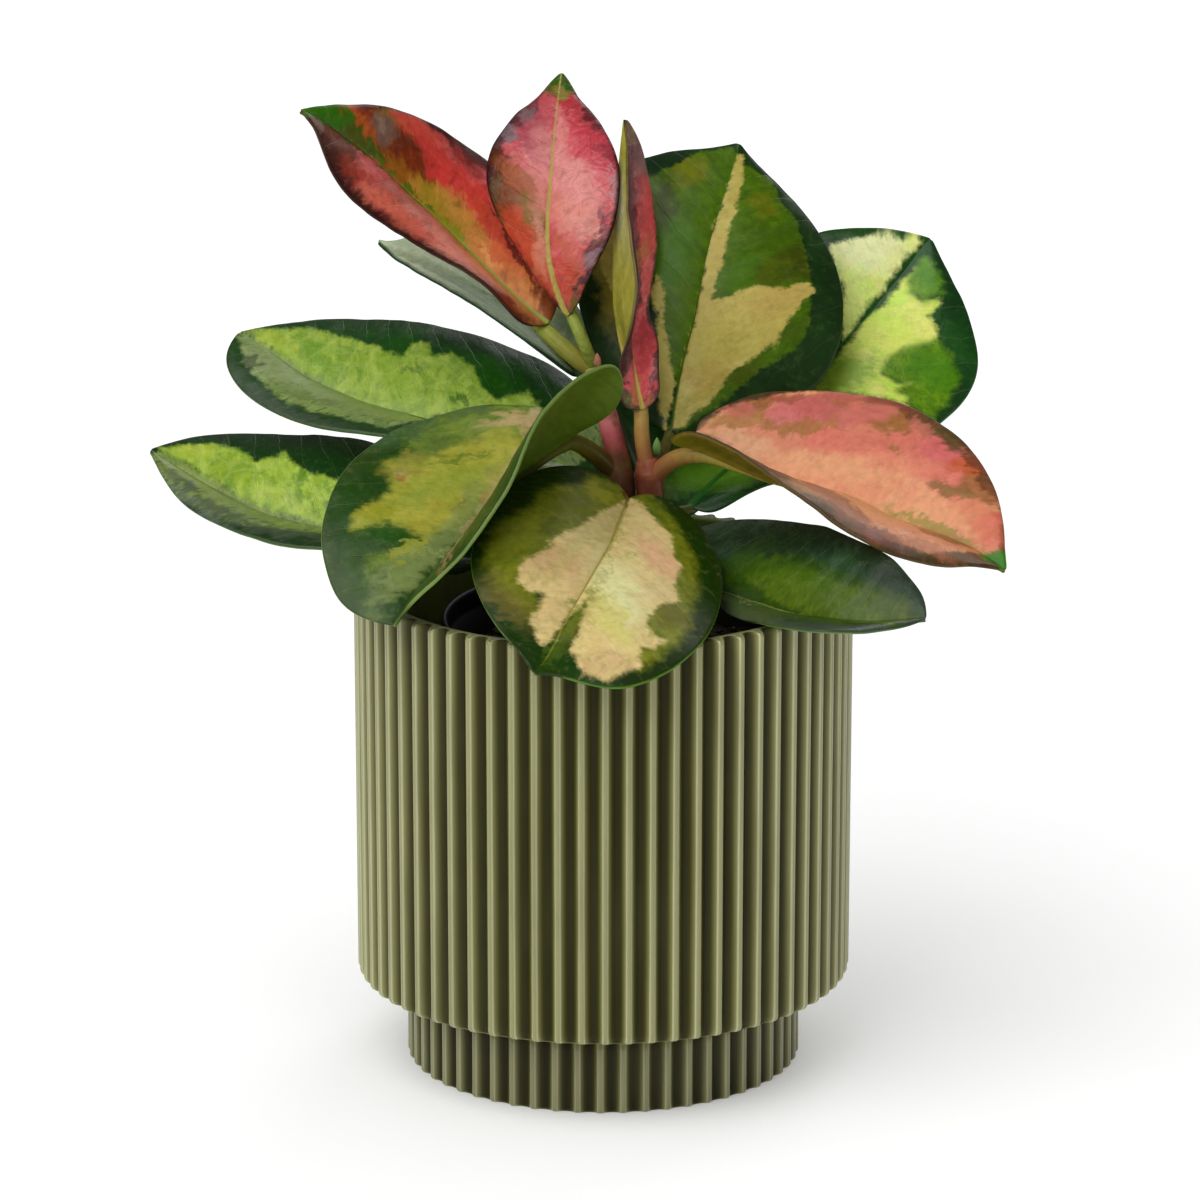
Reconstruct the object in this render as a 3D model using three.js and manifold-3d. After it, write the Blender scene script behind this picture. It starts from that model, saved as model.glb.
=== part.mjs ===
// Wax plant (Hoya australis, tricolor form) in a black growing pot, standing in a
// ribbed olive cover pot with a ribbed foot.
// Millimetres, +Z up. Origin: centre of the cover pot's flat underside.
// The plant is seen from its front when looking along +Y.
import * as THREE from 'three';
import { mergeVertices } from 'three/addons/utils/BufferGeometryUtils.js';
import Module from 'manifold-3d';

const wasm = await Module();
wasm.setup();

// ---- driving dimensions -------------------------------------------------
const POT_HEIGHT = 140;          // floor to rim
const POT_CREST_R = 70.02;       // radius over the ribs at the rim
const POT_DRAFT = 0.0045;        // radius lost per mm downwards
const POT_INNER_R = 64.3;        // radius of the mouth
const POT_RIBS = 66;
const POT_RIB_DEPTH = 3.0;
const POT_RIB_PHASE = 0.41;      // degrees, one crest just right of the front
const LIP_Z = 24.9;              // underside of the body, above the foot
const FOOT_CREST_R = 55.5;
const FOOT_RIBS = 54;
const FOOT_RIB_DEPTH = 2.1;
const FOOT_RIB_PHASE = -0.9;
const FOOT_INNER_R = 51;
const FLOOR_T = 3;               // plate under the foot
const SHELF_T = 3.1;             // step between body wall and foot wall
const EDGE = 1.1;                // rounding of rim, lip and foot edges

const GROW_X = 4.5, GROW_Y = 0;  // the growing pot stands a little right of centre
const GROW_RIM_R = 50;
const GROW_RIM_Z = 128.5;
const GROW_BASE_R = 39;
const GROW_BASE_Z = FLOOR_T + 0.3;
const GROW_WALL = 1.3;
const SOIL_TOP = 117;

const GAP = 0.3;                 // clearance between neighbouring pieces
const STATIONS_ACROSS = [-1, -0.72, -0.36, 0, 0.36, 0.72, 1];

// ---- helpers --------------------------------------------------------------
function toManifold(geometry) {
  const g = geometry.clone();
  for (const k of Object.keys(g.attributes)) if (k !== 'position') g.deleteAttribute(k);
  const m = mergeVertices(g, 1e-4);
  const tris = Array.from(m.index.array), keep = [];
  for (let i = 0; i < tris.length; i += 3) {
    const [a, b, c] = [tris[i], tris[i + 1], tris[i + 2]];
    if (a !== b && b !== c && c !== a) keep.push(a, b, c);
  }
  return new wasm.Manifold(new wasm.Mesh({
    numProp: 3,
    vertProperties: new Float32Array(m.attributes.position.array),
    triVerts: new Uint32Array(keep),
  }));
}

function toGeometry(solid) {
  const mesh = solid.getMesh();
  const g = new THREE.BufferGeometry();
  g.setAttribute('position', new THREE.BufferAttribute(new Float32Array(mesh.vertProperties), 3));
  g.setIndex(new THREE.BufferAttribute(new Uint32Array(mesh.triVerts), 1));
  const flat = g.toNonIndexed();
  flat.computeVertexNormals();
  return flat;
}

// the largest connected piece of a cut solid
function mainPiece(solid) {
  const parts = solid.decompose();
  parts.sort((a, b) => b.volume() - a.volume());
  return parts[0];
}

const vec = (p) => new THREE.Vector3(p[0], p[1], p[2]);

// round bar of constant radius along a smooth curve
function bar(points, radius, sides = 8, steps = 7) {
  const shape = new THREE.Shape();
  for (let i = 0; i < sides; i++) {
    const a = (2 * Math.PI * i) / sides;
    if (i === 0) shape.moveTo(radius, 0);
    else shape.lineTo(radius * Math.cos(a), radius * Math.sin(a));
  }
  shape.closePath();
  const path = new THREE.CatmullRomCurve3(points.map(vec), false, 'centripetal');
  return toManifold(new THREE.ExtrudeGeometry(shape, { steps, extrudePath: path, bevelEnabled: false }));
}

function ball(p, rx, rz = rx, seg = 10) {
  const g = new THREE.SphereGeometry(1, seg, Math.max(5, Math.round(seg * 0.6)));
  g.rotateX(Math.PI / 2);
  g.scale(rx, rx, rz);
  g.translate(p[0], p[1], p[2]);
  return toManifold(g);
}

// closed solid from rings of equal length; the first and last ring are capped
function ringSolid(rings) {
  const n = rings[0].length, pos = [], idx = [];
  for (const r of rings) for (const p of r) pos.push(...p);
  for (let k = 0; k + 1 < rings.length; k++) {
    for (let i = 0; i < n; i++) {
      const j = (i + 1) % n, a = k * n + i, b = k * n + j, c = a + n, d = b + n;
      idx.push(a, b, d, a, d, c);
    }
  }
  const base = pos.length / 3, z0 = rings[0][0][2], z1 = rings[rings.length - 1][0][2];
  pos.push(0, 0, z0, 0, 0, z1);
  const last = (rings.length - 1) * n;
  for (let i = 0; i < n; i++) {
    const j = (i + 1) % n;
    idx.push(base, j, i, base + 1, last + i, last + j);
  }
  const g = new THREE.BufferGeometry();
  g.setAttribute('position', new THREE.BufferAttribute(new Float32Array(pos), 3));
  g.setIndex(idx);
  return toManifold(g);
}

// one ring of a ribbed wall: narrow flat crests, wide flat valleys
function ribRing(crestR, depth, ribs, phaseDeg, z) {
  const ring = [], stops = [[-0.17, 0], [0.17, 0], [0.35, 1], [0.65, 1]];
  for (let i = 0; i < ribs; i++) {
    for (const [f, d] of stops) {
      const a = ((i + f) * 2 * Math.PI) / ribs + (phaseDeg - 90) * (Math.PI / 180);
      const r = crestR - depth * d;
      ring.push([r * Math.cos(a), r * Math.sin(a), z]);
    }
  }
  return ring;
}

function lathe(profile, seg, x = 0, y = 0) {
  const g = new THREE.LatheGeometry(profile.map(([r, z]) => new THREE.Vector2(r, z)), seg);
  g.rotateX(Math.PI / 2);
  g.translate(x, y, 0);
  return toManifold(g);
}

// ---- cover pot ------------------------------------------------------------
const crestAt = (z) => POT_CREST_R - POT_DRAFT * (POT_HEIGHT - z);
function coverPot() {
  const ring = (z, inset) => ribRing(crestAt(z) - inset, Math.max(0.4, POT_RIB_DEPTH - inset), POT_RIBS, POT_RIB_PHASE, z);
  const body = ringSolid([
    ring(LIP_Z, 2.0), ring(LIP_Z + 0.7, 0.6), ring(LIP_Z + 2.2, 0),
    ring(POT_HEIGHT - EDGE, 0), ring(POT_HEIGHT, 0.8),
  ]);
  const hollow = lathe([
    [0, LIP_Z - 1], [FOOT_INNER_R, LIP_Z - 1], [FOOT_INNER_R, LIP_Z + SHELF_T],
    [POT_INNER_R - 0.5, LIP_Z + SHELF_T], [POT_INNER_R, POT_HEIGHT - 0.6],
    [POT_INNER_R + 0.5, POT_HEIGHT], [POT_INNER_R + 0.5, POT_HEIGHT + 5], [0, POT_HEIGHT + 5],
  ], 72);
  return body.subtract(hollow);
}
// the foot: ribbed ring on a floor plate, just under the body
function potFoot() {
  const ring = (z, inset) => ribRing(FOOT_CREST_R - inset, FOOT_RIB_DEPTH - inset * 0.5, FOOT_RIBS, FOOT_RIB_PHASE, z);
  const foot = ringSolid([ring(0, 0.8), ring(1, 0), ring(LIP_Z - GAP, 0)]);
  const well = lathe([[0, FLOOR_T], [FOOT_INNER_R, FLOOR_T], [FOOT_INNER_R, LIP_Z + 5], [0, LIP_Z + 5]], 72);
  return foot.subtract(well);
}

// ---- growing pot and its soil --------------------------------------------
const growR = (z) => GROW_BASE_R + ((GROW_RIM_R - 2 - GROW_BASE_R) * (z - GROW_BASE_Z)) / (GROW_RIM_Z - 6 - GROW_BASE_Z);
function growingPot() {
  return lathe([
    [0, GROW_BASE_Z], [GROW_BASE_R - 1, GROW_BASE_Z], [GROW_BASE_R, GROW_BASE_Z + 1.2],
    [GROW_RIM_R - 2, GROW_RIM_Z - 6], [GROW_RIM_R, GROW_RIM_Z - 5], [GROW_RIM_R, GROW_RIM_Z - 0.6],
    [GROW_RIM_R - 0.6, GROW_RIM_Z], [GROW_RIM_R - 1.2, GROW_RIM_Z], [GROW_RIM_R - 1.8, GROW_RIM_Z - 0.8],
    [GROW_RIM_R - 1.9, GROW_RIM_Z - 5], [GROW_RIM_R - 2 - GROW_WALL, GROW_RIM_Z - 6.8],
    [GROW_BASE_R - GROW_WALL, GROW_BASE_Z + GROW_WALL], [0, GROW_BASE_Z + GROW_WALL],
  ], 44, GROW_X, GROW_Y);
}
function soil() {
  const r = (z) => growR(z) - GROW_WALL - 0.45;
  return lathe([
    [0, GROW_BASE_Z + GROW_WALL + GAP], [r(8) - 1, GROW_BASE_Z + GROW_WALL + GAP],
    [r(8), 8], [r(SOIL_TOP - 2), SOIL_TOP - 2], [r(SOIL_TOP) - 3, SOIL_TOP - 0.6],
    [30, SOIL_TOP + 0.6], [14, SOIL_TOP + 1.6], [0, SOIL_TOP + 2],
  ], 40, GROW_X, GROW_Y);
}

// ---- stems: centre lines rise from the soil -------------------------------
const STEMS = {
  stem_left: { r: 3.2, path: [[-3.2, 17.7, 195], [-1, 16.3, 188.4], [1.1, 14.6, 182.8], [3.1, 12.6, 174.6], [4.5, 11.7, 168.1], [4.9, 10.1, 159.3], [4.9, 7.1, 142.6], [5.2, 2.2, 105.9]],
    nodes: [[-3.2, 17.7, 194.7], [4.4, 11.7, 168.1], [4.9, 8.9, 153.8]] },
  stem_right: { r: 3.7, path: [[12.5, 12.1, 169.5], [13.1, 11.3, 163.3], [13.2, 10.3, 153.3], [13.1, 6.7, 131], [12.8, 3.2, 105.6]],
    nodes: [[12.6, 11.9, 168.7], [13.2, 10.5, 153.9]] },
};
const BUDS = [
  { name: 'bud_left', at: [-1.8, 15.7, 198.4], r: 1.3, h: 2.2, color: 0xb77a6a },
  { name: 'bud_right', at: [15, 10.1, 175], r: 1.6, h: 2.8, color: 0xb9c08a },
];

// ---- leaves: midrib, margins (base to tip) and stalk, 15 stations each -----
const LEAVES = [
  { name: 'leaf_pink_left', color: 0xb0524c, bow: [0.07, 0.07], thick: 1.3, petioleR: 2.5,
    mid: [[-15.8, 20.4, 207.3], [-16.7, 20.9, 207.9], [-19.5, 22.3, 209.6], [-23.7, 24.6, 212.6], [-28.9, 27.6, 217.1], [-35, 30.8, 222.7], [-41.9, 33.7, 229.1], [-49.3, 35.4, 235.8], [-56.9, 35.5, 242.9], [-63.8, 34.6, 250.1], [-70.3, 32.9, 256.3], [-76.1, 31.1, 261.1], [-80.4, 29.6, 264.8], [-83.4, 28.5, 266.5], [-84.5, 28.1, 266.9]],
    left: [[-15.8, 20.4, 207.3], [-22.1, 16.4, 208.5], [-27.1, 15.4, 213.4], [-31.6, 15.7, 218.7], [-36.8, 16.5, 223], [-42.8, 17.5, 226.3], [-49, 18.3, 229], [-55, 18.6, 232.2], [-60.7, 18.1, 236.1], [-66.2, 17.2, 240.5], [-71.1, 16.8, 245.4], [-75, 17.3, 251], [-77.8, 19.2, 256.9], [-80.4, 22.6, 262.5], [-84.5, 28.1, 266.9]],
    right: [[-15.8, 20.4, 207.3], [-13, 27.7, 212.5], [-14, 34.2, 218.8], [-16.2, 40.5, 225], [-19, 46.4, 231.1], [-22.8, 51.5, 236.9], [-28.1, 55, 242], [-34.1, 56.5, 246.8], [-40.5, 55.6, 251.7], [-47.1, 52.9, 256.7], [-54.2, 48.9, 260.8], [-61.7, 44.2, 264], [-69.3, 39, 265.6], [-77, 33.8, 266.3], [-84.5, 28.1, 266.9]],
    petiole: [[-3.2, 17.7, 195], [-6.6, 17.5, 197.6], [-10.5, 17.9, 200.7], [-15.8, 20.4, 207.3], [-17.4, 21.3, 208.5]] },
  { name: 'leaf_pink_top', color: 0xc06a72, bow: [0.07, 0.07], thick: 1.3, petioleR: 1.8,
    mid: [[-9.9, 17.3, 210.7], [-10.2, 17.4, 211.5], [-11.2, 17.9, 213.8], [-12.6, 18.6, 217.6], [-14.2, 19.9, 222.7], [-15.2, 21.8, 228.8], [-15.4, 24.9, 235.5], [-15, 29, 242.3], [-14.4, 34, 248.9], [-13.8, 39.7, 254.9], [-13.2, 45.6, 260.2], [-12.7, 50.8, 264.5], [-12.1, 54.9, 267.7], [-11.8, 57.5, 269.7], [-11.6, 58.4, 270.3]],
    left: [[-9.9, 17.3, 210.7], [-13.4, 20.6, 214.7], [-17.1, 23.2, 218.9], [-20.5, 25.4, 223.3], [-23.9, 27.4, 227.7], [-27.4, 29.6, 232.1], [-30.2, 32.4, 236.7], [-32, 36.1, 241.6], [-32.7, 40.5, 246.5], [-31.3, 45.3, 251.1], [-28.3, 50.1, 255.2], [-24.6, 54.2, 258.9], [-19.9, 57, 262], [-15.9, 58.6, 266], [-11.6, 58.4, 270.3]],
    right: [[-9.9, 17.3, 210.7], [-6.8, 16.4, 215.2], [-4.6, 16.1, 220.5], [-2.1, 16, 225.5], [0.4, 16.2, 230.5], [2.5, 17.1, 235.4], [3.8, 19.2, 240.3], [4.5, 22.5, 245.1], [4.6, 27.1, 249.5], [3.4, 32.6, 253.6], [1, 38.7, 257.2], [-2.1, 44.6, 260.4], [-5.8, 49.8, 263.3], [-8.8, 54.5, 266.9], [-11.6, 58.4, 270.3]],
    petiole: [[-3.2, 17.7, 195], [-3.8, 15.9, 199.2], [-5.7, 15.2, 203.8], [-9.9, 17.3, 210.7], [-10.6, 17.7, 212.8]] },
  { name: 'leaf_pink_twisted', color: 0xa84a50, bow: [0.03, 0.03], thick: 1.3, petioleR: 2.2,
    mid: [[11.1, 12.6, 185], [10.8, 12.7, 186], [9.9, 12.9, 189], [8.6, 13.2, 193.8], [7.2, 13.9, 200.2], [5.1, 15, 207.6], [3.6, 16.9, 215.9], [3.6, 19.4, 224.6], [4, 22.5, 233.2], [4.5, 26, 241.2], [4.8, 29.9, 248.2], [5.2, 33.6, 254], [5.7, 36.6, 258.2], [6.1, 38.4, 260.9], [6.2, 39, 261.8]],
    left: [[11.1, 12.6, 185], [5.8, 11.2, 186.3], [4.3, 10.3, 192.7], [4.5, 8.4, 199.7], [6.6, 5.1, 206.6], [7.9, 1, 214], [8.8, -0.3, 220.6], [9, 0.3, 226.9], [8.4, 2.8, 232.6], [7.9, 6.5, 238], [7.4, 12.2, 242.9], [7.2, 18.8, 247.6], [6.9, 26.3, 252.1], [6.6, 33, 256.8], [6.2, 39, 261.8]],
    right: [[11.1, 12.6, 185], [15.4, 12.7, 189.1], [15.6, 13.9, 195.1], [15.6, 17.4, 200.4], [14.6, 21.9, 205.4], [12.6, 27.3, 209.9], [13.3, 31.5, 215], [14.5, 34.8, 220.3], [15.1, 37, 226], [14.7, 39.7, 231.7], [13.8, 40.8, 237.6], [12.7, 41.4, 243.7], [11.3, 41.2, 249.9], [9.2, 40.5, 256], [6.2, 39, 261.8]],
    petiole: [[12.5, 12.2, 168], [11.1, 11.7, 173.4], [10.5, 12.1, 177.9], [10.5, 14.1, 184.6], [10.5, 12.8, 187.2]] },
  { name: 'leaf_cream_large', color: 0x7c8a45, bow: [0.07, 0.07], thick: 1.3, petioleR: 1.6,
    mid: [[18.9, 21.4, 176.1], [19.1, 21.9, 177], [19.5, 23.4, 179.8], [20.3, 25.8, 184.2], [21.6, 28.9, 190], [23.4, 32.4, 197], [25.6, 36.1, 204.8], [27.3, 40, 213.1], [29.1, 44.3, 221.4], [31.4, 49, 228.9], [33.9, 54.1, 235.4], [35.9, 59, 240.6], [37.3, 62.9, 244.6], [38.1, 65.4, 247.1], [38.4, 66.2, 247.9]],
    left: [[18.9, 21.4, 176.1], [11.1, 24.9, 178.5], [5.1, 29, 184], [0.2, 33.4, 190.4], [-3.5, 38, 197.5], [-6.1, 42.5, 205], [-7.7, 46.7, 212.9], [-8, 50.7, 220.9], [-6.2, 54.7, 228.8], [-2.6, 58.9, 236.1], [3.8, 62.8, 241.3], [12.1, 65.6, 243.6], [20.8, 67.3, 245.1], [29.7, 67.5, 245.9], [38.4, 66.2, 247.9]],
    right: [[18.9, 21.4, 176.1], [27.7, 23.2, 174.9], [36.4, 25.5, 176.1], [44.8, 28.3, 178.3], [52.8, 31.5, 181.4], [60, 34.8, 186], [64.9, 38.5, 192.5], [67.4, 42.4, 200.3], [67.6, 46.5, 208.4], [65.7, 50.9, 216.2], [61.9, 55.6, 223.2], [56.8, 59.9, 229.6], [50.8, 63.4, 235.5], [44.1, 65.4, 241], [38.4, 66.2, 247.9]],
    petiole: [[12.8, 12.5, 167.3], [15.9, 16.4, 170], [17.6, 19.3, 172.4], [18.9, 21.4, 176.1], [19.3, 22.5, 178]] },
  { name: 'leaf_pale_back', color: 0x9bb060, bow: [0.07, 0.07], thick: 1.3, petioleR: 1.9,
    mid: [[24.4, 18.1, 154.9], [25.3, 19.1, 155.5], [28, 21.9, 157.5], [32.4, 26.4, 160.5], [38.5, 32.2, 164.4], [45.3, 39, 169.7], [52.9, 46.1, 175.7], [60.7, 52.7, 182.7], [67.5, 58.4, 190.6], [74.9, 62.9, 197.7], [81.1, 66.7, 204.5], [86.3, 69.7, 210.2], [89.9, 72.1, 214.7], [92.4, 73.4, 217.3], [93.5, 73.8, 218]],
    left: [[24.4, 18.1, 154.9], [14.2, 24, 152.6], [6.5, 32.6, 157.9], [2.1, 42.8, 165.6], [1.7, 50.9, 174.5], [9.3, 58.1, 180.8], [18.8, 63.5, 185.4], [28.3, 66.6, 190.5], [36.4, 69.5, 197.6], [43.6, 72.1, 205.8], [51.2, 74.4, 213.6], [60.6, 76, 219.2], [71.6, 76.2, 220.6], [82.7, 75.4, 219.9], [93.5, 73.8, 218]],
    right: [[24.4, 18.1, 154.9], [31.1, 16.7, 153.8], [39.8, 18.8, 157.9], [49, 22.1, 160.6], [58.7, 26.1, 161.2], [68.4, 30.9, 162.1], [77.9, 36.3, 163.7], [87.1, 41.5, 166.4], [95.3, 46.3, 170.9], [102.6, 50.7, 176.7], [106.5, 55.5, 184.7], [105.6, 60.4, 193.5], [102.3, 65, 201.9], [97.6, 69.3, 209.8], [93.5, 73.8, 218]],
    petiole: [[13.1, 10.8, 154.9], [19.3, 13.8, 154.4], [24.4, 18.1, 154.9], [25.8, 19.5, 155.8]] },
  { name: 'leaf_folded_front', color: 0x7f8f3e, bow: [0.03, 0.05], thick: 1.3, petioleR: 2.6,
    mid: [[-8.5, 1.1, 181.3], [-9.3, 0.5, 181], [-11.6, -1.1, 179.9], [-15.2, -3.7, 178.1], [-19.7, -7.5, 175.4], [-24.5, -12.7, 171.7], [-29.2, -19.3, 167.3], [-34.3, -26.5, 162.8], [-39.4, -33.6, 158.4], [-44.6, -40, 154.4], [-49.3, -45.4, 150.8], [-52.9, -49.7, 147.5], [-55.3, -53, 144.8], [-56.8, -54.9, 143.1], [-57.3, -55.6, 142.5]],
    left: [[-8.5, 1.1, 181.3], [-0.5, -3.3, 186.5], [5, -7.4, 194.3], [3.4, -11.5, 204], [-5, -18.6, 203.8], [-12.1, -26.6, 200.6], [-17.7, -34.3, 195.7], [-21.4, -42.4, 189.7], [-24.3, -49.3, 183.1], [-28.2, -54.8, 176.5], [-33.3, -58.1, 170.1], [-38.9, -59.5, 163.5], [-45.2, -58.9, 156.8], [-51.8, -57.6, 150.3], [-57.3, -55.6, 142.5]],
    right: [[-8.5, 1.1, 181.3], [-14.4, 4.7, 186.8], [-23.6, 6.1, 187.7], [-32.8, 6.6, 187.8], [-41.9, 5.1, 186.7], [-50.6, 1.6, 184.7], [-59.1, -4.1, 182.9], [-66.6, -11, 179.6], [-72.7, -19, 175.1], [-76.3, -27.7, 168.9], [-77.8, -35.9, 162], [-76.3, -43.2, 154.8], [-72.6, -49.5, 148], [-65.7, -53.6, 144], [-57.3, -55.6, 142.5]],
    petiole: [[4.6, 11.6, 167.9], [1, 6.4, 171.4], [-3.8, 2.6, 176], [-8.5, 0.9, 180.8], [-10.1, -0.2, 180.5]] },
  { name: 'leaf_round_front', color: 0xa9a062, bow: [0.05, 0.05], thick: 1.3, petioleR: 1.9,
    mid: [[6.9, -3.4, 163.2], [6.6, -4.6, 162.9], [5.9, -8.3, 162], [4.7, -14.3, 160.5], [3.1, -22.2, 158.6], [0.9, -31.4, 156.4], [-2.1, -41.2, 154.2], [-5.1, -50.8, 151.6], [-8.2, -59, 148.7], [-10.9, -65.7, 145.5], [-13.2, -70.9, 142.3], [-15.2, -74.7, 139.6], [-17, -77.4, 137.6], [-18.2, -79, 136.5], [-18.6, -79.5, 136.1]],
    left: [[6.9, -3.4, 163.2], [14.3, -3.1, 164.1], [21.4, -6, 161.5], [27, -11.3, 157.5], [31.2, -20, 153.2], [33, -31.9, 149], [32, -46.1, 145.3], [29.1, -60.9, 142.3], [24.2, -73.6, 139.9], [18.2, -81.7, 137.5], [11.3, -86.5, 135.6], [3.8, -89.1, 134.9], [-3.7, -87.4, 135.5], [-11, -84.2, 136.6], [-18.6, -79.5, 136.1]],
    right: [[6.9, -3.4, 163.2], [2.4, -1.9, 168.2], [-3.7, -2.9, 171.9], [-10.7, -6, 173.7], [-17.6, -11.2, 174.1], [-23.9, -18.3, 173], [-29, -27.3, 170.6], [-32.9, -36.6, 167.5], [-35.7, -45.2, 163.4], [-36.2, -52.5, 158.4], [-34.6, -59.4, 153.4], [-31.4, -65.6, 148.9], [-27.3, -71.5, 144.9], [-22.7, -76, 140.8], [-18.6, -79.5, 136.1]],
    petiole: [[5.5, 9.1, 152.5], [5.8, 2.2, 157.5], [6.3, -1.5, 160.9], [6.9, -3.4, 163.2], [6.4, -5.5, 162.7]] },
  { name: 'leaf_left_upper', color: 0x6f8a38, bow: [0.07, 0.07], thick: 1.3, petioleR: 1.9,
    mid: [[-4.3, 17.9, 164.6], [-5.6, 18.2, 165], [-9.2, 19, 166.4], [-15.1, 20.3, 168.4], [-23.1, 22, 170.8], [-32.7, 24.3, 173.3], [-43.5, 27.2, 175.8], [-55, 30.4, 178.2], [-66.5, 33.6, 180.6], [-77.2, 37.3, 183.6], [-86.2, 41.7, 187.4], [-93.3, 46.1, 191.1], [-98.8, 49.6, 193.8], [-102.2, 51.8, 195.4], [-103.3, 52.5, 195.9]],
    left: [[-4.3, 17.9, 164.6], [-11.4, 10.5, 162.4], [-20.1, 6.7, 164.6], [-28.4, 4.4, 167.9], [-36.4, 3.4, 171.6], [-44.4, 3.7, 175.2], [-52.6, 5.3, 177.7], [-61.3, 7.6, 178.6], [-70, 10.5, 178.6], [-78.8, 14.6, 178.5], [-87.4, 20.4, 179.4], [-95.6, 27.4, 181.2], [-102.7, 35.1, 184.7], [-106.7, 43.4, 190.6], [-103.3, 52.5, 195.9]],
    right: [[-4.3, 17.9, 164.6], [3.2, 24.4, 162.7], [1.8, 32, 170.6], [-2.7, 38.8, 177.7], [-8.4, 45, 184.3], [-16.5, 50.1, 188.5], [-25.6, 54.5, 191.3], [-35, 58.1, 193.6], [-44.7, 60.6, 195.4], [-54.5, 62.3, 196.4], [-64.4, 63.4, 196.8], [-74.3, 63.5, 196.6], [-84.1, 62.1, 196.2], [-93.8, 58.8, 195.8], [-103.3, 52.5, 195.9]],
    petiole: [[4.9, 10.9, 162], [0.2, 15.2, 162.5], [-4.3, 17.9, 164.6], [-6.4, 18.4, 165.3]] },
  { name: 'leaf_left_lower', color: 0x66823a, bow: [0.07, 0.07], thick: 1.3, petioleR: 1.8,
    mid: [[-34.5, -4.4, 146], [-35.7, -4.2, 146.2], [-39.3, -3.4, 146.6], [-45.1, -2.2, 147.3], [-52.7, -0.5, 148.4], [-61.9, 1.4, 149.7], [-72.1, 3.6, 151.3], [-82.8, 6.1, 153], [-93.5, 9.1, 154.7], [-103.3, 12.8, 157.7], [-111.7, 16.7, 161.1], [-118.4, 20.3, 164.3], [-123.5, 23.2, 166.9], [-126.6, 24.9, 168.5], [-127.6, 25.5, 169]],
    left: [[-34.5, -4.4, 146], [-39.9, -11.7, 144.1], [-47.3, -15.5, 145.6], [-54.7, -17.8, 147.6], [-62, -19, 149.8], [-69.3, -19.2, 151.6], [-76.6, -18.4, 153.2], [-84.1, -16.8, 153.5], [-91.6, -13.8, 153.7], [-99, -9.3, 154.5], [-106.3, -3.9, 155.5], [-113.4, 2.4, 157.1], [-119.5, 9.3, 160], [-124, 16.8, 164.3], [-127.6, 25.5, 169]],
    right: [[-34.5, -4.4, 146], [-33, 4.3, 151.1], [-36.9, 11.4, 156.4], [-42.5, 17.7, 160.7], [-48.9, 23.2, 164.4], [-55.9, 27.9, 167.4], [-63.6, 31.5, 169.3], [-71.7, 34.2, 170], [-79.9, 36.3, 170.2], [-88, 37.8, 170.5], [-96.2, 38.5, 170.6], [-104.3, 38, 170.6], [-112.4, 36, 170.3], [-120.2, 32.2, 169.6], [-127.6, 25.5, 169]],
    petiole: [[5.8, 7.9, 148.8], [-12.2, 1.5, 151.8], [-24.7, -2.4, 149.2], [-34.5, -4.4, 146], [-36.6, -4, 146.3]] },
  { name: 'leaf_grey_back', color: 0x8f9c80, bow: [0.07, 0.07], thick: 1.3, petioleR: 2.2,
    mid: [[-7.4, 31.7, 189.4], [-8, 32.3, 189.9], [-9.7, 34.1, 191.4], [-12.4, 36.9, 193.8], [-16.2, 40.5, 196.9], [-21, 44.3, 200.3], [-26.8, 48.1, 203.9], [-33, 51.9, 207.6], [-39.5, 55.6, 210.9], [-45.9, 59.1, 213.6], [-51.7, 62.2, 215.9], [-56.8, 64.7, 217.6], [-60.7, 66.5, 218.5], [-63.2, 67.5, 218.9], [-64, 67.9, 219]],
    left: [[-7.4, 31.7, 189.4], [-3.1, 37.4, 192.1], [-2.9, 43.3, 196.8], [-5.1, 49.2, 201.2], [-8.4, 55, 205.1], [-12.2, 60.3, 208.7], [-16.8, 64.9, 212], [-21.8, 68.7, 214.7], [-27.5, 71.7, 216.8], [-33.4, 74, 218.2], [-39.6, 75.2, 219.1], [-45.8, 75.3, 219.5], [-52, 74.2, 219.2], [-58, 71.8, 218.4], [-64, 67.9, 219]],
    right: [[-7.4, 31.7, 189.4], [-11.4, 28.3, 193.2], [-15.2, 27.1, 196.5], [-19.1, 27.2, 199.4], [-23.1, 28.3, 201.9], [-27.2, 30.1, 204.1], [-31.2, 32.4, 206.3], [-35.2, 35.4, 208.2], [-39.3, 39, 210], [-43.5, 43.1, 211.5], [-47.7, 47.6, 212.9], [-52, 52.3, 214.3], [-56.2, 57, 215.6], [-60.4, 62, 217.1], [-64, 67.9, 219]],
    petiole: [[12, 12.5, 163.8], [8.9, 18.3, 167.4], [6.4, 21.7, 173.5], [1.9, 26.9, 182.2], [-7.4, 31.7, 189.4], [-8.8, 33.1, 190.5]] },
  { name: 'leaf_pink_right', color: 0xd07a68, bow: [0.07, 0.07], thick: 1.3, petioleR: 2.5,
    mid: [[26.7, 3.7, 176.2], [27.8, 3.3, 175.9], [30.9, 2.3, 174.9], [36, 0.5, 173.1], [42.7, -1.9, 170.7], [50.9, -4.5, 168.7], [60.4, -7.1, 167.2], [70.2, -10.1, 165.2], [79.3, -13.7, 161.5], [88.3, -17.3, 158.9], [96.3, -21, 156.7], [102.7, -24.6, 154.5], [107.3, -27.6, 152.4], [110, -29.6, 151], [110.9, -30.2, 150.5]],
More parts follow.
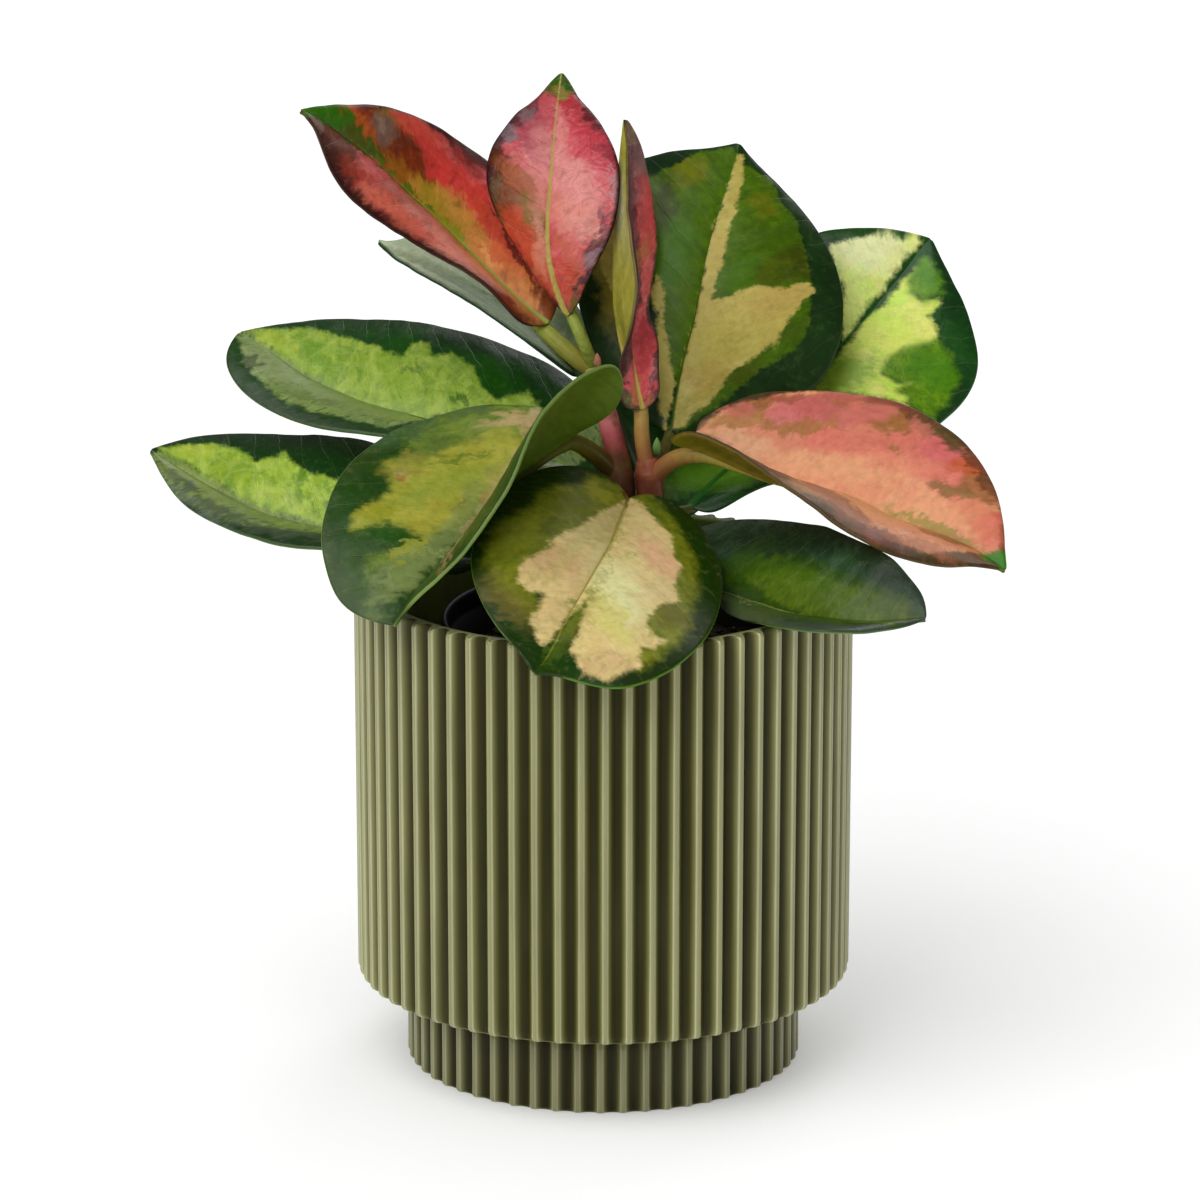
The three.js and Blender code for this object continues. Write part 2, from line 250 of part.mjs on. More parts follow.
    left: [[26.7, 3.7, 176.2], [26.9, 8.1, 182.3], [34.5, 11.8, 186.4], [43.1, 15, 188.5], [52.2, 16.5, 188.9], [61.3, 16.8, 188.8], [70.4, 16.1, 188], [79.3, 14.3, 186.9], [87.8, 10.7, 184.9], [95.5, 6, 181.4], [102.1, -0.1, 177], [106.9, -7.4, 171.2], [109.6, -15.6, 164.7], [110.2, -23.2, 157.7], [110.9, -30.2, 150.5]],
    right: [[26.7, 3.7, 176.2], [18.9, 0.7, 178.7], [22.8, -2.7, 182.5], [30.7, -8.4, 181.8], [37.9, -14.9, 179.7], [44.7, -22, 177], [51.1, -29, 173.8], [57.4, -34.7, 170.1], [63.8, -38.4, 166.1], [70.8, -42.1, 162.7], [78.1, -43.1, 159.3], [86, -42.6, 156.8], [94.2, -39.9, 154.6], [102.6, -35.7, 153.3], [110.9, -30.2, 150.5]],
    petiole: [[13.1, 11.4, 167.1], [15.8, 7.1, 170.3], [20.6, 5, 173.6], [26.7, 3.7, 176.2], [28.7, 3, 175.6]] },
  { name: 'leaf_right_lower', color: 0x46602e, bow: [0.07, 0.07], thick: 1.3, petioleR: 1.9,
    mid: [[18, -4.4, 146], [18.7, -5.3, 145.6], [20.8, -7.8, 144.4], [24.4, -11.8, 142.8], [29.7, -17.2, 141.7], [36.3, -23.9, 141.2], [43.8, -32, 141.3], [51.6, -40.3, 141.4], [59.6, -47.2, 141.9], [67.3, -52.2, 142.5], [74.2, -55.4, 143.2], [80, -57.2, 144], [84.4, -58.2, 144.7], [87.1, -58.8, 145.2], [88, -59, 145.3]],
    left: [[18, -4.4, 146], [19.6, -0.8, 151], [25.5, 1, 153.4], [31.8, 1.6, 154.8], [38.2, 0.1, 156.2], [44.6, -3.8, 157.6], [50.9, -9.8, 159], [57.1, -16.8, 160.3], [63.2, -24.1, 160.8], [68.8, -30.5, 160], [74.5, -36.6, 159], [79.6, -42.3, 157], [83.9, -48.2, 154], [87.3, -53.7, 150.2], [88, -59, 145.3]],
    right: [[18, -4.4, 146], [17.4, -8.2, 141.3], [21.4, -13.3, 138.5], [26.8, -19.8, 138.2], [32.3, -29, 139], [37.2, -41.8, 140.1], [42.7, -54, 142.6], [48.1, -64.4, 144.6], [53.7, -70.8, 145.6], [59.3, -74.7, 146.2], [65, -74.5, 146], [70.8, -72.2, 145.7], [76.7, -68.7, 145.2], [82.5, -64.4, 144.8], [88, -59, 145.3]],
    petiole: [[13.1, 10.2, 152.8], [13.6, 2.8, 152.6], [15.3, -1.1, 150], [18, -4.4, 146], [19.5, -6, 145.5]] },
];

// A blade: one grid laid between left margin, midrib and right margin, each half
// bowed towards the upper face, closed to a thin body that is sharp at the margin.
function blade(leaf) {
  const M = leaf.mid.map(vec), L = leaf.left.map(vec), R = leaf.right.map(vec);
  const n = M.length, across = STATIONS_ACROSS, w = across.length;
  const surf = [];
  for (let i = 0; i < n; i++) {
    const t = new THREE.Vector3().subVectors(M[Math.min(i + 1, n - 1)], M[Math.max(i - 1, 0)]).normalize();
    const up = new THREE.Vector3().subVectors(R[i], L[i]).cross(t);
    if (up.length() > 1e-9) up.normalize();
    const row = [];
    for (const v of across) {
      const edge = v < 0 ? L[i] : R[i], u = Math.abs(v);
      const span = edge.distanceTo(M[i]);
      const p = new THREE.Vector3().lerpVectors(M[i], edge, u);
      p.addScaledVector(up, 4 * u * (1 - u) * span * leaf.bow[v < 0 ? 0 : 1]);
      row.push(p);
    }
    surf.push(row);
  }
  const at = (i, j) => surf[Math.max(0, Math.min(n - 1, i))][Math.max(0, Math.min(w - 1, j))];
  const top = [], bot = [];
  for (let i = 0; i < n; i++) {
    const a = [], b = [];
    for (let j = 0; j < w; j++) {
      const p = surf[i][j];
      if (i === 0 || i === n - 1 || j === 0 || j === w - 1) { a.push(p); b.push(p); continue; }
      const du = new THREE.Vector3().subVectors(at(i + 1, j), at(i - 1, j));
      const dv = new THREE.Vector3().subVectors(at(i, j + 1), at(i, j - 1));
      const nrm = dv.cross(du).normalize();
      const h = 0.5 * leaf.thick;
      a.push(p.clone().addScaledVector(nrm, h));
      b.push(p.clone().addScaledVector(nrm, -h));
    }
    top.push(a); bot.push(b);
  }
  const pos = [];
  const tri = (a, b, c) => pos.push(a.x, a.y, a.z, b.x, b.y, b.z, c.x, c.y, c.z);
  for (let i = 0; i + 1 < n; i++) for (let j = 0; j + 1 < w; j++) {
    const quad = (g, flip) => {
      const [p, q, r, s] = [g[i][j], g[i][j + 1], g[i + 1][j + 1], g[i + 1][j]];
      if (flip) { tri(p, r, q); tri(p, s, r); } else { tri(p, q, r); tri(p, r, s); }
    };
    quad(top, false); quad(bot, true);
  }
  const g = new THREE.BufferGeometry();
  g.setAttribute('position', new THREE.BufferAttribute(new Float32Array(pos), 3));
  return toManifold(g);
}

// ---- assembly ---------------------------------------------------------------
const plant = new THREE.Group();
function put(name, solid, color, roughness) {
  const mesh = new THREE.Mesh(toGeometry(solid), new THREE.MeshStandardMaterial({ color, roughness, metalness: 0 }));
  mesh.name = name;
  plant.add(mesh);
  return mesh;
}

put('cover_pot', coverPot(), 0x8a8d63, 0.45);
put('pot_foot', potFoot(), 0x85885f, 0.45);
put('growing_pot', growingPot(), 0x141414, 0.3);

const stemSolids = {}, stemKeepOut = {};
for (const [name, s] of Object.entries(STEMS)) {
  const foot = s.path[s.path.length - 1];
  let solid = bar(s.path, s.r, 10, 10);
  let wide = bar([...s.path, [foot[0], foot[1], foot[2] - 1.5]], s.r + GAP, 10, 11);
  for (const k of s.nodes) {
    solid = solid.add(ball(k, s.r + 0.5, s.r + 0.4, 8));
    wide = wide.add(ball(k, s.r + 0.5 + GAP, s.r + 0.4 + GAP, 8));
  }
  stemSolids[name] = solid;
  stemKeepOut[name] = wide;
}
put('potting_soil', mainPiece(soil().subtract(stemKeepOut.stem_left).subtract(stemKeepOut.stem_right)), 0x2a211b, 0.95);
put('stem_left', stemSolids.stem_left, 0x5c2c26, 0.5);
put('stem_right', stemSolids.stem_right, 0x5a3226, 0.5);

// every leaf is blade and stalk in one piece; stalks stop just short of the stem
const taken = [];
for (const leaf of LEAVES) {
  const stalkWide = bar(leaf.petiole, leaf.petioleR + GAP, 7, 6);
  let solid = blade(leaf).add(bar(leaf.petiole, leaf.petioleR, 7, 6));
  solid = solid.subtract(stemKeepOut.stem_left).subtract(stemKeepOut.stem_right);
  for (const other of taken) solid = solid.subtract(other);
  taken.push(stalkWide);
  put(leaf.name, mainPiece(solid), leaf.color, 0.35);
}
for (const b of BUDS) {
  let solid = ball(b.at, b.r, b.h, 8).subtract(stemKeepOut.stem_left).subtract(stemKeepOut.stem_right);
  for (const other of taken) solid = solid.subtract(other);
  put(b.name, mainPiece(solid), b.color, 0.45);
}

export default plant;
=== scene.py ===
import math
import bpy
import numpy as np
from mathutils import Vector, Matrix


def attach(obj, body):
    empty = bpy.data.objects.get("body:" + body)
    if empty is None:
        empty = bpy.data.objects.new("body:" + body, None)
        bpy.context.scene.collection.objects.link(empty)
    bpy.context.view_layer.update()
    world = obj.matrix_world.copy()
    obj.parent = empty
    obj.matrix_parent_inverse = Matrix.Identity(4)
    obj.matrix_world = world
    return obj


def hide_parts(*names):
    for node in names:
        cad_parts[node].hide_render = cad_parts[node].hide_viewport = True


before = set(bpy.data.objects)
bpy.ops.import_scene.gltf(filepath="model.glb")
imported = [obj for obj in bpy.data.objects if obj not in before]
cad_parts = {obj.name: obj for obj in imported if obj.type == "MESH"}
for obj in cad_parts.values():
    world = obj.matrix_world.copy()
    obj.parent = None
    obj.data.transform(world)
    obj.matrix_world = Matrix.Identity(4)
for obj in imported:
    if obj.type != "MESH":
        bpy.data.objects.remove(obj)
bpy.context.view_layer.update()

MM = 0.001
scene = bpy.context.scene

# ------------------------------------------------------------------ data ---
# Every leaf: midrib, both margins (base to tip, 15 stations) and the stalk, in mm.
LEAVES = {
    "leaf_pink_left": dict(bow=(0.07, 0.07), thick=1.3, stalk_r=2.5,
        mid=[(-15.8, 20.44, 207.29), (-16.73, 20.91, 207.87), (-19.45, 22.3, 209.61), (-23.69, 24.57, 212.61), (-28.92, 27.56, 217.06), (-34.99, 30.81, 222.69), (-41.86, 33.66, 229.07), (-49.34, 35.37, 235.84), (-56.87, 35.53, 242.9), (-63.76, 34.59, 250.11), (-70.3, 32.94, 256.3), (-76.11, 31.1, 261.1), (-80.41, 29.63, 264.81), (-83.43, 28.5, 266.48), (-84.53, 28.05, 266.86)],
        left=[(-15.8, 20.44, 207.29), (-22.08, 16.38, 208.47), (-27.15, 15.42, 213.42), (-31.63, 15.67, 218.68), (-36.83, 16.49, 223.02), (-42.75, 17.47, 226.27), (-48.96, 18.28, 229.01), (-55, 18.58, 232.19), (-60.74, 18.1, 236.07), (-66.17, 17.25, 240.47), (-71.08, 16.76, 245.4), (-74.98, 17.29, 250.98), (-77.76, 19.19, 256.9), (-80.38, 22.59, 262.55), (-84.53, 28.05, 266.86)],
        right=[(-15.8, 20.44, 207.29), (-13.03, 27.66, 212.54), (-14.01, 34.21, 218.83), (-16.17, 40.5, 224.99), (-18.98, 46.39, 231.06), (-22.77, 51.46, 236.88), (-28.06, 54.99, 242), (-34.15, 56.45, 246.79), (-40.53, 55.61, 251.7), (-47.08, 52.94, 256.72), (-54.23, 48.89, 260.79), (-61.68, 44.16, 264.01), (-69.34, 38.98, 265.62), (-76.96, 33.77, 266.25), (-84.53, 28.05, 266.86)],
        stalk=[(-3.2, 17.75, 194.96), (-6.56, 17.51, 197.64), (-10.48, 17.92, 200.72), (-15.8, 20.44, 207.29)]),
    "leaf_pink_top": dict(bow=(0.07, 0.07), thick=1.3, stalk_r=1.8,
        mid=[(-9.91, 17.3, 210.74), (-10.23, 17.45, 211.52), (-11.19, 17.88, 213.84), (-12.62, 18.64, 217.6), (-14.17, 19.86, 222.66), (-15.2, 21.85, 228.77), (-15.43, 24.86, 235.47), (-15.04, 28.96, 242.29), (-14.42, 34.04, 248.86), (-13.8, 39.75, 254.9), (-13.23, 45.57, 260.16), (-12.66, 50.83, 264.47), (-12.12, 54.92, 267.67), (-11.75, 57.49, 269.66), (-11.63, 58.36, 270.33)],
        left=[(-9.91, 17.3, 210.74), (-13.44, 20.62, 214.71), (-17.06, 23.15, 218.86), (-20.46, 25.37, 223.26), (-23.87, 27.41, 227.71), (-27.38, 29.58, 232.06), (-30.17, 32.4, 236.7), (-32.03, 36.05, 241.55), (-32.74, 40.48, 246.47), (-31.27, 45.33, 251.11), (-28.32, 50.07, 255.2), (-24.58, 54.15, 258.91), (-19.94, 56.95, 262.01), (-15.86, 58.59, 266.02), (-11.63, 58.36, 270.33)],
        right=[(-9.91, 17.3, 210.74), (-6.79, 16.37, 215.22), (-4.6, 16.14, 220.46), (-2.13, 16.03, 225.51), (0.38, 16.22, 230.46), (2.47, 17.13, 235.41), (3.83, 19.17, 240.33), (4.52, 22.49, 245.06), (4.59, 27.07, 249.52), (3.38, 32.62, 253.6), (0.96, 38.65, 257.15), (-2.08, 44.58, 260.39), (-5.77, 49.84, 263.3), (-8.75, 54.45, 266.89), (-11.63, 58.36, 270.33)],
        stalk=[(-3.2, 17.75, 194.96), (-3.76, 15.91, 199.24), (-5.71, 15.19, 203.78), (-9.91, 17.3, 210.74)]),
    "leaf_pink_twisted": dict(bow=(0.03, 0.03), thick=1.3, stalk_r=2.2,
        mid=[(11.08, 12.65, 185.04), (10.76, 12.71, 186.04), (9.86, 12.89, 189), (8.57, 13.23, 193.79), (7.25, 13.87, 200.19), (5.07, 14.97, 207.6), (3.63, 16.85, 215.88), (3.63, 19.42, 224.61), (4.01, 22.47, 233.21), (4.46, 26.01, 241.21), (4.81, 29.91, 248.21), (5.25, 33.61, 253.95), (5.73, 36.55, 258.22), (6.07, 38.41, 260.87), (6.19, 39.05, 261.76)],
        left=[(11.08, 12.65, 185.04), (5.85, 11.2, 186.26), (4.25, 10.28, 192.69), (4.53, 8.39, 199.65), (6.58, 5.12, 206.59), (7.87, 1.01, 213.97), (8.83, -0.3, 220.64), (8.99, 0.25, 226.88), (8.44, 2.83, 232.56), (7.85, 6.53, 237.96), (7.44, 12.16, 242.89), (7.16, 18.84, 247.58), (6.91, 26.3, 252.1), (6.61, 33.01, 256.84), (6.19, 39.05, 261.76)],
        right=[(11.08, 12.65, 185.04), (15.37, 12.67, 189.08), (15.61, 13.86, 195.06), (15.55, 17.44, 200.4), (14.62, 21.9, 205.42), (12.65, 27.29, 209.94), (13.29, 31.55, 214.99), (14.51, 34.84, 220.32), (15.1, 37.02, 226.05), (14.71, 39.7, 231.66), (13.8, 40.8, 237.63), (12.7, 41.42, 243.68), (11.28, 41.2, 249.86), (9.24, 40.51, 255.97), (6.19, 39.05, 261.76)],
        stalk=[(12.78, 11.2, 164.78), (12.22, 11.78, 168.4), (11.23, 11.72, 173.38), (10.53, 12.06, 177.94), (10.53, 14.09, 184.64)]),
    "leaf_cream_large": dict(bow=(0.07, 0.07), thick=1.3, stalk_r=1.6,
        mid=[(18.9, 21.43, 176.11), (19.06, 21.94, 177.03), (19.53, 23.43, 179.76), (20.34, 25.81, 184.15), (21.57, 28.9, 189.99), (23.4, 32.39, 196.97), (25.6, 36.05, 204.79), (27.32, 39.98, 213.14), (29.12, 44.25, 221.39), (31.44, 49, 228.93), (33.88, 54.13, 235.38), (35.88, 59, 240.65), (37.27, 62.89, 244.6), (38.09, 65.35, 247.06), (38.37, 66.19, 247.9)],
        left=[(18.9, 21.43, 176.11), (11.07, 24.9, 178.5), (5.09, 29.02, 184.05), (0.17, 33.44, 190.4), (-3.5, 38.03, 197.46), (-6.11, 42.51, 204.99), (-7.72, 46.69, 212.86), (-7.95, 50.7, 220.93), (-6.24, 54.7, 228.85), (-2.62, 58.86, 236.09), (3.78, 62.79, 241.3), (12.15, 65.62, 243.59), (20.83, 67.32, 245.08), (29.68, 67.51, 245.89), (38.37, 66.19, 247.9)],
        right=[(18.9, 21.43, 176.11), (27.69, 23.19, 174.95), (36.39, 25.53, 176.09), (44.81, 28.32, 178.25), (52.8, 31.46, 181.44), (59.97, 34.81, 185.95), (64.93, 38.49, 192.55), (67.36, 42.36, 200.33), (67.58, 46.46, 208.41), (65.71, 50.9, 216.19), (61.9, 55.59, 223.23), (56.8, 59.95, 229.6), (50.83, 63.35, 235.53), (44.11, 65.41, 241.05), (38.37, 66.19, 247.9)],
        stalk=[(12.79, 12.5, 167.32), (15.89, 16.44, 169.99), (17.59, 19.26, 172.4), (18.9, 21.43, 176.11)]),
    "leaf_pale_back": dict(bow=(0.07, 0.07), thick=1.3, stalk_r=1.9,
        mid=[(24.38, 18.13, 154.87), (25.29, 19.08, 155.52), (27.98, 21.9, 157.46), (32.42, 26.39, 160.5), (38.53, 32.19, 164.37), (45.32, 39.02, 169.67), (52.95, 46.07, 175.73), (60.7, 52.68, 182.65), (67.48, 58.41, 190.65), (74.9, 62.88, 197.7), (81.15, 66.67, 204.46), (86.3, 69.74, 210.2), (89.93, 72.07, 214.71), (92.43, 73.44, 217.32), (93.51, 73.83, 217.95)],
        left=[(24.38, 18.13, 154.87), (14.18, 24, 152.61), (6.46, 32.59, 157.91), (2.11, 42.8, 165.55), (1.71, 50.94, 174.52), (9.28, 58.08, 180.83), (18.8, 63.46, 185.35), (28.31, 66.56, 190.54), (36.45, 69.54, 197.61), (43.56, 72.14, 205.8), (51.17, 74.4, 213.61), (60.61, 76, 219.23), (71.6, 76.25, 220.64), (82.68, 75.41, 219.88), (93.51, 73.83, 217.95)],
        right=[(24.38, 18.13, 154.87), (31.13, 16.67, 153.79), (39.82, 18.82, 157.89), (49, 22.13, 160.6), (58.75, 26.09, 161.23), (68.45, 30.95, 162.08), (77.95, 36.29, 163.74), (87.1, 41.48, 166.4), (95.32, 46.28, 170.91), (102.59, 50.75, 176.72), (106.53, 55.53, 184.72), (105.56, 60.39, 193.54), (102.26, 64.98, 201.95), (97.58, 69.28, 209.82), (93.51, 73.83, 217.95)],
        stalk=[(13.08, 10.84, 154.95), (19.28, 13.8, 154.37), (24.38, 18.13, 154.87)]),
    "leaf_folded_front": dict(bow=(0.03, 0.05), thick=1.3, stalk_r=2.6,
        mid=[(-8.49, 1.07, 181.33), (-9.27, 0.53, 180.97), (-11.56, -1.07, 179.9), (-15.18, -3.73, 178.1), (-19.73, -7.54, 175.44), (-24.52, -12.74, 171.72), (-29.25, -19.3, 167.26), (-34.29, -26.5, 162.77), (-39.41, -33.62, 158.38), (-44.62, -40.02, 154.45), (-49.29, -45.4, 150.85), (-52.88, -49.73, 147.53), (-55.34, -52.96, 144.83), (-56.81, -54.95, 143.12), (-57.3, -55.63, 142.54)],
        left=[(-8.49, 1.07, 181.33), (-0.46, -3.29, 186.53), (5.05, -7.39, 194.29), (3.41, -11.55, 204.04), (-5.04, -18.57, 203.79), (-12.12, -26.63, 200.55), (-17.73, -34.31, 195.73), (-21.36, -42.37, 189.69), (-24.26, -49.32, 183.06), (-28.21, -54.78, 176.55), (-33.33, -58.08, 170.11), (-38.88, -59.51, 163.45), (-45.18, -58.9, 156.85), (-51.76, -57.55, 150.29), (-57.3, -55.63, 142.54)],
        right=[(-8.49, 1.07, 181.33), (-14.43, 4.7, 186.85), (-23.59, 6.1, 187.72), (-32.79, 6.59, 187.81), (-41.89, 5.06, 186.7), (-50.61, 1.58, 184.7), (-59.1, -4.11, 182.88), (-66.65, -10.95, 179.58), (-72.75, -19.03, 175.07), (-76.33, -27.66, 168.91), (-77.75, -35.87, 161.98), (-76.29, -43.23, 154.81), (-72.61, -49.52, 148), (-65.66, -53.61, 143.97), (-57.3, -55.63, 142.54)],
        stalk=[(4.93, 11.44, 163.83), (2.69, 11.7, 167.11), (-0.12, 9.38, 170.84), (-3.75, 4.99, 175.29), (-8.49, 0.91, 180.8)]),
    "leaf_round_front": dict(bow=(0.05, 0.05), thick=1.3, stalk_r=1.9,
        mid=[(6.85, -3.39, 163.18), (6.6, -4.64, 162.87), (5.86, -8.35, 161.97), (4.68, -14.3, 160.51), (3.1, -22.16, 158.59), (0.86, -31.39, 156.44), (-2.11, -41.25, 154.23), (-5.14, -50.78, 151.64), (-8.2, -59.02, 148.71), (-10.93, -65.7, 145.52), (-13.17, -70.88, 142.31), (-15.23, -74.71, 139.6), (-17, -77.38, 137.64), (-18.21, -78.98, 136.5), (-18.64, -79.52, 136.12)],
        left=[(6.85, -3.39, 163.18), (14.3, -3.09, 164.07), (21.38, -6.05, 161.55), (27, -11.33, 157.5), (31.19, -19.96, 153.24), (32.98, -31.95, 149.02), (32.02, -46.1, 145.25), (29.1, -60.92, 142.3), (24.2, -73.55, 139.92), (18.19, -81.73, 137.48), (11.27, -86.51, 135.58), (3.82, -89.07, 134.86), (-3.69, -87.37, 135.45), (-11.04, -84.16, 136.59), (-18.64, -79.52, 136.12)],
        right=[(6.85, -3.39, 163.18), (2.44, -1.95, 168.19), (-3.75, -2.86, 171.92), (-10.71, -6, 173.73), (-17.62, -11.24, 174.1), (-23.87, -18.31, 172.95), (-28.95, -27.28, 170.64), (-32.94, -36.57, 167.47), (-35.66, -45.16, 163.38), (-36.24, -52.47, 158.38), (-34.55, -59.37, 153.44), (-31.45, -65.61, 148.86), (-27.29, -71.5, 144.87), (-22.74, -76, 140.82), (-18.64, -79.52, 136.12)],
        stalk=[(5.5, 9.06, 152.54), (5.75, 2.2, 157.47), (6.3, -1.47, 160.88), (6.85, -3.39, 163.18)]),
    "leaf_left_upper": dict(bow=(0.07, 0.07), thick=1.3, stalk_r=1.9,
        mid=[(-4.33, 17.94, 164.59), (-5.57, 18.21, 165.04), (-9.2, 19, 166.38), (-15.1, 20.27, 168.43), (-23.05, 22.01, 170.82), (-32.71, 24.29, 173.26), (-43.54, 27.22, 175.77), (-55.01, 30.42, 178.16), (-66.49, 33.63, 180.64), (-77.16, 37.3, 183.63), (-86.2, 41.7, 187.36), (-93.33, 46.11, 191.08), (-98.76, 49.59, 193.77), (-102.17, 51.78, 195.38), (-103.34, 52.52, 195.92)],
        left=[(-4.33, 17.94, 164.59), (-11.44, 10.49, 162.38), (-20.07, 6.66, 164.56), (-28.38, 4.36, 167.92), (-36.44, 3.36, 171.59), (-44.39, 3.73, 175.19), (-52.64, 5.27, 177.66), (-61.26, 7.57, 178.65), (-70.04, 10.47, 178.55), (-78.82, 14.61, 178.55), (-87.42, 20.4, 179.38), (-95.61, 27.37, 181.24), (-102.74, 35.06, 184.74), (-106.66, 43.42, 190.59), (-103.34, 52.52, 195.92)],
        right=[(-4.33, 17.94, 164.59), (3.16, 24.42, 162.74), (1.81, 32.05, 170.55), (-2.68, 38.83, 177.67), (-8.41, 44.97, 184.27), (-16.55, 50.06, 188.5), (-25.64, 54.47, 191.33), (-35.04, 58.09, 193.61), (-44.67, 60.62, 195.38), (-54.48, 62.33, 196.44), (-64.38, 63.43, 196.76), (-74.28, 63.55, 196.64), (-84.11, 62.12, 196.21), (-93.82, 58.82, 195.81), (-103.34, 52.52, 195.92)],
        stalk=[(4.93, 10.87, 161.95), (0.16, 15.2, 162.45), (-4.33, 17.94, 164.59)]),
    "leaf_left_lower": dict(bow=(0.07, 0.07), thick=1.3, stalk_r=1.8,
        mid=[(-34.49, -4.41, 146.02), (-35.7, -4.16, 146.15), (-39.29, -3.4, 146.56), (-45.06, -2.17, 147.26), (-52.7, -0.52, 148.35), (-61.86, 1.39, 149.66), (-72.06, 3.56, 151.29), (-82.81, 6.06, 152.97), (-93.54, 9.06, 154.72), (-103.28, 12.79, 157.72), (-111.66, 16.73, 161.12), (-118.43, 20.34, 164.35), (-123.46, 23.17, 166.87), (-126.57, 24.94, 168.46), (-127.63, 25.55, 169)],
        left=[(-34.49, -4.41, 146.02), (-39.9, -11.69, 144.09), (-47.34, -15.47, 145.62), (-54.7, -17.83, 147.58), (-61.96, -18.97, 149.76), (-69.25, -19.17, 151.59), (-76.56, -18.4, 153.18), (-84.07, -16.78, 153.47), (-91.6, -13.79, 153.68), (-99, -9.34, 154.47), (-106.3, -3.85, 155.52), (-113.36, 2.38, 157.06), (-119.48, 9.3, 160), (-124.04, 16.79, 164.35), (-127.63, 25.55, 169)],
        right=[(-34.49, -4.41, 146.02), (-33.02, 4.26, 151.14), (-36.92, 11.38, 156.42), (-42.5, 17.67, 160.74), (-48.92, 23.23, 164.4), (-55.92, 27.93, 167.43), (-63.63, 31.53, 169.26), (-71.7, 34.2, 169.98), (-79.87, 36.29, 170.24), (-88.04, 37.8, 170.46), (-96.21, 38.47, 170.56), (-104.35, 37.98, 170.56), (-112.38, 36, 170.33), (-120.16, 32.19, 169.56), (-127.63, 25.55, 169)],
        stalk=[(5.78, 7.92, 148.78), (-12.15, 1.53, 151.84), (-24.72, -2.4, 149.21), (-34.49, -4.41, 146.02)]),
    "leaf_grey_back": dict(bow=(0.07, 0.07), thick=1.3, stalk_r=2.2,
        mid=[(-7.44, 31.72, 189.37), (-8, 32.33, 189.88), (-9.66, 34.1, 191.38), (-12.37, 36.91, 193.78), (-16.15, 40.47, 196.86), (-21.03, 44.33, 200.3), (-26.78, 48.11, 203.91), (-32.99, 51.87, 207.57), (-39.47, 55.62, 210.87), (-45.89, 59.13, 213.59), (-51.75, 62.22, 215.88), (-56.75, 64.73, 217.6), (-60.69, 66.49, 218.49), (-63.19, 67.53, 218.88), (-64.04, 67.88, 219)],
        left=[(-7.44, 31.72, 189.37), (-3.09, 37.4, 192.12), (-2.91, 43.25, 196.84), (-5.13, 49.18, 201.21), (-8.36, 55, 205.13), (-12.24, 60.35, 208.74), (-16.75, 64.9, 211.99), (-21.84, 68.67, 214.73), (-27.46, 71.74, 216.77), (-33.43, 73.97, 218.15), (-39.56, 75.21, 219.09), (-45.79, 75.32, 219.45), (-51.99, 74.2, 219.2), (-58.03, 71.78, 218.38), (-64.04, 67.88, 219)],
        right=[(-7.44, 31.72, 189.37), (-11.39, 28.3, 193.16), (-15.2, 27.09, 196.53), (-19.1, 27.16, 199.44), (-23.13, 28.26, 201.88), (-27.17, 30.1, 204.12), (-31.18, 32.45, 206.27), (-35.24, 35.36, 208.24), (-39.34, 38.97, 209.98), (-43.5, 43.12, 211.53), (-47.71, 47.6, 212.94), (-51.96, 52.26, 214.27), (-56.23, 57.04, 215.58), (-60.37, 61.96, 217.08), (-64.04, 67.88, 219)],
        stalk=[(11.95, 12.48, 163.82), (8.88, 18.27, 167.42), (6.36, 21.68, 173.47), (1.86, 26.94, 182.22), (-7.44, 31.72, 189.37)]),
    "leaf_pink_right": dict(bow=(0.07, 0.07), thick=1.3, stalk_r=2.5,
        mid=[(26.69, 3.71, 176.24), (27.77, 3.34, 175.9), (30.94, 2.26, 174.89), (35.98, 0.48, 173.12), (42.65, -1.9, 170.74), (50.94, -4.5, 168.68), (60.42, -7.12, 167.24), (70.23, -10.08, 165.24), (79.33, -13.69, 161.54), (88.32, -17.25, 158.94), (96.3, -21.01, 156.7), (102.75, -24.63, 154.51), (107.3, -27.63, 152.41), (110.02, -29.57, 150.98), (110.94, -30.23, 150.49)],
        left=[(26.69, 3.71, 176.24), (26.85, 8.14, 182.27), (34.5, 11.83, 186.38), (43.12, 15, 188.52), (52.22, 16.5, 188.92), (61.34, 16.83, 188.76), (70.39, 16.07, 188.03), (79.33, 14.27, 186.94), (87.83, 10.75, 184.9), (95.5, 6.01, 181.41), (102.15, -0.14, 176.97), (106.92, -7.43, 171.24), (109.63, -15.6, 164.74), (110.21, -23.23, 157.66), (110.94, -30.23, 150.49)],
        right=[(26.69, 3.71, 176.24), (18.92, 0.74, 178.73), (22.75, -2.68, 182.52), (30.65, -8.36, 181.77), (37.91, -14.92, 179.72), (44.66, -21.96, 176.98), (51.05, -28.95, 173.77), (57.37, -34.72, 170.12), (63.83, -38.44, 166.05), (70.76, -42.06, 162.72), (78.1, -43.14, 159.27), (86, -42.6, 156.78), (94.2, -39.95, 154.62), (102.58, -35.7, 153.3), (110.94, -30.23, 150.49)],
        stalk=[(12.92, 10.88, 163.7), (14.18, 11.24, 165.93), (16.69, 9.71, 169.14), (20.58, 6.42, 173.14), (26.69, 3.71, 176.24)]),
    "leaf_right_lower": dict(bow=(0.07, 0.07), thick=1.3, stalk_r=1.9,
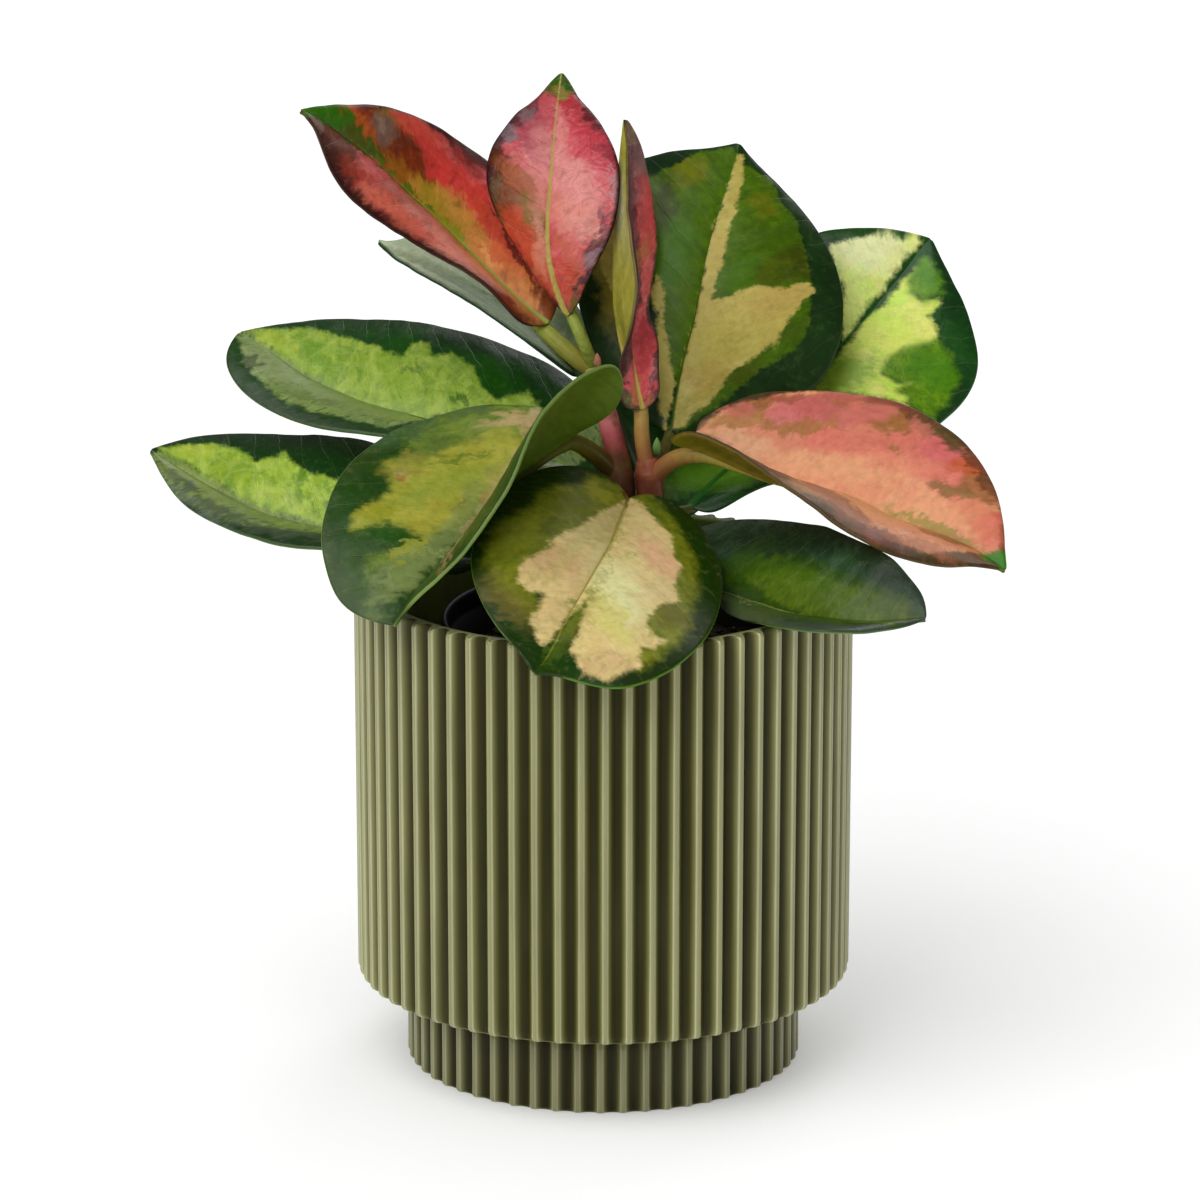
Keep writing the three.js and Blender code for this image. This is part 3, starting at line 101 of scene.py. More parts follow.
        mid=[(18.04, -4.41, 146.02), (18.73, -5.27, 145.6), (20.8, -7.8, 144.41), (24.38, -11.84, 142.83), (29.67, -17.18, 141.66), (36.32, -23.94, 141.24), (43.77, -32.04, 141.26), (51.61, -40.31, 141.36), (59.61, -47.19, 141.91), (67.29, -52.23, 142.51), (74.23, -55.38, 143.22), (80.04, -57.15, 144.04), (84.4, -58.19, 144.74), (87.11, -58.77, 145.18), (88.02, -58.96, 145.34)],
        left=[(18.04, -4.41, 146.02), (19.63, -0.76, 151.03), (25.47, 1, 153.37), (31.77, 1.64, 154.79), (38.16, 0.12, 156.2), (44.55, -3.75, 157.59), (50.88, -9.76, 159.04), (57.12, -16.8, 160.32), (63.16, -24.09, 160.82), (68.84, -30.53, 159.99), (74.47, -36.6, 158.97), (79.62, -42.29, 157.01), (83.91, -48.18, 154.04), (87.28, -53.67, 150.18), (88.02, -58.96, 145.34)],
        right=[(18.04, -4.41, 146.02), (17.42, -8.15, 141.29), (21.44, -13.31, 138.49), (26.85, -19.76, 138.25), (32.26, -28.97, 139.04), (37.19, -41.81, 140.13), (42.66, -54, 142.62), (48.12, -64.4, 144.61), (53.66, -70.77, 145.59), (59.28, -74.73, 146.21), (65.02, -74.47, 146.04), (70.82, -72.22, 145.72), (76.66, -68.73, 145.16), (82.48, -64.39, 144.78), (88.02, -58.96, 145.34)],
        stalk=[(13.08, 10.18, 152.8), (13.6, 2.82, 152.63), (15.26, -1.12, 149.99), (18.04, -4.41, 146.02)]),
}
# Colour patches of each blade, outlined on the flattened blade:
# millimetres across (left margin negative) and millimetres from the base.
PATCHES = {
    "leaf_pink_top": [[[(-5.1, 69.2), (4, 67.9), (10.6, 58.5), (17.8, 44.6), (20.1, 34.7), (18.9, 23.1), (12.7, 12.6), (5.3, 4.6), (1.4, 1.3), (0.9, 6.2), (0.7, 16.6), (-3.9, 25.6), (-8.8, 36), (-14.9, 43.7), (-15.7, 50.4), (-13.6, 57.7), (-9.8, 64.7)]],
        [[(-15.8, 44), (-10.2, 43.1), (-4.5, 37.2), (-0.6, 32.7), (0.3, 25.3), (0.7, 16.6), (-0.8, 6.6), (-4.7, 13.5), (-10, 22.8), (-14.3, 30.1), (-17.4, 36.8)], [(1.8, 20.7), (5.1, 18.7), (5.2, 13.4), (1.1, 6.8), (1.4, 1.3), (2.8, 1.5), (6.7, 4.4), (9.3, 11.3), (6.9, 20.1), (2.9, 23.6)]],
        [[(-5.5, 70.6), (-0, 75.7), (4.2, 69.7), (3.4, 67.2), (0.9, 68.7), (-2.3, 68.7)]]],
    "leaf_pink_left": [[[(-0.3, 91.2), (3.9, 83.5), (3.1, 73.7), (3.6, 62.5), (5.6, 52.3), (5, 40.9), (3.9, 28), (3.7, 16.1), (3.9, 4.8), (-2.5, 3), (-6.9, 13), (-11, 25), (-13.2, 35.7), (-15.1, 49.8), (-16.7, 64.6), (-15.3, 76.5), (-10.3, 83.7), (-6, 89.9)], [(15.4, 66.2), (21.1, 59.1), (24.1, 50), (24.3, 43.1), (18.7, 34.6), (14.8, 23.6), (10.3, 9.9), (4.5, 6.6), (4.9, 19.4), (6.8, 33.4), (9.7, 44.4), (10.3, 53.8), (11.7, 61.9)]],
        [[(7, 81.6), (16.3, 68.2), (14.2, 62.8), (9, 56.9), (7.7, 48.3), (4.1, 42.9), (1.2, 48.8), (2.5, 57.7), (1.7, 67), (2.1, 75.1)], [(7.3, 42.7), (7.8, 34.3), (5.7, 24.4), (4.6, 13), (4.9, 3.8), (2.4, 0.6), (-3.6, 4.2), (-7.5, 14.9), (-1.5, 27.8), (0.4, 37)]],
        [[(0, 94.8), (1, 91.4), (-0.2, 89.7), (-3.6, 93.3)]]],
    "leaf_pink_twisted": [[[(4.6, 73.2), (14.2, 67.2), (17.9, 51.1), (16.8, 35.8), (13.3, 28.2), (8.6, 16.6), (5.5, 5.6), (3, 1.2), (-0.7, 0.6), (-4, 4.6), (-4.2, 10.2), (-1.9, 17.6), (10.8, 30.6), (10.2, 49.8)]],
        [[(-4.8, 5.9), (-1.4, 7.6), (-0.1, 2.7), (3, 3.3), (4, 1.5), (1.3, 0.4), (-2.9, 1)]],
        [[(0, 83.6), (3.1, 81.6), (4.8, 77.8), (-1.7, 75.4)]]],
    "leaf_cream_large": [[[(-0, 0.3), (2.2, 0.4), (9.7, 10.2), (14.4, 21.6), (19.8, 27.4), (24.9, 32.9), (25.4, 35), (29.3, 42.6), (32.7, 49.3), (29.7, 51.1), (23.5, 46.7), (17.6, 45.5), (11.6, 42.8), (7.9, 40.2), (3.9, 38.2), (3.8, 41.4), (4.2, 45.3), (5.5, 49.4), (5.6, 54.3), (3.7, 60.3), (4.5, 65.7), (3.8, 76), (2.4, 84.4), (0.8, 84.7), (0.2, 73.9), (0, 58.7), (0.4, 48.4), (0.4, 33.8), (0, 23.9), (0, 13)], [(-1.6, 0.5), (-0.7, 13.6), (-4.3, 21.2), (-8.4, 31.1), (-9.8, 38.8), (-12.9, 43.6), (-14.2, 36.4), (-10.6, 30.5), (-8, 20.4), (-5, 7.5)], [(-29.2, 44), (-30, 52.4), (-26.2, 55.2), (-23.3, 44.6), (-22.8, 32.2), (-26.4, 39.1)]],
        [[(-21.4, 68), (-16.2, 74.4), (-10.2, 81.3), (-1.8, 84.9), (0.1, 83.7), (0, 58.7), (0, 48.2), (0.3, 34.6), (-0.3, 22), (0, 13), (-3.8, 21.3), (-8.9, 30.7), (-9.8, 40.5), (-13.3, 44.5), (-16.5, 51.1)], [(3.4, 80.3), (10.9, 79.9), (15.6, 73.8), (21.7, 69.4), (24.9, 63.2), (28.1, 56.5), (30.9, 49.6), (30.8, 40.6), (30.5, 33.9), (23.3, 27), (18.3, 21.2), (15.1, 13.7), (8.6, 7.5), (2.2, 1.1), (9.5, 11.6), (14.1, 22.8), (25, 34.8), (30.1, 44.7), (23.4, 47.4), (7.4, 40.5), (4.2, 38.8), (5.1, 50.9), (4.7, 59), (4.2, 74.2)]],
        [[(13.9, 51.5), (21, 59.3), (25.3, 61.5), (28.1, 56.5), (27.1, 50.3), (20.5, 46.3), (15.6, 46.8)]]],
    "leaf_pale_back": [[[(-21.3, 91), (-18.5, 95.3), (-13, 101.7), (-6.5, 105), (-1.3, 108.1), (-1.8, 101.4), (-2, 90.5), (-1.6, 80.3), (-0.2, 70.8), (-5, 76), (-10.3, 83.1), (-16.3, 87)]],
        [[(0.5, 78.1), (2, 87.9), (1.7, 95.7), (2.7, 100.1), (4.7, 99.6), (5.8, 94.7), (9.6, 93.9), (12.3, 97.3), (13.9, 96.6), (13.4, 91.5), (17.7, 90.8), (19.6, 87), (17.9, 83.4), (14.5, 80.2), (14.5, 74.9), (14.9, 70), (20.3, 70.5), (24.6, 79.3), (22.1, 68.5), (25.4, 69.5), (25.5, 65.4), (17.2, 61.3), (1.9, 53.8), (1.9, 64.4), (1.6, 72.3)]],
        [[(14.9, 70), (13.9, 77.7), (16.2, 82.4), (21.1, 86.5), (25, 85.9), (31.1, 82.6), (32.9, 76.8), (32.7, 69), (26, 67.3), (25.1, 70.4), (21.7, 68), (24.6, 79.5), (19.9, 71.2)], [(5.4, 94.3), (3, 98.4), (3.5, 104.4), (8.7, 102.2), (11.9, 98.8), (10.1, 94.8)]]],
    "leaf_folded_front": [[[(25.4, 68.5), (27, 59.6), (23.4, 49.1), (26, 46), (30.3, 40.6), (22.6, 35.2), (19.6, 24.8), (15.3, 20.5), (6.1, 13.7), (-23.1, 32.7), (-9.3, 32.6), (3.7, 32.6), (3.9, 39.5), (4.4, 46.9), (6.7, 52.8), (8.6, 62.4), (11.2, 68.1), (10.1, 60), (14.1, 58.6), (18.9, 60.8), (22.3, 63)]],
        [[(24.2, 33.2), (36.3, 28.5), (31.1, 20.4), (25.1, 15.2), (11.4, 3.2), (-14.7, 18.4), (-23.1, 32.7), (-6.1, 28.2), (5.4, 47.6), (7.2, 63.9), (13.2, 77.8), (16.3, 71.4), (11.4, 67.5), (10.3, 58.4), (25, 68.7), (24.1, 48.8), (31.3, 40.2)]],
        [[(13.5, 12.5), (11.1, 3.4), (-14.7, 18.4), (10.7, 10.6)], [(5.3, 16.3), (-13.7, 26.4), (-6.1, 28.2), (-13.1, 42.7), (-10.3, 48), (-0.6, 51.5), (-8.6, 63.5), (2.7, 48.4), (2.9, 38.2), (3.6, 30)], [(28.9, 42.4), (26.1, 39), (22.9, 41.4), (25.4, 44.8)]]],
    "leaf_round_front": [[[(0, 0), (4.4, 11.5), (7.6, 20.7), (10.7, 29.9), (13.3, 36.9), (14.6, 42.1), (12.3, 41.6), (14.9, 46), (17.2, 50.9), (17.6, 56.5), (16.8, 60.7), (12.7, 61.2), (8.6, 60.8), (8.7, 64.8), (7.2, 66.6), (9, 69.8), (8.5, 72.1), (5.7, 74.3), (3.3, 76.7), (0.7, 73.3), (0.7, 67), (-1.2, 60.7), (-2.8, 56.9), (-4.6, 66.5), (-5.8, 75.6), (-10.3, 81.1), (-13.4, 83.2), (-20, 82.6), (-23.4, 79.4), (-26.3, 77), (-23.9, 73.6), (-23.1, 70.4), (-26.3, 69.1), (-28.8, 64.7), (-24.3, 64.6), (-21.8, 61.9), (-20.9, 57.1), (-20.9, 53), (-21.8, 49.3), (-23.2, 47.6), (-25.5, 44.3), (-22.5, 38.6), (-21.3, 31), (-21, 26.5), (-18.1, 24.8), (-16.3, 21.4), (-15.5, 16), (-13.3, 14.2), (-10.3, 11), (-8, 7), (-5.3, 4), (-2.9, 1.5)]],
        [[(0.8, 0.1), (7.7, 3.1), (10.4, 4.4), (13.3, 12.5), (18.7, 17.3), (22, 23.7), (21.1, 30.4), (24.6, 37.2), (27.1, 43.3), (27.2, 50.7), (26, 56), (21.8, 60), (18.6, 63.7), (13.6, 65.5), (9.2, 67.6), (11.7, 64.6), (16.8, 60.7), (17.2, 50.9), (12.2, 37.8), (5.3, 18.1)], [(-3.4, 0.5), (-8.4, 5), (-12.9, 9.4), (-18, 17.1), (-22.2, 24.7), (-25.4, 33.2), (-26.6, 43.1), (-29.5, 53.6), (-29.8, 63.2), (-27.6, 70.6), (-25.2, 75.9), (-22.9, 66.2), (-20.1, 54.7), (-24.3, 44.3), (-18.1, 24.8), (-9, 8.9)]],
        [[(-13.1, 74.4), (-24.6, 74.4), (-22.7, 81.3), (-15.4, 82.9), (-7.3, 77.3)], [(19, 52.6), (13.6, 46.7), (7.9, 50.9), (8.7, 59.2), (14.5, 60.2)]]],
    "leaf_left_upper": [[[(3.2, 109.3), (7.6, 103.9), (15, 96.8), (17.9, 84.8), (18.7, 72.5), (17.8, 63), (23.5, 63.6), (25.8, 58.3), (20.8, 55.2), (24, 49.6), (20.7, 42.1), (14.6, 37.4), (12.3, 30.9), (17.7, 25.2), (15.1, 20.8), (10.3, 16.3), (6, 21.2), (2.7, 43.6), (-0.9, 49.8), (0.2, 61.4), (-1.6, 69.6), (1.2, 80.8), (1.1, 93.9), (0.9, 102.8)]],
        [[(0.5, 110.4), (-7.5, 101.6), (-10.4, 93.3), (-12.8, 83.3), (-14.6, 75.7), (-16.1, 66.4), (-19, 55.5), (-7.1, 48.1), (0.2, 61.4), (1.4, 76.1), (0.8, 89.3), (1, 100.8), (2.4, 108.6)], [(6.4, 20.5), (21.7, 4.8), (10.9, 0.7), (3.6, 3.7), (-10.1, 12.4)]],
        []],
    "leaf_left_lower": [[[(2, 100.7), (8, 95.5), (14.3, 89.3), (16.1, 82.9), (14.2, 75.5), (18.6, 70.3), (22.5, 69.4), (18.4, 63), (16.5, 54.6), (15.9, 46.8), (16.2, 32.3), (19.3, 15), (13, 10.6), (4.5, 28.7), (1, 45.7), (1.4, 54.6), (1.6, 66.4), (2, 76.7), (2.3, 87.9), (2.4, 96.6)]],
        [[(-0.5, 99.3), (-6.8, 90.6), (-9.3, 82.6), (-11.6, 73.3), (-13.1, 64.8), (-13.1, 54.5), (-10.5, 42.9), (0.7, 27.7), (4, 28.6), (1, 45.7), (1.4, 59.4), (1.2, 74.2), (1.9, 90.8), (2, 98.6)]],
        []],
    "leaf_grey_back": [[],
        [],
        []],
    "leaf_pink_right": [[[(-3.8, -1.9), (-10.4, 0.8), (-16, 5.3), (-23.7, 12.1), (-29.5, 22.6), (-32.1, 35), (-31.8, 41.4), (-29.2, 46.5), (-30, 59.3), (-28.2, 65.3), (-22.7, 70.9), (-18.9, 75.9), (-13.6, 81.7), (-3.2, 89.1), (4.2, 87), (17.5, 79.6), (24, 65.2), (21, 51.3), (20.1, 38.1), (9.3, 28.2), (1, 17), (-3.7, 6)]],
        [[(-9.3, 2.7), (-13.7, 13.7), (-20.4, 13.8), (-19.9, 27), (-20.4, 36), (-28.8, 37.8), (-25.2, 42.1), (-25.8, 46.6), (-31.8, 54.3), (-27.2, 59.6), (-27.4, 65.7), (-26.9, 68.9), (-31.2, 61.9), (-33.3, 43.2), (-31.8, 31), (-22.6, 7.8), (-15, 2.9)], [(-10.7, 65.2), (-14.6, 69.3), (-24.2, 70.1), (-23.6, 72.4), (-16.9, 78.5), (-9.7, 83.2), (-11.7, 78.2), (-10.8, 72)], [(0.9, 55.7), (-2, 60.6), (-2.3, 69.3), (-2.5, 80.4), (-1.6, 89), (7.4, 81.9), (9.8, 70.7)]],
        [[(-18.1, 13.1), (-24.4, 19.3), (-29.5, 28.4), (-32.1, 35.1), (-28.5, 41.1), (-22, 42.1), (-18.9, 39.1), (-21, 31.4), (-16.8, 22.8)], [(-20.9, 44.1), (-28.9, 52.4), (-28, 63.7), (-22.7, 70.9), (-14.1, 73.7), (-8.8, 73.2), (-11.6, 64.8), (-14.4, 55.8), (-15.2, 46.6)], [(-6.5, 81.3), (-12.3, 82.8), (-4.6, 88.9), (-1.5, 86.4)]]],
    "leaf_right_lower": [[[(-6.3, 27.9), (-11.2, 40.2), (-11.6, 56.6), (-9.7, 64.7), (-8.9, 75.5), (-5.1, 83.6), (-2.1, 87.8), (0.2, 90.5), (9.2, 84.2), (11.7, 76.7), (1.4, 62.8), (-1.3, 48.9), (-3.3, 33.9)]],
        [[(-7.6, 17), (-11.9, 24.5), (-16.3, 42.1), (-14.7, 61.1), (-11.1, 76.9), (-5.6, 86.5), (-0.7, 90.5), (9, 85.3), (17.4, 73.5), (2.5, 50.4), (-0.9, 29.7), (-1.4, 22.7)]],
        []],
}
# Soft tints over a blade: centre across and along (mm), half length, half width (mm),
# turn (degrees), colour, amount, softness, layer.
TINTS = {
    "leaf_pink_left": [(-6.3, 83.8, 10.1, 6.3, -87, "#512B12", 0.85, 0.35, "all"),
        (-13.6, 76.0, 13.4, 3.6, -112, "#48231F", 0.85, 0.35, "all"),
        (-11.4, 73.2, 7.3, 3.7, -101, "#AE3E2D", 0.7, 0.4, "all"),
        (-16.1, 44.1, 22.7, 2.0, -85, "#62271D", 0.55, 0.4, "all"),
        (-12.4, 61.2, 11.0, 3.7, -73, "#EA735D", 0.8, 0.35, "all"),
        (-6.1, 60.9, 8.6, 2.4, -59, "#B65240", 0.6, 0.4, "all"),
        (-9.1, 47.2, 14.2, 6.9, -80, "#DD6750", 0.75, 0.4, "all"),
        (-5.3, 52.0, 8.6, 3.6, -82, "#BF5B45", 0.7, 0.4, "all"),
        (-8.3, 29.0, 15.3, 6.1, -85, "#E27B5E", 0.7, 0.4, "all"),
        (-1.3, 34.5, 10.0, 3.2, -76, "#D07B50", 0.7, 0.4, "all"),
        (-1.2, 15.8, 15.7, 6.1, -81, "#D78E4A", 0.8, 0.4, "all"),
        (-9.6, 12.3, 9.2, 1.8, -63, "#85361D", 0.75, 0.35, "all"),
        (5.9, 66.0, 10.6, 5.2, -108, "#B6421D", 0.85, 0.35, "all"),
        (5.2, 78.8, 5.3, 3.4, -106, "#BF4C1F", 0.7, 0.35, "all"),
        (9.2, 75.4, 5.0, 1.7, -71, "#852B18", 0.7, 0.4, "all"),
        (16.1, 62.1, 7.9, 3.7, -68, "#DD4C3D", 0.85, 0.35, "all"),
        (8.6, 60.0, 11.6, 5.4, -79, "#602112", 0.85, 0.35, "all"),
        (7.1, 57.0, 6.7, 3.3, -91, "#853210", 0.7, 0.4, "all"),
        (13.8, 53.7, 8.0, 4.2, -88, "#D9423A", 0.85, 0.35, "all"),
        (12.4, 45.0, 11.7, 6.1, -97, "#DD3E38", 0.9, 0.35, "all"),
        (25.5, 49.9, 7.8, 3.1, -87, "#4F1913", 0.9, 0.35, "all"),
        (21.5, 47.0, 5.8, 2.9, -88, "#962B27", 0.7, 0.4, "all"),
        (1.8, 59.5, 10.2, 3.7, -84, "#965D13", 0.8, 0.35, "all"),
        (2.6, 51.1, 6.1, 3.3, -83, "#BF8830", 0.8, 0.4, "all"),
        (3.7, 42.4, 10.2, 3.9, -92, "#A1881F", 0.85, 0.4, "all"),
        (6.9, 42.7, 7.3, 3.2, -97, "#D28E40", 0.75, 0.4, "all"),
        (3.7, 30.0, 7.3, 3.4, -102, "#D98A46", 0.75, 0.4, "all"),
        (10.2, 31.1, 9.3, 3.6, -107, "#CE4C33", 0.85, 0.35, "all"),
        (5.0, 20.1, 9.8, 4.1, -87, "#DD6D40", 0.8, 0.4, "all"),
        (2.6, 26.2, 5.1, 1.2, -107, "#EEA863", 0.7, 0.4, "all"),
        (3.1, 11.4, 9.3, 3.7, -88, "#D08345", 0.85, 0.45, "all"),
        (9.9, 21.1, 15.4, 1.2, -109, "#622117", 0.8, 0.35, "all"),
        (8.9, 70.6, 4.5, 4.1, -100, "#785D4E", 0.9, 0.35, "all"),
        (9.4, 72.3, 2.4, 1.7, -94, "#967D6A", 0.6, 0.4, "all"),
        (1.0, 76.0, 11.4, 3.4, -94, "#33560D", 0.92, 0.3, "all"),
        (0.2, 55.0, 12.3, 1.3, -88, "#556D10", 0.92, 0.3, "all"),
        (0.9, 38.5, 6.9, 1.7, -88, "#858E17", 0.85, 0.35, "all"),
        (1.9, 88.8, 8.5, 4.0, -73, "#346D0A", 0.97, 0.25, "all"),
        (4.2, 4.0, 5.4, 3.3, -108, "#732D17", 0.8, 0.4, "all")],
    "leaf_pink_top": [(-2.2, 62.7, 8.5, 3.9, -84, "#C34A56", 0.8, 0.35, "all"),
        (-7.1, 56.8, 13.2, 4.0, -71, "#B04A59", 0.8, 0.35, "all"),
        (-2.9, 48.6, 8.9, 2.5, -78, "#D77E7C", 0.7, 0.4, "all"),
        (-3.8, 36.9, 7.6, 3.3, -56, "#CF796C", 0.75, 0.4, "all"),
        (-16.6, 47.6, 7.6, 3.3, -73, "#582610", 0.9, 0.35, "all"),
        (-8.8, 40.4, 8.6, 3.3, -48, "#A04F1E", 0.8, 0.35, "all"),
        (-14.6, 33.8, 7.2, 3.4, -63, "#4E360E", 0.9, 0.35, "all"),
        (-9.9, 32.8, 6.7, 3.0, -56, "#873C16", 0.7, 0.4, "all"),
        (-4.5, 28.8, 6.8, 3.3, -55, "#825D13", 0.85, 0.35, "all"),
        (-8.3, 25.0, 8.5, 3.3, -53, "#C0462B", 0.85, 0.35, "all"),
        (-2.2, 22.1, 9.6, 1.9, -82, "#D7856F", 0.7, 0.4, "all"),
        (-4.9, 14.6, 10.3, 3.8, -57, "#C74A36", 0.85, 0.35, "all"),
        (-9.3, 18.6, 12.6, 1.0, -62, "#531915", 0.8, 0.35, "all"),
        (-3.1, 16.0, 4.9, 1.5, -76, "#DB8062", 0.6, 0.4, "all"),
        (7.2, 61.6, 9.6, 4.2, -57, "#BE2F3B", 0.85, 0.35, "all"),
        (10.9, 58.8, 11.4, 1.9, -59, "#58141D", 0.85, 0.35, "all"),
        (10.7, 49.5, 12.6, 4.8, -42, "#D34253", 0.85, 0.35, "all"),
        # painted sheen: the pale pink tints #E68C88, #E7938F, #E3897A and #DD968B on this half are painted sheen, and
        # the lilac and blue-grey tints #C09195, #987E88, #58363C and #382A30 near its margin and base are painted
        # reflection
        (2.5, 52.4, 9.9, 1.9, -80, "#E68C88", 0.7, 0.4, "all"),
        (16.0, 36.0, 8.5, 4.0, -56, "#DB5D6A", 0.75, 0.4, "all"),
        (8.1, 37.6, 11.4, 4.5, -49, "#E7938F", 0.75, 0.4, "all"),
        (7.7, 27.8, 9.8, 4.7, -40, "#E3897A", 0.7, 0.4, "all"),
        (13.3, 23.6, 6.5, 3.2, -42, "#DD968B", 0.6, 0.4, "all"),
        (19.0, 35.6, 5.7, 1.9, -74, "#C09195", 0.7, 0.4, "all"),
        (15.9, 45.8, 5.0, 2.2, -49, "#872F36", 0.6, 0.4, "all"),
        (7.3, 16.5, 7.7, 3.9, -47, "#D36559", 0.75, 0.4, "all"),
        (3.9, 8.4, 8.1, 4.1, -78, "#C74A39", 0.85, 0.35, "all"),
        (13.9, 16.6, 6.8, 2.8, 52, "#58363C", 0.8, 0.35, "all"),
        (11.8, 14.2, 3.3, 1.8, 31, "#987E88", 0.75, 0.4, "all"),
        (17.1, 24.8, 5.7, 1.6, -85, "#773C49", 0.7, 0.4, "all"),
        (8.3, 7.6, 5.2, 1.5, 32, "#382A30", 0.8, 0.35, "all"),
        (-12.1, 63.0, 5.6, 4.2, 35, "#582F36", 0.85, 0.35, "all"),
        (-13.2, 56.1, 4.1, 2.1, -61, "#87787F", 0.85, 0.35, "all"),
        (-9.5, 62.0, 2.8, 1.8, -53, "#8B6F75", 0.7, 0.4, "all"),
        (-16.1, 55.5, 3.9, 2.9, 45, "#675259", 0.4, 0.35, "all"),
        (0.3, 72.3, 5.7, 4.3, -69, "#335D09", 0.97, 0.22, "all"),
        (1.2, 68.7, 3.6, 1.9, -29, "#A4853E", 0.6, 0.4, "all"),
        (3.6, 2.3, 3.7, 1.5, 30, "#585813", 0.85, 0.35, "all")],
    "leaf_pink_twisted": [(5.5, 75.2, 12.4, 6.7, -47, "#845C5A", 0.85, 0.45, "all"),
        (13.0, 57.8, 13.2, 5.2, -84, "#E34D53", 0.85, 0.4, "all"),
        (6.7, 67.3, 10.9, 2.0, -71, "#9B4D53", 0.6, 0.5, "all"),
        (1.3, 37.6, 16.5, 3.5, -137, "#C38232", 0.65, 0.5, "all"),
        (4.9, 13.7, 12.8, 2.4, -110, "#D4484E", 0.8, 0.5, "all"),
        (-3.9, 57.8, 18.4, 1.9, -101, "#8A8724", 0.6, 0.5, "under"),
        (-2.6, 31.4, 12.0, 3.0, -104, "#7E771B", 0.6, 0.5, "under"),
        (-1.1, 47.8, 12.7, 1.9, -91, "#B4AC51", 0.6, 0.6, "under"),
        (-5.5, 11.7, 8.4, 1.3, -73, "#5F2726", 0.85, 0.5, "all"),
        (8.1, 12.5, 10.2, 1.0, -115, "#5F2726", 0.8, 0.5, "all"),
        (0.3, 9.1, 7.2, 0.5, -87, "#AF7540", 0.7, 0.5, "all"),
        (-4.5, 4.7, 4.2, 1.6, -78, "#5F6132", 0.85, 0.5, "all"),
        (-1.6, 0.8, 2.9, 1.2, -17, "#4B401F", 0.85, 0.5, "all")],
    "leaf_cream_large": [(-25.0, 36.9, 13.3, 3.6, -71, "#9C8F35", 0.85, 0.6, "base"),
        (-18.4, 77.7, 8.4, 5.4, 27, "#102B0D", 0.8, 0.5, "base"),
        (37.9, 51.7, 14.0, 3.5, -79, "#142B0D", 0.6, 0.5, "base"),
        (34.1, 30.3, 6.5, 4.2, 51, "#1C3A11", 0.7, 0.5, "base"),
        (-15.8, 63.1, 8.3, 3.7, -81, "#3A3602", 0.65, 0.6, "b"),
        (-9.3, 49.1, 9.9, 5.7, -85, "#4A7B01", 0.75, 0.5, "b"),
        (-3.5, 34.4, 11.4, 3.6, -83, "#537302", 0.6, 0.5, "b"),
        (-10.5, 74.8, 5.9, 4.7, -102, "#827E0C", 0.6, 0.5, "b"),
        (11.7, 71.9, 4.5, 3.7, -17, "#787509", 0.6, 0.5, "b"),
        (26.9, 57.5, 6.9, 3.0, -61, "#3E2D01", 0.5, 0.6, "b"),
        (10.3, 48.3, 7.1, 4.7, 38, "#487302", 0.6, 0.5, "b"),
        (16.2, 61.0, 7.8, 5.1, -12, "#405A01", 0.6, 0.5, "b"),
        (16.9, 21.0, 6.3, 3.2, 42, "#4C5803", 0.75, 0.45, "b"),
        (27.1, 33.9, 8.0, 2.4, 38, "#445A04", 0.7, 0.45, "b"),
        (5.5, 27.4, 9.3, 6.4, 55, "#BAAA46", 0.6, 0.6, "a"),
        (23.2, 43.8, 10.9, 4.1, 28, "#C8A85D", 0.6, 0.6, "a"),
        (-7.2, 26.4, 10.5, 1.8, -66, "#CABA5B", 0.5, 0.6, "a"),
        (8.2, 17.7, 7.0, 3.0, 23, "#BA9A46", 0.6, 0.6, "a"),
        (3.5, 54.4, 5.5, 2.1, -57, "#C6AE59", 0.5, 0.6, "a"),
        (1.4, 7.0, 4.9, 1.8, 84, "#AAA43A", 0.6, 0.6, "a")],
    "leaf_pale_back": [(-13.6, 96.9, 11.9, 7.3, 26, "#F6F6C0", 0.75, 0.5, "a"),
        (-5.2, 82.6, 9.4, 5.2, -11, "#E7F689", 0.65, 0.5, "a"),
        (-3.0, 100.7, 6.9, 2.8, 83, "#F6F69E", 0.6, 0.5, "a"),
        (-21.3, 96.4, 6.3, 1.9, 47, "#1E4E10", 0.8, 0.5, "all"),
        (7.2, 79.4, 9.3, 5.9, 19, "#E6F65D", 0.6, 0.5, "b"),
        (12.8, 90.5, 7.0, 3.1, -10, "#F6F682", 0.5, 0.6, "b"),
        (5.7, 62.0, 10.4, 5.6, 58, "#85B629", 0.75, 0.6, "all"),
        (25.2, 80.8, 7.2, 5.0, 16, "#478705", 0.7, 0.5, "c"),
        (5.9, 101.4, 6.2, 2.9, -25, "#4D8D0D", 0.6, 0.5, "c"),
        (13.2, 102.8, 14.2, 2.9, -30, "#103511", 0.7, 0.5, "base"),
        (3.2, 19.5, 12.6, 7.0, 56, "#71AD19", 0.9, 0.5, "all"),
        (-6.6, 7.8, 10.3, 4.6, 58, "#609416", 0.85, 0.5, "all"),
        (-10.7, 16.9, 13.2, 4.7, 58, "#598516", 0.8, 0.6, "all")],
    "leaf_pink_right": [(-12.9, 27.2, 20.3, 5.6, 104, "#E58869", 0.85, 0.4, "all"),
        (-14.1, 39.0, 12.2, 4.4, 100, "#EA7765", 0.7, 0.4, "all"),
        (-21.8, 52.3, 11.2, 6.2, 116, "#E57F6B", 0.75, 0.4, "all"),
        (-22.4, 62.7, 6.4, 4.4, 97, "#E16D6E", 0.8, 0.4, "all"),
        (-6.1, 11.2, 9.3, 2.8, 95, "#F4B589", 0.8, 0.45, "all"),
        (-6.3, 33.4, 15.9, 3.6, 98, "#F6AF7E", 0.8, 0.5, "all"),
        (-14.1, 54.0, 10.8, 2.8, 103, "#F29472", 0.7, 0.45, "all"),
        (-11.4, 7.7, 10.2, 2.3, 118, "#B87F40", 0.8, 0.35, "all"),
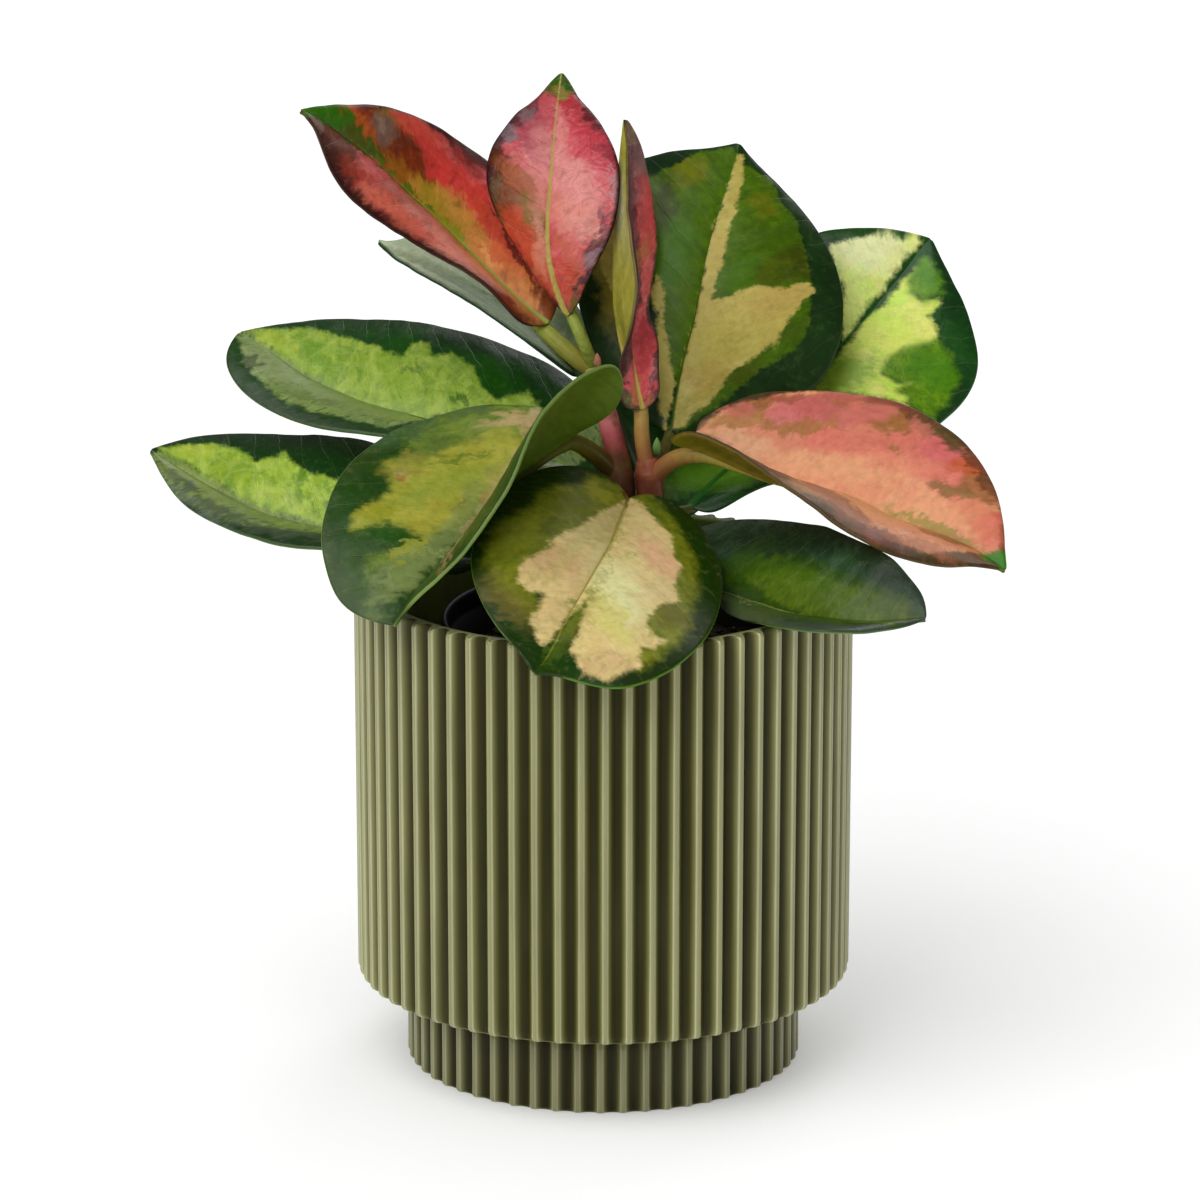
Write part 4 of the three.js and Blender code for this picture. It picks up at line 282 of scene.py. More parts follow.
        (-15.9, 24.8, 11.2, 2.5, 109, "#AF7337", 0.85, 0.35, "all"),
        (-23.8, 37.5, 6.5, 4.3, 104, "#AF773D", 0.75, 0.4, "all"),
        (-26.3, 45.5, 5.9, 3.9, 115, "#A16D31", 0.85, 0.35, "all"),
        (-33.0, 45.2, 6.7, 3.0, 96, "#8A4437", 0.85, 0.35, "all"),
        (-30.4, 54.2, 8.3, 3.5, 83, "#734C2A", 0.85, 0.35, "all"),
        (-28.1, 62.7, 5.2, 2.3, 64, "#49461C", 0.85, 0.35, "all"),
        (-14.1, 5.2, 4.5, 2.6, 124, "#D17361", 0.8, 0.3, "all"),
        (-18.8, 17.8, 5.8, 3.8, 115, "#DD7774", 0.9, 0.3, "all"),
        (-23.5, 27.1, 8.5, 4.9, 92, "#D56D69", 0.9, 0.3, "all"),
        (-23.9, 17.1, 6.0, 2.2, 115, "#B85F50", 0.8, 0.3, "all"),
        (-30.0, 33.0, 8.0, 2.7, 115, "#CD6D61", 0.85, 0.3, "all"),
        (-24.6, 39.5, 6.2, 3.8, 153, "#DF796E", 0.9, 0.3, "all"),
        (-28.3, 53.8, 5.4, 2.5, 84, "#D97D6B", 0.7, 0.35, "all"),
        (-22.0, 70.2, 4.8, 3.6, 138, "#D15F31", 0.8, 0.35, "all"),
        (-17.8, 48.8, 1.6, 1.3, 74, "#AF7739", 0.8, 0.4, "all"),
        (-7.7, 80.7, 9.8, 3.5, 67, "#E57D5B", 0.7, 0.5, "all"),
        (-12.2, 70.2, 6.2, 2.0, 93, "#8C6728", 0.85, 0.35, "all"),
        (-20.6, 74.3, 9.7, 2.2, 48, "#69381A", 0.8, 0.35, "all"),
        (7.8, 53.2, 24.1, 7.8, 121, "#F6B57E", 0.75, 0.5, "all"),
        (-1.2, 71.5, 15.0, 1.5, 88, "#A79639", 0.8, 0.35, "all"),
        (16.7, 45.8, 20.2, 5.8, 63, "#9F6346", 0.8, 0.4, "all"),
        (23.2, 66.2, 10.3, 3.6, 95, "#754435", 0.75, 0.4, "all"),
        (16.9, 76.2, 11.1, 3.3, 111, "#C27754", 0.7, 0.4, "all"),
        (7.8, 87.7, 7.7, 2.1, 152, "#6F4C28", 0.7, 0.4, "all"),
        (-0.1, 92.4, 4.9, 3.5, 87, "#3F8A1E", 0.97, 0.3, "all"),
        (5.2, 0.1, 9.2, 3.2, 100, "#7B7716", 0.9, 0.4, "under")],
    "leaf_left_upper": [(21.5, 64.3, 11.0, 5.8, -105, "#1F5C0D", 0.6, 0.6, "base"),
        (20.6, 37.2, 10.3, 5.3, -116, "#215E0B", 0.7, 0.5, "base"),
        (17.4, 82.5, 11.3, 4.7, -76, "#184C10", 0.6, 0.5, "base"),
        (31.7, 42.8, 17.8, 3.5, -87, "#162B1B", 0.6, 0.5, "base"),
        (3.7, 101.2, 6.4, 3.6, -76, "#BBCD4B", 0.6, 0.5, "a"),
        (8.0, 88.8, 7.5, 3.2, -100, "#6FA02C", 0.55, 0.5, "a"),
        (10.6, 61.7, 9.9, 4.0, -139, "#9EC03D", 0.5, 0.5, "a"),
        (8.4, 41.6, 1.8, 1.4, -103, "#487322", 0.8, 0.4, "a"),
        (14.2, 57.1, 2.9, 1.4, -90, "#668437", 0.7, 0.4, "a"),
        (-5.3, 78.8, 23.5, 6.7, -100, "#859B52", 0.8, 0.5, "b"),
        # painted sheen: the pale grey-green tint #9EAA80 on the lower half
        (-7.2, 96.6, 13.0, 3.0, -101, "#9EAA80", 0.55, 0.6, "b"),
        (-7.1, 101.0, 5.3, 1.3, -84, "#45503B", 0.7, 0.5, "b"),
        (-10.2, 78.6, 10.1, 1.5, -88, "#667943", 0.6, 0.6, "b"),
        (-18.2, 80.9, 18.0, 2.3, -102, "#42503F", 0.75, 0.5, "all"),
        (-4.8, 50.3, 10.1, 4.8, -29, "#97AC43", 0.5, 0.5, "b")],
    "leaf_left_lower": [(25.2, 74.2, 20.1, 4.0, -68, "#152A16", 0.6, 0.5, "base"),
        (22.9, 53.3, 10.2, 4.3, -92, "#134411", 0.6, 0.5, "base"),
        (8.7, 93.7, 6.0, 4.3, -40, "#C2D24A", 0.6, 0.5, "a"),
        (12.9, 56.5, 2.8, 2.8, -87, "#6E9B2C", 0.8, 0.35, "a"),
        (6.9, 56.5, 2.6, 1.9, -82, "#6B973C", 0.8, 0.35, "a"),
        (5.8, 46.8, 2.5, 1.7, -123, "#5C863A", 0.7, 0.4, "a"),
        (7.6, 80.4, 5.9, 3.2, -93, "#93AF2C", 0.5, 0.6, "a"),
        (5.1, 57.9, 11.5, 2.8, -104, "#D0E162", 0.45, 0.6, "a"),
        (-0.8, 78.8, 16.6, 4.3, -92, "#90A44C", 0.7, 0.5, "b"),
        (-10.0, 77.1, 17.7, 2.5, -108, "#525F4C", 0.8, 0.5, "all"),
        (-15.2, 51.9, 10.3, 2.9, -94, "#495840", 0.8, 0.5, "all"),
        (0.3, 74.0, 7.2, 1.0, -83, "#5B6E34", 0.6, 0.5, "b")],
    "leaf_folded_front": [(32.6, 62.2, 12.4, 5.7, 120, "#1E4A01", 0.8, 0.5, "base"),
        (15.3, 63.8, 7.1, 4.5, -150, "#1F520C", 0.85, 0.4, "all"),
        (13.4, 78.5, 9.5, 5.3, 156, "#315308", 0.7, 0.6, "base"),
        (5.7, 68.2, 13.8, 4.0, -97, "#879853", 0.9, 0.6, "all"),
        (34.3, 28.8, 12.0, 3.8, -119, "#44643A", 0.8, 0.5, "all"),
        (23.4, 27.1, 7.2, 2.9, -128, "#5A7334", 0.6, 0.6, "all"),
        (23.9, 15.8, 7.2, 1.6, -145, "#5A7143", 0.7, 0.5, "all"),
        (22.9, 59.0, 8.4, 2.9, -116, "#A2A22B", 0.9, 0.35, "all"),
        (17.1, 47.0, 7.6, 3.1, -120, "#9CA439", 0.7, 0.5, "all"),
        (11.0, 34.1, 14.0, 4.7, -125, "#9CA83A", 0.85, 0.5, "all"),
        (11.3, 17.3, 6.2, 2.1, -122, "#AEAC3E", 0.75, 0.5, "all"),
        (25.5, 37.7, 6.6, 3.5, -130, "#9C9839", 0.75, 0.5, "all"),
        (25.0, 42.7, 2.2, 1.3, -150, "#A87737", 0.8, 0.5, "all"),
        (13.0, 11.1, 6.8, 2.2, -121, "#C3A873", 0.85, 0.5, "all"),
        (14.4, 26.5, 8.8, 1.1, -130, "#628127", 0.7, 0.5, "all"),
        (4.9, 43.5, 16.0, 2.7, 94, "#899A59", 0.65, 0.6, "all"),
        (9.5, 64.0, 6.6, 1.6, 76, "#A0A43A", 0.85, 0.4, "all"),
        (-6.0, 48.2, 22.1, 2.6, 114, "#BE966B", 0.95, 0.4, "all"),
        (2.5, 33.2, 18.1, 0.5, 34, "#98A443", 0.5, 0.5, "all"),
        (21.2, 54.6, 12.2, 0.5, 71, "#8BA435", 0.5, 0.5, "all"),
        (-0.6, 54.3, 14.9, 0.5, 46, "#A4B067", 0.5, 0.5, "all"),
        (6.3, 40.0, 2.0, 0.5, -128, "#586730", 0.5, 0.5, "all")],
    "leaf_round_front": [(-27.4, 26.5, 16.6, 4.7, 116, "#113800", 0.8, 0.5, "base"),
        (19.6, 8.3, 16.4, 5.5, -132, "#1C3602", 0.7, 0.5, "base"),
        (28.4, 27.7, 18.8, 3.8, 78, "#233904", 0.7, 0.5, "base"),
        (27.3, 59.5, 8.0, 2.8, 121, "#1F3902", 0.6, 0.5, "base"),
        (-11.3, 81.8, 10.9, 3.5, 174, "#1A4201", 0.6, 0.5, "base"),
        (17.6, 21.4, 11.6, 7.4, -145, "#6A7111", 0.8, 0.5, "b"),
        (23.7, 43.5, 9.7, 5.0, -112, "#858C22", 0.75, 0.5, "b"),
        (9.6, 7.7, 5.5, 3.3, -167, "#AAA431", 0.6, 0.5, "b"),
        (16.0, 35.5, 4.7, 2.5, -103, "#56630B", 0.6, 0.5, "b"),
        (16.6, 68.3, 10.0, 4.5, 146, "#7C6F32", 0.65, 0.6, "all"),
        (5.5, 76.8, 6.8, 4.4, 164, "#586113", 0.6, 0.5, "b"),
        (-9.7, 7.7, 4.8, 2.9, 127, "#566D0E", 0.6, 0.5, "b"),
        (-27.1, 52.9, 6.1, 5.8, 165, "#706B0E", 0.8, 0.5, "b"),
        (5.2, 20.1, 14.6, 4.9, 77, "#D3C07F", 0.65, 0.6, "a"),
        (-9.8, 50.0, 17.5, 6.2, 116, "#F6F3B1", 0.85, 0.6, "a"),
        (-14.2, 26.8, 9.9, 4.2, 127, "#F5BE91", 0.85, 0.6, "a"),
        (11.0, 48.8, 10.4, 5.5, -128, "#E3B27F", 0.75, 0.6, "a"),
        (-16.9, 78.5, 7.7, 3.6, -165, "#ECC291", 0.75, 0.6, "a"),
        (3.9, 64.8, 7.5, 3.0, -97, "#E5C488", 0.6, 0.6, "a"),
        (-18.3, 44.5, 7.8, 4.0, -112, "#EED498", 0.6, 0.6, "a"),
        (-12.2, 62.0, 12.4, 3.9, 130, "#E3D974", 0.7, 0.6, "a"),
        (-6.1, 30.6, 1.8, 1.6, 143, "#BBB55C", 0.6, 0.6, "a"),
        (7.3, 36.9, 16.8, 1.8, 84, "#D1C776", 0.5, 0.7, "a"),
        (-2.7, 64.1, 11.0, 3.2, 86, "#9C9834", 0.45, 0.8, "all"),
        (-1.7, 59.0, 14.7, 1.2, 87, "#64801D", 0.45, 0.8, "all"),
        (-0.9, 77.0, 5.5, 2.3, 89, "#446211", 0.7, 0.5, "all"),
        (-1.1, 25.6, 12.0, 0.6, -84, "#A7AB44", 0.6, 0.5, "all"),
        (0.1, 2.4, 2.6, 1.2, 96, "#6B2E13", 0.9, 0.5, "all")],
    "leaf_right_lower": [(-21.9, 37.6, 30.1, 7.0, 101, "#11200F", 0.8, 0.5, "all"),
        (-16.4, 78.0, 14.8, 4.6, 57, "#1A2A13", 0.75, 0.5, "all"),
        (-11.8, 23.7, 7.1, 3.4, 128, "#284409", 0.6, 0.6, "all"),
        (-8.6, 46.4, 19.3, 4.2, 88, "#486909", 0.7, 0.6, "all"),
        (-6.5, 49.5, 9.4, 2.1, 83, "#657F17", 0.6, 0.6, "all"),
        (-5.2, 66.2, 14.7, 2.8, 83, "#526D18", 0.65, 0.6, "all"),
        (-4.6, 82.2, 10.2, 2.8, 66, "#465625", 0.6, 0.6, "all"),
        (8.7, 45.0, 19.3, 5.8, 70, "#576735", 0.65, 0.5, "all"),
        (2.9, 47.4, 21.2, 0.7, 88, "#9CA35C", 0.6, 0.5, "all"),
        (6.8, 78.8, 9.4, 2.4, 94, "#3B5320", 0.6, 0.5, "all")],
    # painted sheen: the near-white tints #DDDBBB and #EDE7C7 near the tip of the underside
    "leaf_grey_back": [(3.3, 58.9, 17.6, 6.2, -79, "#DDDBBB", 0.45, 0.8, "under"),
        (8.9, 53.8, 10.4, 1.6, -67, "#EDE7C7", 0.35, 0.8, "under"),
        (2.9, 39.2, 32.4, 1.9, -90, "#547740", 0.5, 0.7, "under"),
        (6.3, 29.8, 14.5, 6.4, -96, "#A7C19F", 0.6, 0.6, "under"),
        (-9.2, 12.2, 6.6, 2.8, -79, "#6B865A", 0.5, 0.6, "under"),
        (5.5, 44.9, 15.4, 1.3, -86, "#789070", 0.6, 0.5, "under")],
}
# Stems: centre line from the tip down into the soil, radius along it, colours by height.
STEMS = {
    "stem_left": dict(path=[(-3.2, 17.91, 195.5), (-0.96, 16.28, 188.39), (1.14, 14.57, 182.76), (3.1, 12.61, 174.58), (4.51, 11.7, 168.13), (4.93, 10.06, 159.27), (4.94, 7.09, 142.59), (5.23, 2.22, 105.86)],
        radii=(2.9, 2.8, 2.95, 3.2, 3.75, 4.4, 3.8, 3.2), lo=135.0, hi=197.0,
        grad=[(0.0, "#24140C"), (0.42, "#3A1E10"), (0.50, "#54301A"), (0.56, "#62481E"), (0.60, "#6E4426"), (0.635, "#8A4438"), (0.70, "#B8585C"), (0.78, "#CC7C74"), (0.84, "#D6A486"), (0.90, "#C4A878"), (1.0, "#9A9A4C")], spots="#4A2018"),
    "stem_right": dict(path=[(12.5, 12.43, 170.55), (12.7, 11.69, 166.39), (13.07, 11.2, 163.03), (13.22, 10.35, 153.33), (13.1, 6.7, 130.97), (12.84, 3.17, 105.56)],
        radii=(3.0, 4.1, 3.9, 3.8, 3.7, 3.7), lo=135.0, hi=176.0,
        grad=[(0.0, "#24140C"), (0.5, "#54301C"), (0.73, "#8A4C30"), (0.88, "#A05A40"), (1.0, "#9A5838")], spots="#5A2418"),
}
BUDS = {
    "bud_left": dict(at=(-1.8, 15.66, 198.44), r=1.3, h=2.1, c=("#B08A5A", "#C88A7A", "#8A4A3A")),
    "bud_right": dict(at=(15, 10.12, 174.99), r=1.35, h=2.6, c=("#3E6A2C", "#7A9C58", "#4A7438")),
}


# --------------------------------------------------------------- helpers ---
def lin(h):
    h = h.lstrip("#")
    out = []
    for k in (0, 2, 4):
        c = int(h[k:k + 2], 16) / 255.0
        out.append(c / 12.92 if c <= 0.04045 else ((c + 0.055) / 1.055) ** 2.4)
    return (out[0], out[1], out[2], 1.0)


def spline(P, t):
    """Natural cubic spline through rows of P at evenly spaced parameters, read at t."""
    P = np.asarray(P, float)
    n = len(P)
    h = 1.0 / (n - 1)
    A = np.zeros((n, n)); B = np.zeros_like(P)
    A[0, 0] = A[-1, -1] = 1.0
    for i in range(1, n - 1):
        A[i, i - 1:i + 2] = (1, 4, 1)
        B[i] = 6 * (P[i + 1] - 2 * P[i] + P[i - 1]) / (h * h)
    m = np.linalg.solve(A, B)
    t = np.clip(np.asarray(t, float), 0, 1)
    k = np.minimum((t * (n - 1)).astype(int), n - 2)
    a = (t - k * h)[:, None]; b = h - a
    return (m[k] * b ** 3 + m[k + 1] * a ** 3) / (6 * h) + (P[k] / h - m[k] * h / 6) * b + (P[k + 1] / h - m[k + 1] * h / 6) * a


def hash3(ix, iy, iz, seed):
    h = (ix.astype(np.int64) * 374761393 + iy.astype(np.int64) * 668265263 + iz.astype(np.int64) * 2147483647 + seed * 1442695041)
    h = (h ^ (h >> 13)) * 1274126177
    h = h ^ (h >> 16)
    return (h & 0xFFFFFF) / float(0xFFFFFF) * 2 - 1


def vnoise(p, seed=0):
    """Smooth value noise in -1..1 of points p (n,3)."""
    p = np.asarray(p, float)
    i = np.floor(p).astype(np.int64); f = p - i
    f = f * f * f * (f * (f * 6 - 15) + 10)
    r = 0
    for dx in (0, 1):
        for dy in (0, 1):
            for dz in (0, 1):
                w = (f[:, 0] if dx else 1 - f[:, 0]) * (f[:, 1] if dy else 1 - f[:, 1]) * (f[:, 2] if dz else 1 - f[:, 2])
                r = r + w * hash3(i[:, 0] + dx, i[:, 1] + dy, i[:, 2] + dz, seed)
    return r


def fbm(p, seed=0, octaves=3):
    p = np.asarray(p, float); a, r = 1.0, 0
    for o in range(octaves):
        r = r + a * vnoise(p * (2.03 ** o), seed + 17 * o); a *= 0.5
    return r


def make_mesh(name, verts_mm, faces, attrs=None, smooth=True):
    me = bpy.data.meshes.new(name)
    me.from_pydata((np.asarray(verts_mm) * MM).tolist(), [], [tuple(f) for f in faces])
    me.validate()
    if smooth:
        me.polygons.foreach_set("use_smooth", np.ones(len(me.polygons), dtype=bool))
    for key, (kind, data) in (attrs or {}).items():
        at = me.attributes.new(key, kind, "POINT")
        data = np.asarray(data, dtype=np.float32)
        at.data.foreach_set("vector" if kind == "FLOAT_VECTOR" else "value", data.ravel())
    me.update()
    ob = bpy.data.objects.new(name, me)
    scene.collection.objects.link(ob)
    return ob


def settle(ob, node, slot, mat):
    ob.data.materials.clear(); ob.data.materials.append(mat)
    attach(ob, "root")
    if node:
        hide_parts(node)


def poly_sd(pts, poly):
    """Signed distance of flat points to a closed outline, inside positive."""
    poly = np.asarray(poly, float); a = poly; b = np.roll(poly, -1, axis=0)
    best = np.full(len(pts), 1e9); inside = np.zeros(len(pts), bool)
    for (ax, ay), (bx, by) in zip(a, b):
        ex, ey = bx - ax, by - ay
        l2 = ex * ex + ey * ey
        if l2 < 1e-9:
            continue
        t = np.clip(((pts[:, 0] - ax) * ex + (pts[:, 1] - ay) * ey) / l2, 0, 1)
        d = np.hypot(pts[:, 0] - ax - t * ex, pts[:, 1] - ay - t * ey)
        best = np.minimum(best, d)
        cross = ((ay > pts[:, 1]) != (by > pts[:, 1])) & (pts[:, 0] < (bx - ax) * (pts[:, 1] - ay) / ((by - ay) + 1e-12) + ax)
        inside ^= cross
    return np.where(inside, best, -best)


# -------------------------------------------------------------- node kit ---
class Nodes:
    def __init__(self, name):
        self.mat = bpy.data.materials.new(name)
        self.mat.use_nodes = True
        self.nt = self.mat.node_tree
        self.nt.nodes.clear()
        self.out = self.nt.nodes.new("ShaderNodeOutputMaterial")
        self.bsdf = self.nt.nodes.new("ShaderNodeBsdfPrincipled")
        self.nt.links.new(self.bsdf.outputs[0], self.out.inputs[0])

    def new(self, kind):
        return self.nt.nodes.new(kind)

    def link(self, a, b):
        self.nt.links.new(a, b)

    def put(self, sock, v):
        if isinstance(v, bpy.types.NodeSocket):
            self.link(v, sock)
        else:
            sock.default_value = v

    def attr(self, name, vector=False):
        n = self.new("ShaderNodeAttribute"); n.attribute_name = name
        return n.outputs["Vector"] if vector else n.outputs["Fac"]

    def math(self, op, a, b=0.0, c=0.0, clamp=False):
        n = self.new("ShaderNodeMath"); n.operation = op; n.use_clamp = clamp
        self.put(n.inputs[0], a); self.put(n.inputs[1], b); self.put(n.inputs[2], c)
        return n.outputs[0]

    def sep(self, v):
        n = self.new("ShaderNodeSeparateXYZ"); self.link(v, n.inputs[0])
        return n.outputs[0], n.outputs[1], n.outputs[2]

    def comb(self, x, y, z=0.0):
        n = self.new("ShaderNodeCombineXYZ")
        for i, v in enumerate((x, y, z)):
            self.put(n.inputs[i], v)
        return n.outputs[0]

    def noise(self, vec, scale, detail=3.0, rough=0.55, dist=0.0, color=False):
        n = self.new("ShaderNodeTexNoise"); self.link(vec, n.inputs["Vector"])
        n.inputs["Scale"].default_value = scale; n.inputs["Detail"].default_value = detail
        n.inputs["Roughness"].default_value = rough; n.inputs["Distortion"].default_value = dist
        return n.outputs["Color"] if color else n.outputs["Fac"]

    def voronoi(self, vec, scale, feature="F1", rand=1.0, out="Distance"):
        n = self.new("ShaderNodeTexVoronoi"); self.link(vec, n.inputs["Vector"]); n.feature = feature
        n.inputs["Scale"].default_value = scale; n.inputs["Randomness"].default_value = rand
        return n.outputs[out]

    def smooth(self, x, lo, hi, a=0.0, b=1.0):
        n = self.new("ShaderNodeMapRange"); n.interpolation_type = "SMOOTHSTEP"
        self.put(n.inputs["Value"], x)
        n.inputs["From Min"].default_value = lo; n.inputs["From Max"].default_value = hi
        n.inputs["To Min"].default_value = a; n.inputs["To Max"].default_value = b
        return n.outputs["Result"]

    def mix(self, fac, a, b, blend="MIX"):
        n = self.new("ShaderNodeMix"); n.data_type = "RGBA"; n.blend_type = blend
        self.put(n.inputs[0], fac); self.put(n.inputs[6], a); self.put(n.inputs[7], b)
        return n.outputs[2]

    def spot(self, vec, x, y, rx, ry, ang, soft, amount, wobble):
        """Soft-edged ellipse mask on the flat blade."""
        n = self.new("ShaderNodeMapping"); n.vector_type = "TEXTURE"
        self.link(vec, n.inputs["Vector"])
        n.inputs["Location"].default_value = (x, y, 0)
        n.inputs["Rotation"].default_value = (0, 0, math.radians(ang))
        n.inputs["Scale"].default_value = (rx, ry, 1)
        m = self.new("ShaderNodeVectorMath"); m.operation = "LENGTH"; self.link(n.outputs[0], m.inputs[0])
        return self.smooth(self.math("ADD", m.outputs["Value"], wobble), 1 + soft, 1 - soft, 0.0, amount)

    def bump(self, height, strength, dist_mm, normal=None):
        n = self.new("ShaderNodeBump"); self.put(n.inputs["Height"], height)
        n.inputs["Strength"].default_value = strength; n.inputs["Distance"].default_value = dist_mm * MM
        if normal is not None:
            self.link(normal, n.inputs["Normal"])
        return n.outputs["Normal"]


# ----------------------------------------------------------------- leaves ---
NROW, NHALF = 141, 40


def blade_surface(lf):
    n = NROW
    t = np.linspace(0, 1, n)
    M, L, R = spline(lf["mid"], t), spline(lf["left"], t), spline(lf["right"], t)
    tang = np.gradient(M, axis=0)
    tang /= np.linalg.norm(tang, axis=1)[:, None] + 1e-9
    nrm = np.cross(R - L, tang)
    ln = np.linalg.norm(nrm, axis=1)
    nrm /= ln[:, None] + 1e-9
    nrm[0], nrm[-1] = nrm[1], nrm[-2]
    y_mid = np.r_[0, np.cumsum(np.linalg.norm(np.diff(M, axis=0), axis=1))]
    v = np.linspace(0, 1, NHALF + 1)
    uh = (1 - np.cos(np.pi * v)) / 2
    u = np.r_[-uh[::-1], uh[1:]]
    w = len(u)
    P = np.zeros((n, w, 3)); flat = np.zeros((n, w, 2)); rim = np.zeros((n, w))
    for j, uu in enumerate(u):
        E = L if uu < 0 else R
        bow = lf["bow"][0 if uu < 0 else 1]
        a = abs(uu); e = E - M
        span = np.linalg.norm(e, axis=1)
        dy = (e * tang).sum(1)
        dx = np.sqrt(np.maximum(0, span ** 2 - dy ** 2))
        P[:, j] = M + a * e + nrm * (4 * a * (1 - a) * span * bow)[:, None]
        flat[:, j, 0] = np.sign(uu) * a * dx
        flat[:, j, 1] = y_mid + a * dy
        rim[:, j] = (1 - a) * span
    return P, flat, rim, y_mid[-1], u


def leaf(name, lf, look):
    P, flat, rim, length, u = blade_surface(lf)
    n, w = P.shape[:2]
    seed = look.get("seed", 1)
    q = flat.reshape(-1, 2)
    # slow waves of the whole blade, fading to nothing at the base
    wave = fbm(np.c_[q / look.get("wave_len", 26.0), np.full(len(q), seed * 3.7)], seed, 2).reshape(n, w)
    du = np.zeros_like(P); du[1:-1] = P[2:] - P[:-2]; du[0] = du[1]; du[-1] = du[-2]
    dv = np.zeros_like(P); dv[:, 1:-1] = P[:, 2:] - P[:, :-2]; dv[:, 0] = P[:, 1] - P[:, 0]; dv[:, -1] = P[:, -1] - P[:, -2]
    N = np.cross(dv, du); ln = np.linalg.norm(N, axis=2)
    N /= ln[..., None] + 1e-12
    N[0], N[-1] = N[1], N[-2]
    fade = np.clip(flat[..., 1] / 18.0, 0, 1) * np.clip((length - flat[..., 1]) / 6.0, 0, 1)
    P = P + N * (wave * look.get("wave", 0.45) * fade)[..., None]
    edge_wave = fbm(np.c_[q / 9.0, np.full(len(q), seed * 1.3 + 9)], seed + 5, 2).reshape(n, w)
    P = P + N * (edge_wave * 0.28 * np.clip(1 - rim / 7.0, 0, 1) * fade)[..., None]
    # relief: sunken midrib and side veins above, a raised rib below
    X, Y = flat[..., 0], flat[..., 1]
    s = np.clip(Y / length, 0, 1)
    aX = np.abs(X)
    vein_q = Y - 0.62 * aX - 0.004 * aX ** 2
    wob = fbm(np.c_[q / 14.0, np.full(len(q), seed + 2.5)], seed + 3, 2).reshape(n, w)
    ph = vein_q / look.get("vein_gap", 10.0) + 0.12 * wob + 0.5 * (X > 0)
    vd = np.abs(ph - np.round(ph)) * look.get("vein_gap", 10.0)
    vein = np.exp(-(vd / 0.9) ** 2) * np.clip(aX / 3, 0, 1) * np.clip(rim / 6, 0, 1)
    quilt = (np.cos(2 * np.pi * ph) * -0.5 + 0.5) * np.clip(aX / 6, 0, 1) * np.clip(rim / 8, 0, 1)
    fine = fbm(np.c_[q / 2.2, np.full(len(q), seed + 7.5)], seed + 8, 2).reshape(n, w)
    lump = look.get("lump", 0.05)
    top_d = -0.30 * np.exp(-(X / 0.8) ** 2) * (1 - s) ** 0.5 - 0.07 * vein + 0.10 * quilt + lump * fine * np.clip(rim / 2, 0, 1)
    bot_d = -0.55 * np.exp(-(X / 1.1) ** 2) * (1 - 0.85 * s) - 0.05 * vein + 0.03 * fine * np.clip(rim / 2, 0, 1)
    half = 0.5 * lf["thick"] * look.get("thick", 1.0)
    rho = 0.85
    h = half * np.sqrt(np.clip(1 - (1 - np.clip(rim / rho, 0, 1)) ** 2, 0, 1))
    k = np.clip(rim / rho, 0, 1)
    top = P + N * (h + top_d * k)[..., None]
    bot = P + N * (-h + bot_d * k)[..., None]
    verts, idx_t, idx_b = [], -np.ones((n, w), int), -np.ones((n, w), int)
    fl, sd_src, rr, side = [], [], [], []

    def add(p, i, j, sgn):
        verts.append(p); fl.append((X[i, j], Y[i, j])); rr.append(rim[i, j]); side.append(sgn)
        return len(verts) - 1
    b0 = add(P[0, w // 2], 0, w // 2, 0); b1 = add(P[-1, w // 2], n - 1, w // 2, 0)
    idx_t[0, :] = idx_b[0, :] = b0; idx_t[-1, :] = idx_b[-1, :] = b1
    for i in range(1, n - 1):
        for j in range(w):
            if j in (0, w - 1):
                idx_t[i, j] = idx_b[i, j] = add(P[i, j], i, j, 0)
            else:
                idx_t[i, j] = add(top[i, j], i, j, 1); idx_b[i, j] = add(bot[i, j], i, j, -1)
    faces = []
    for i in range(n - 1):
        for j in range(w - 1):
            for g, flip in ((idx_t, False), (idx_b, True)):
                f = [g[i, j], g[i, j + 1], g[i + 1, j + 1], g[i + 1, j]]
                f = [a for k2, a in enumerate(f) if a not in f[:k2]]
                if len(f) >= 3:
                    faces.append(f[::-1] if flip else f)
    verts = np.array(verts); fl = np.array(fl); rr = np.array(rr); side = np.array(side)
    # colour fields: signed distance to the patches
    zones = PATCHES.get(name, [[], [], []])
    sd = np.full((len(fl), 3), -30.0)
    for z in range(3):
        for poly in zones[z]:
            sd[:, z] = np.maximum(sd[:, z], poly_sd(fl, poly))
    pet = np.zeros((len(fl), 2))
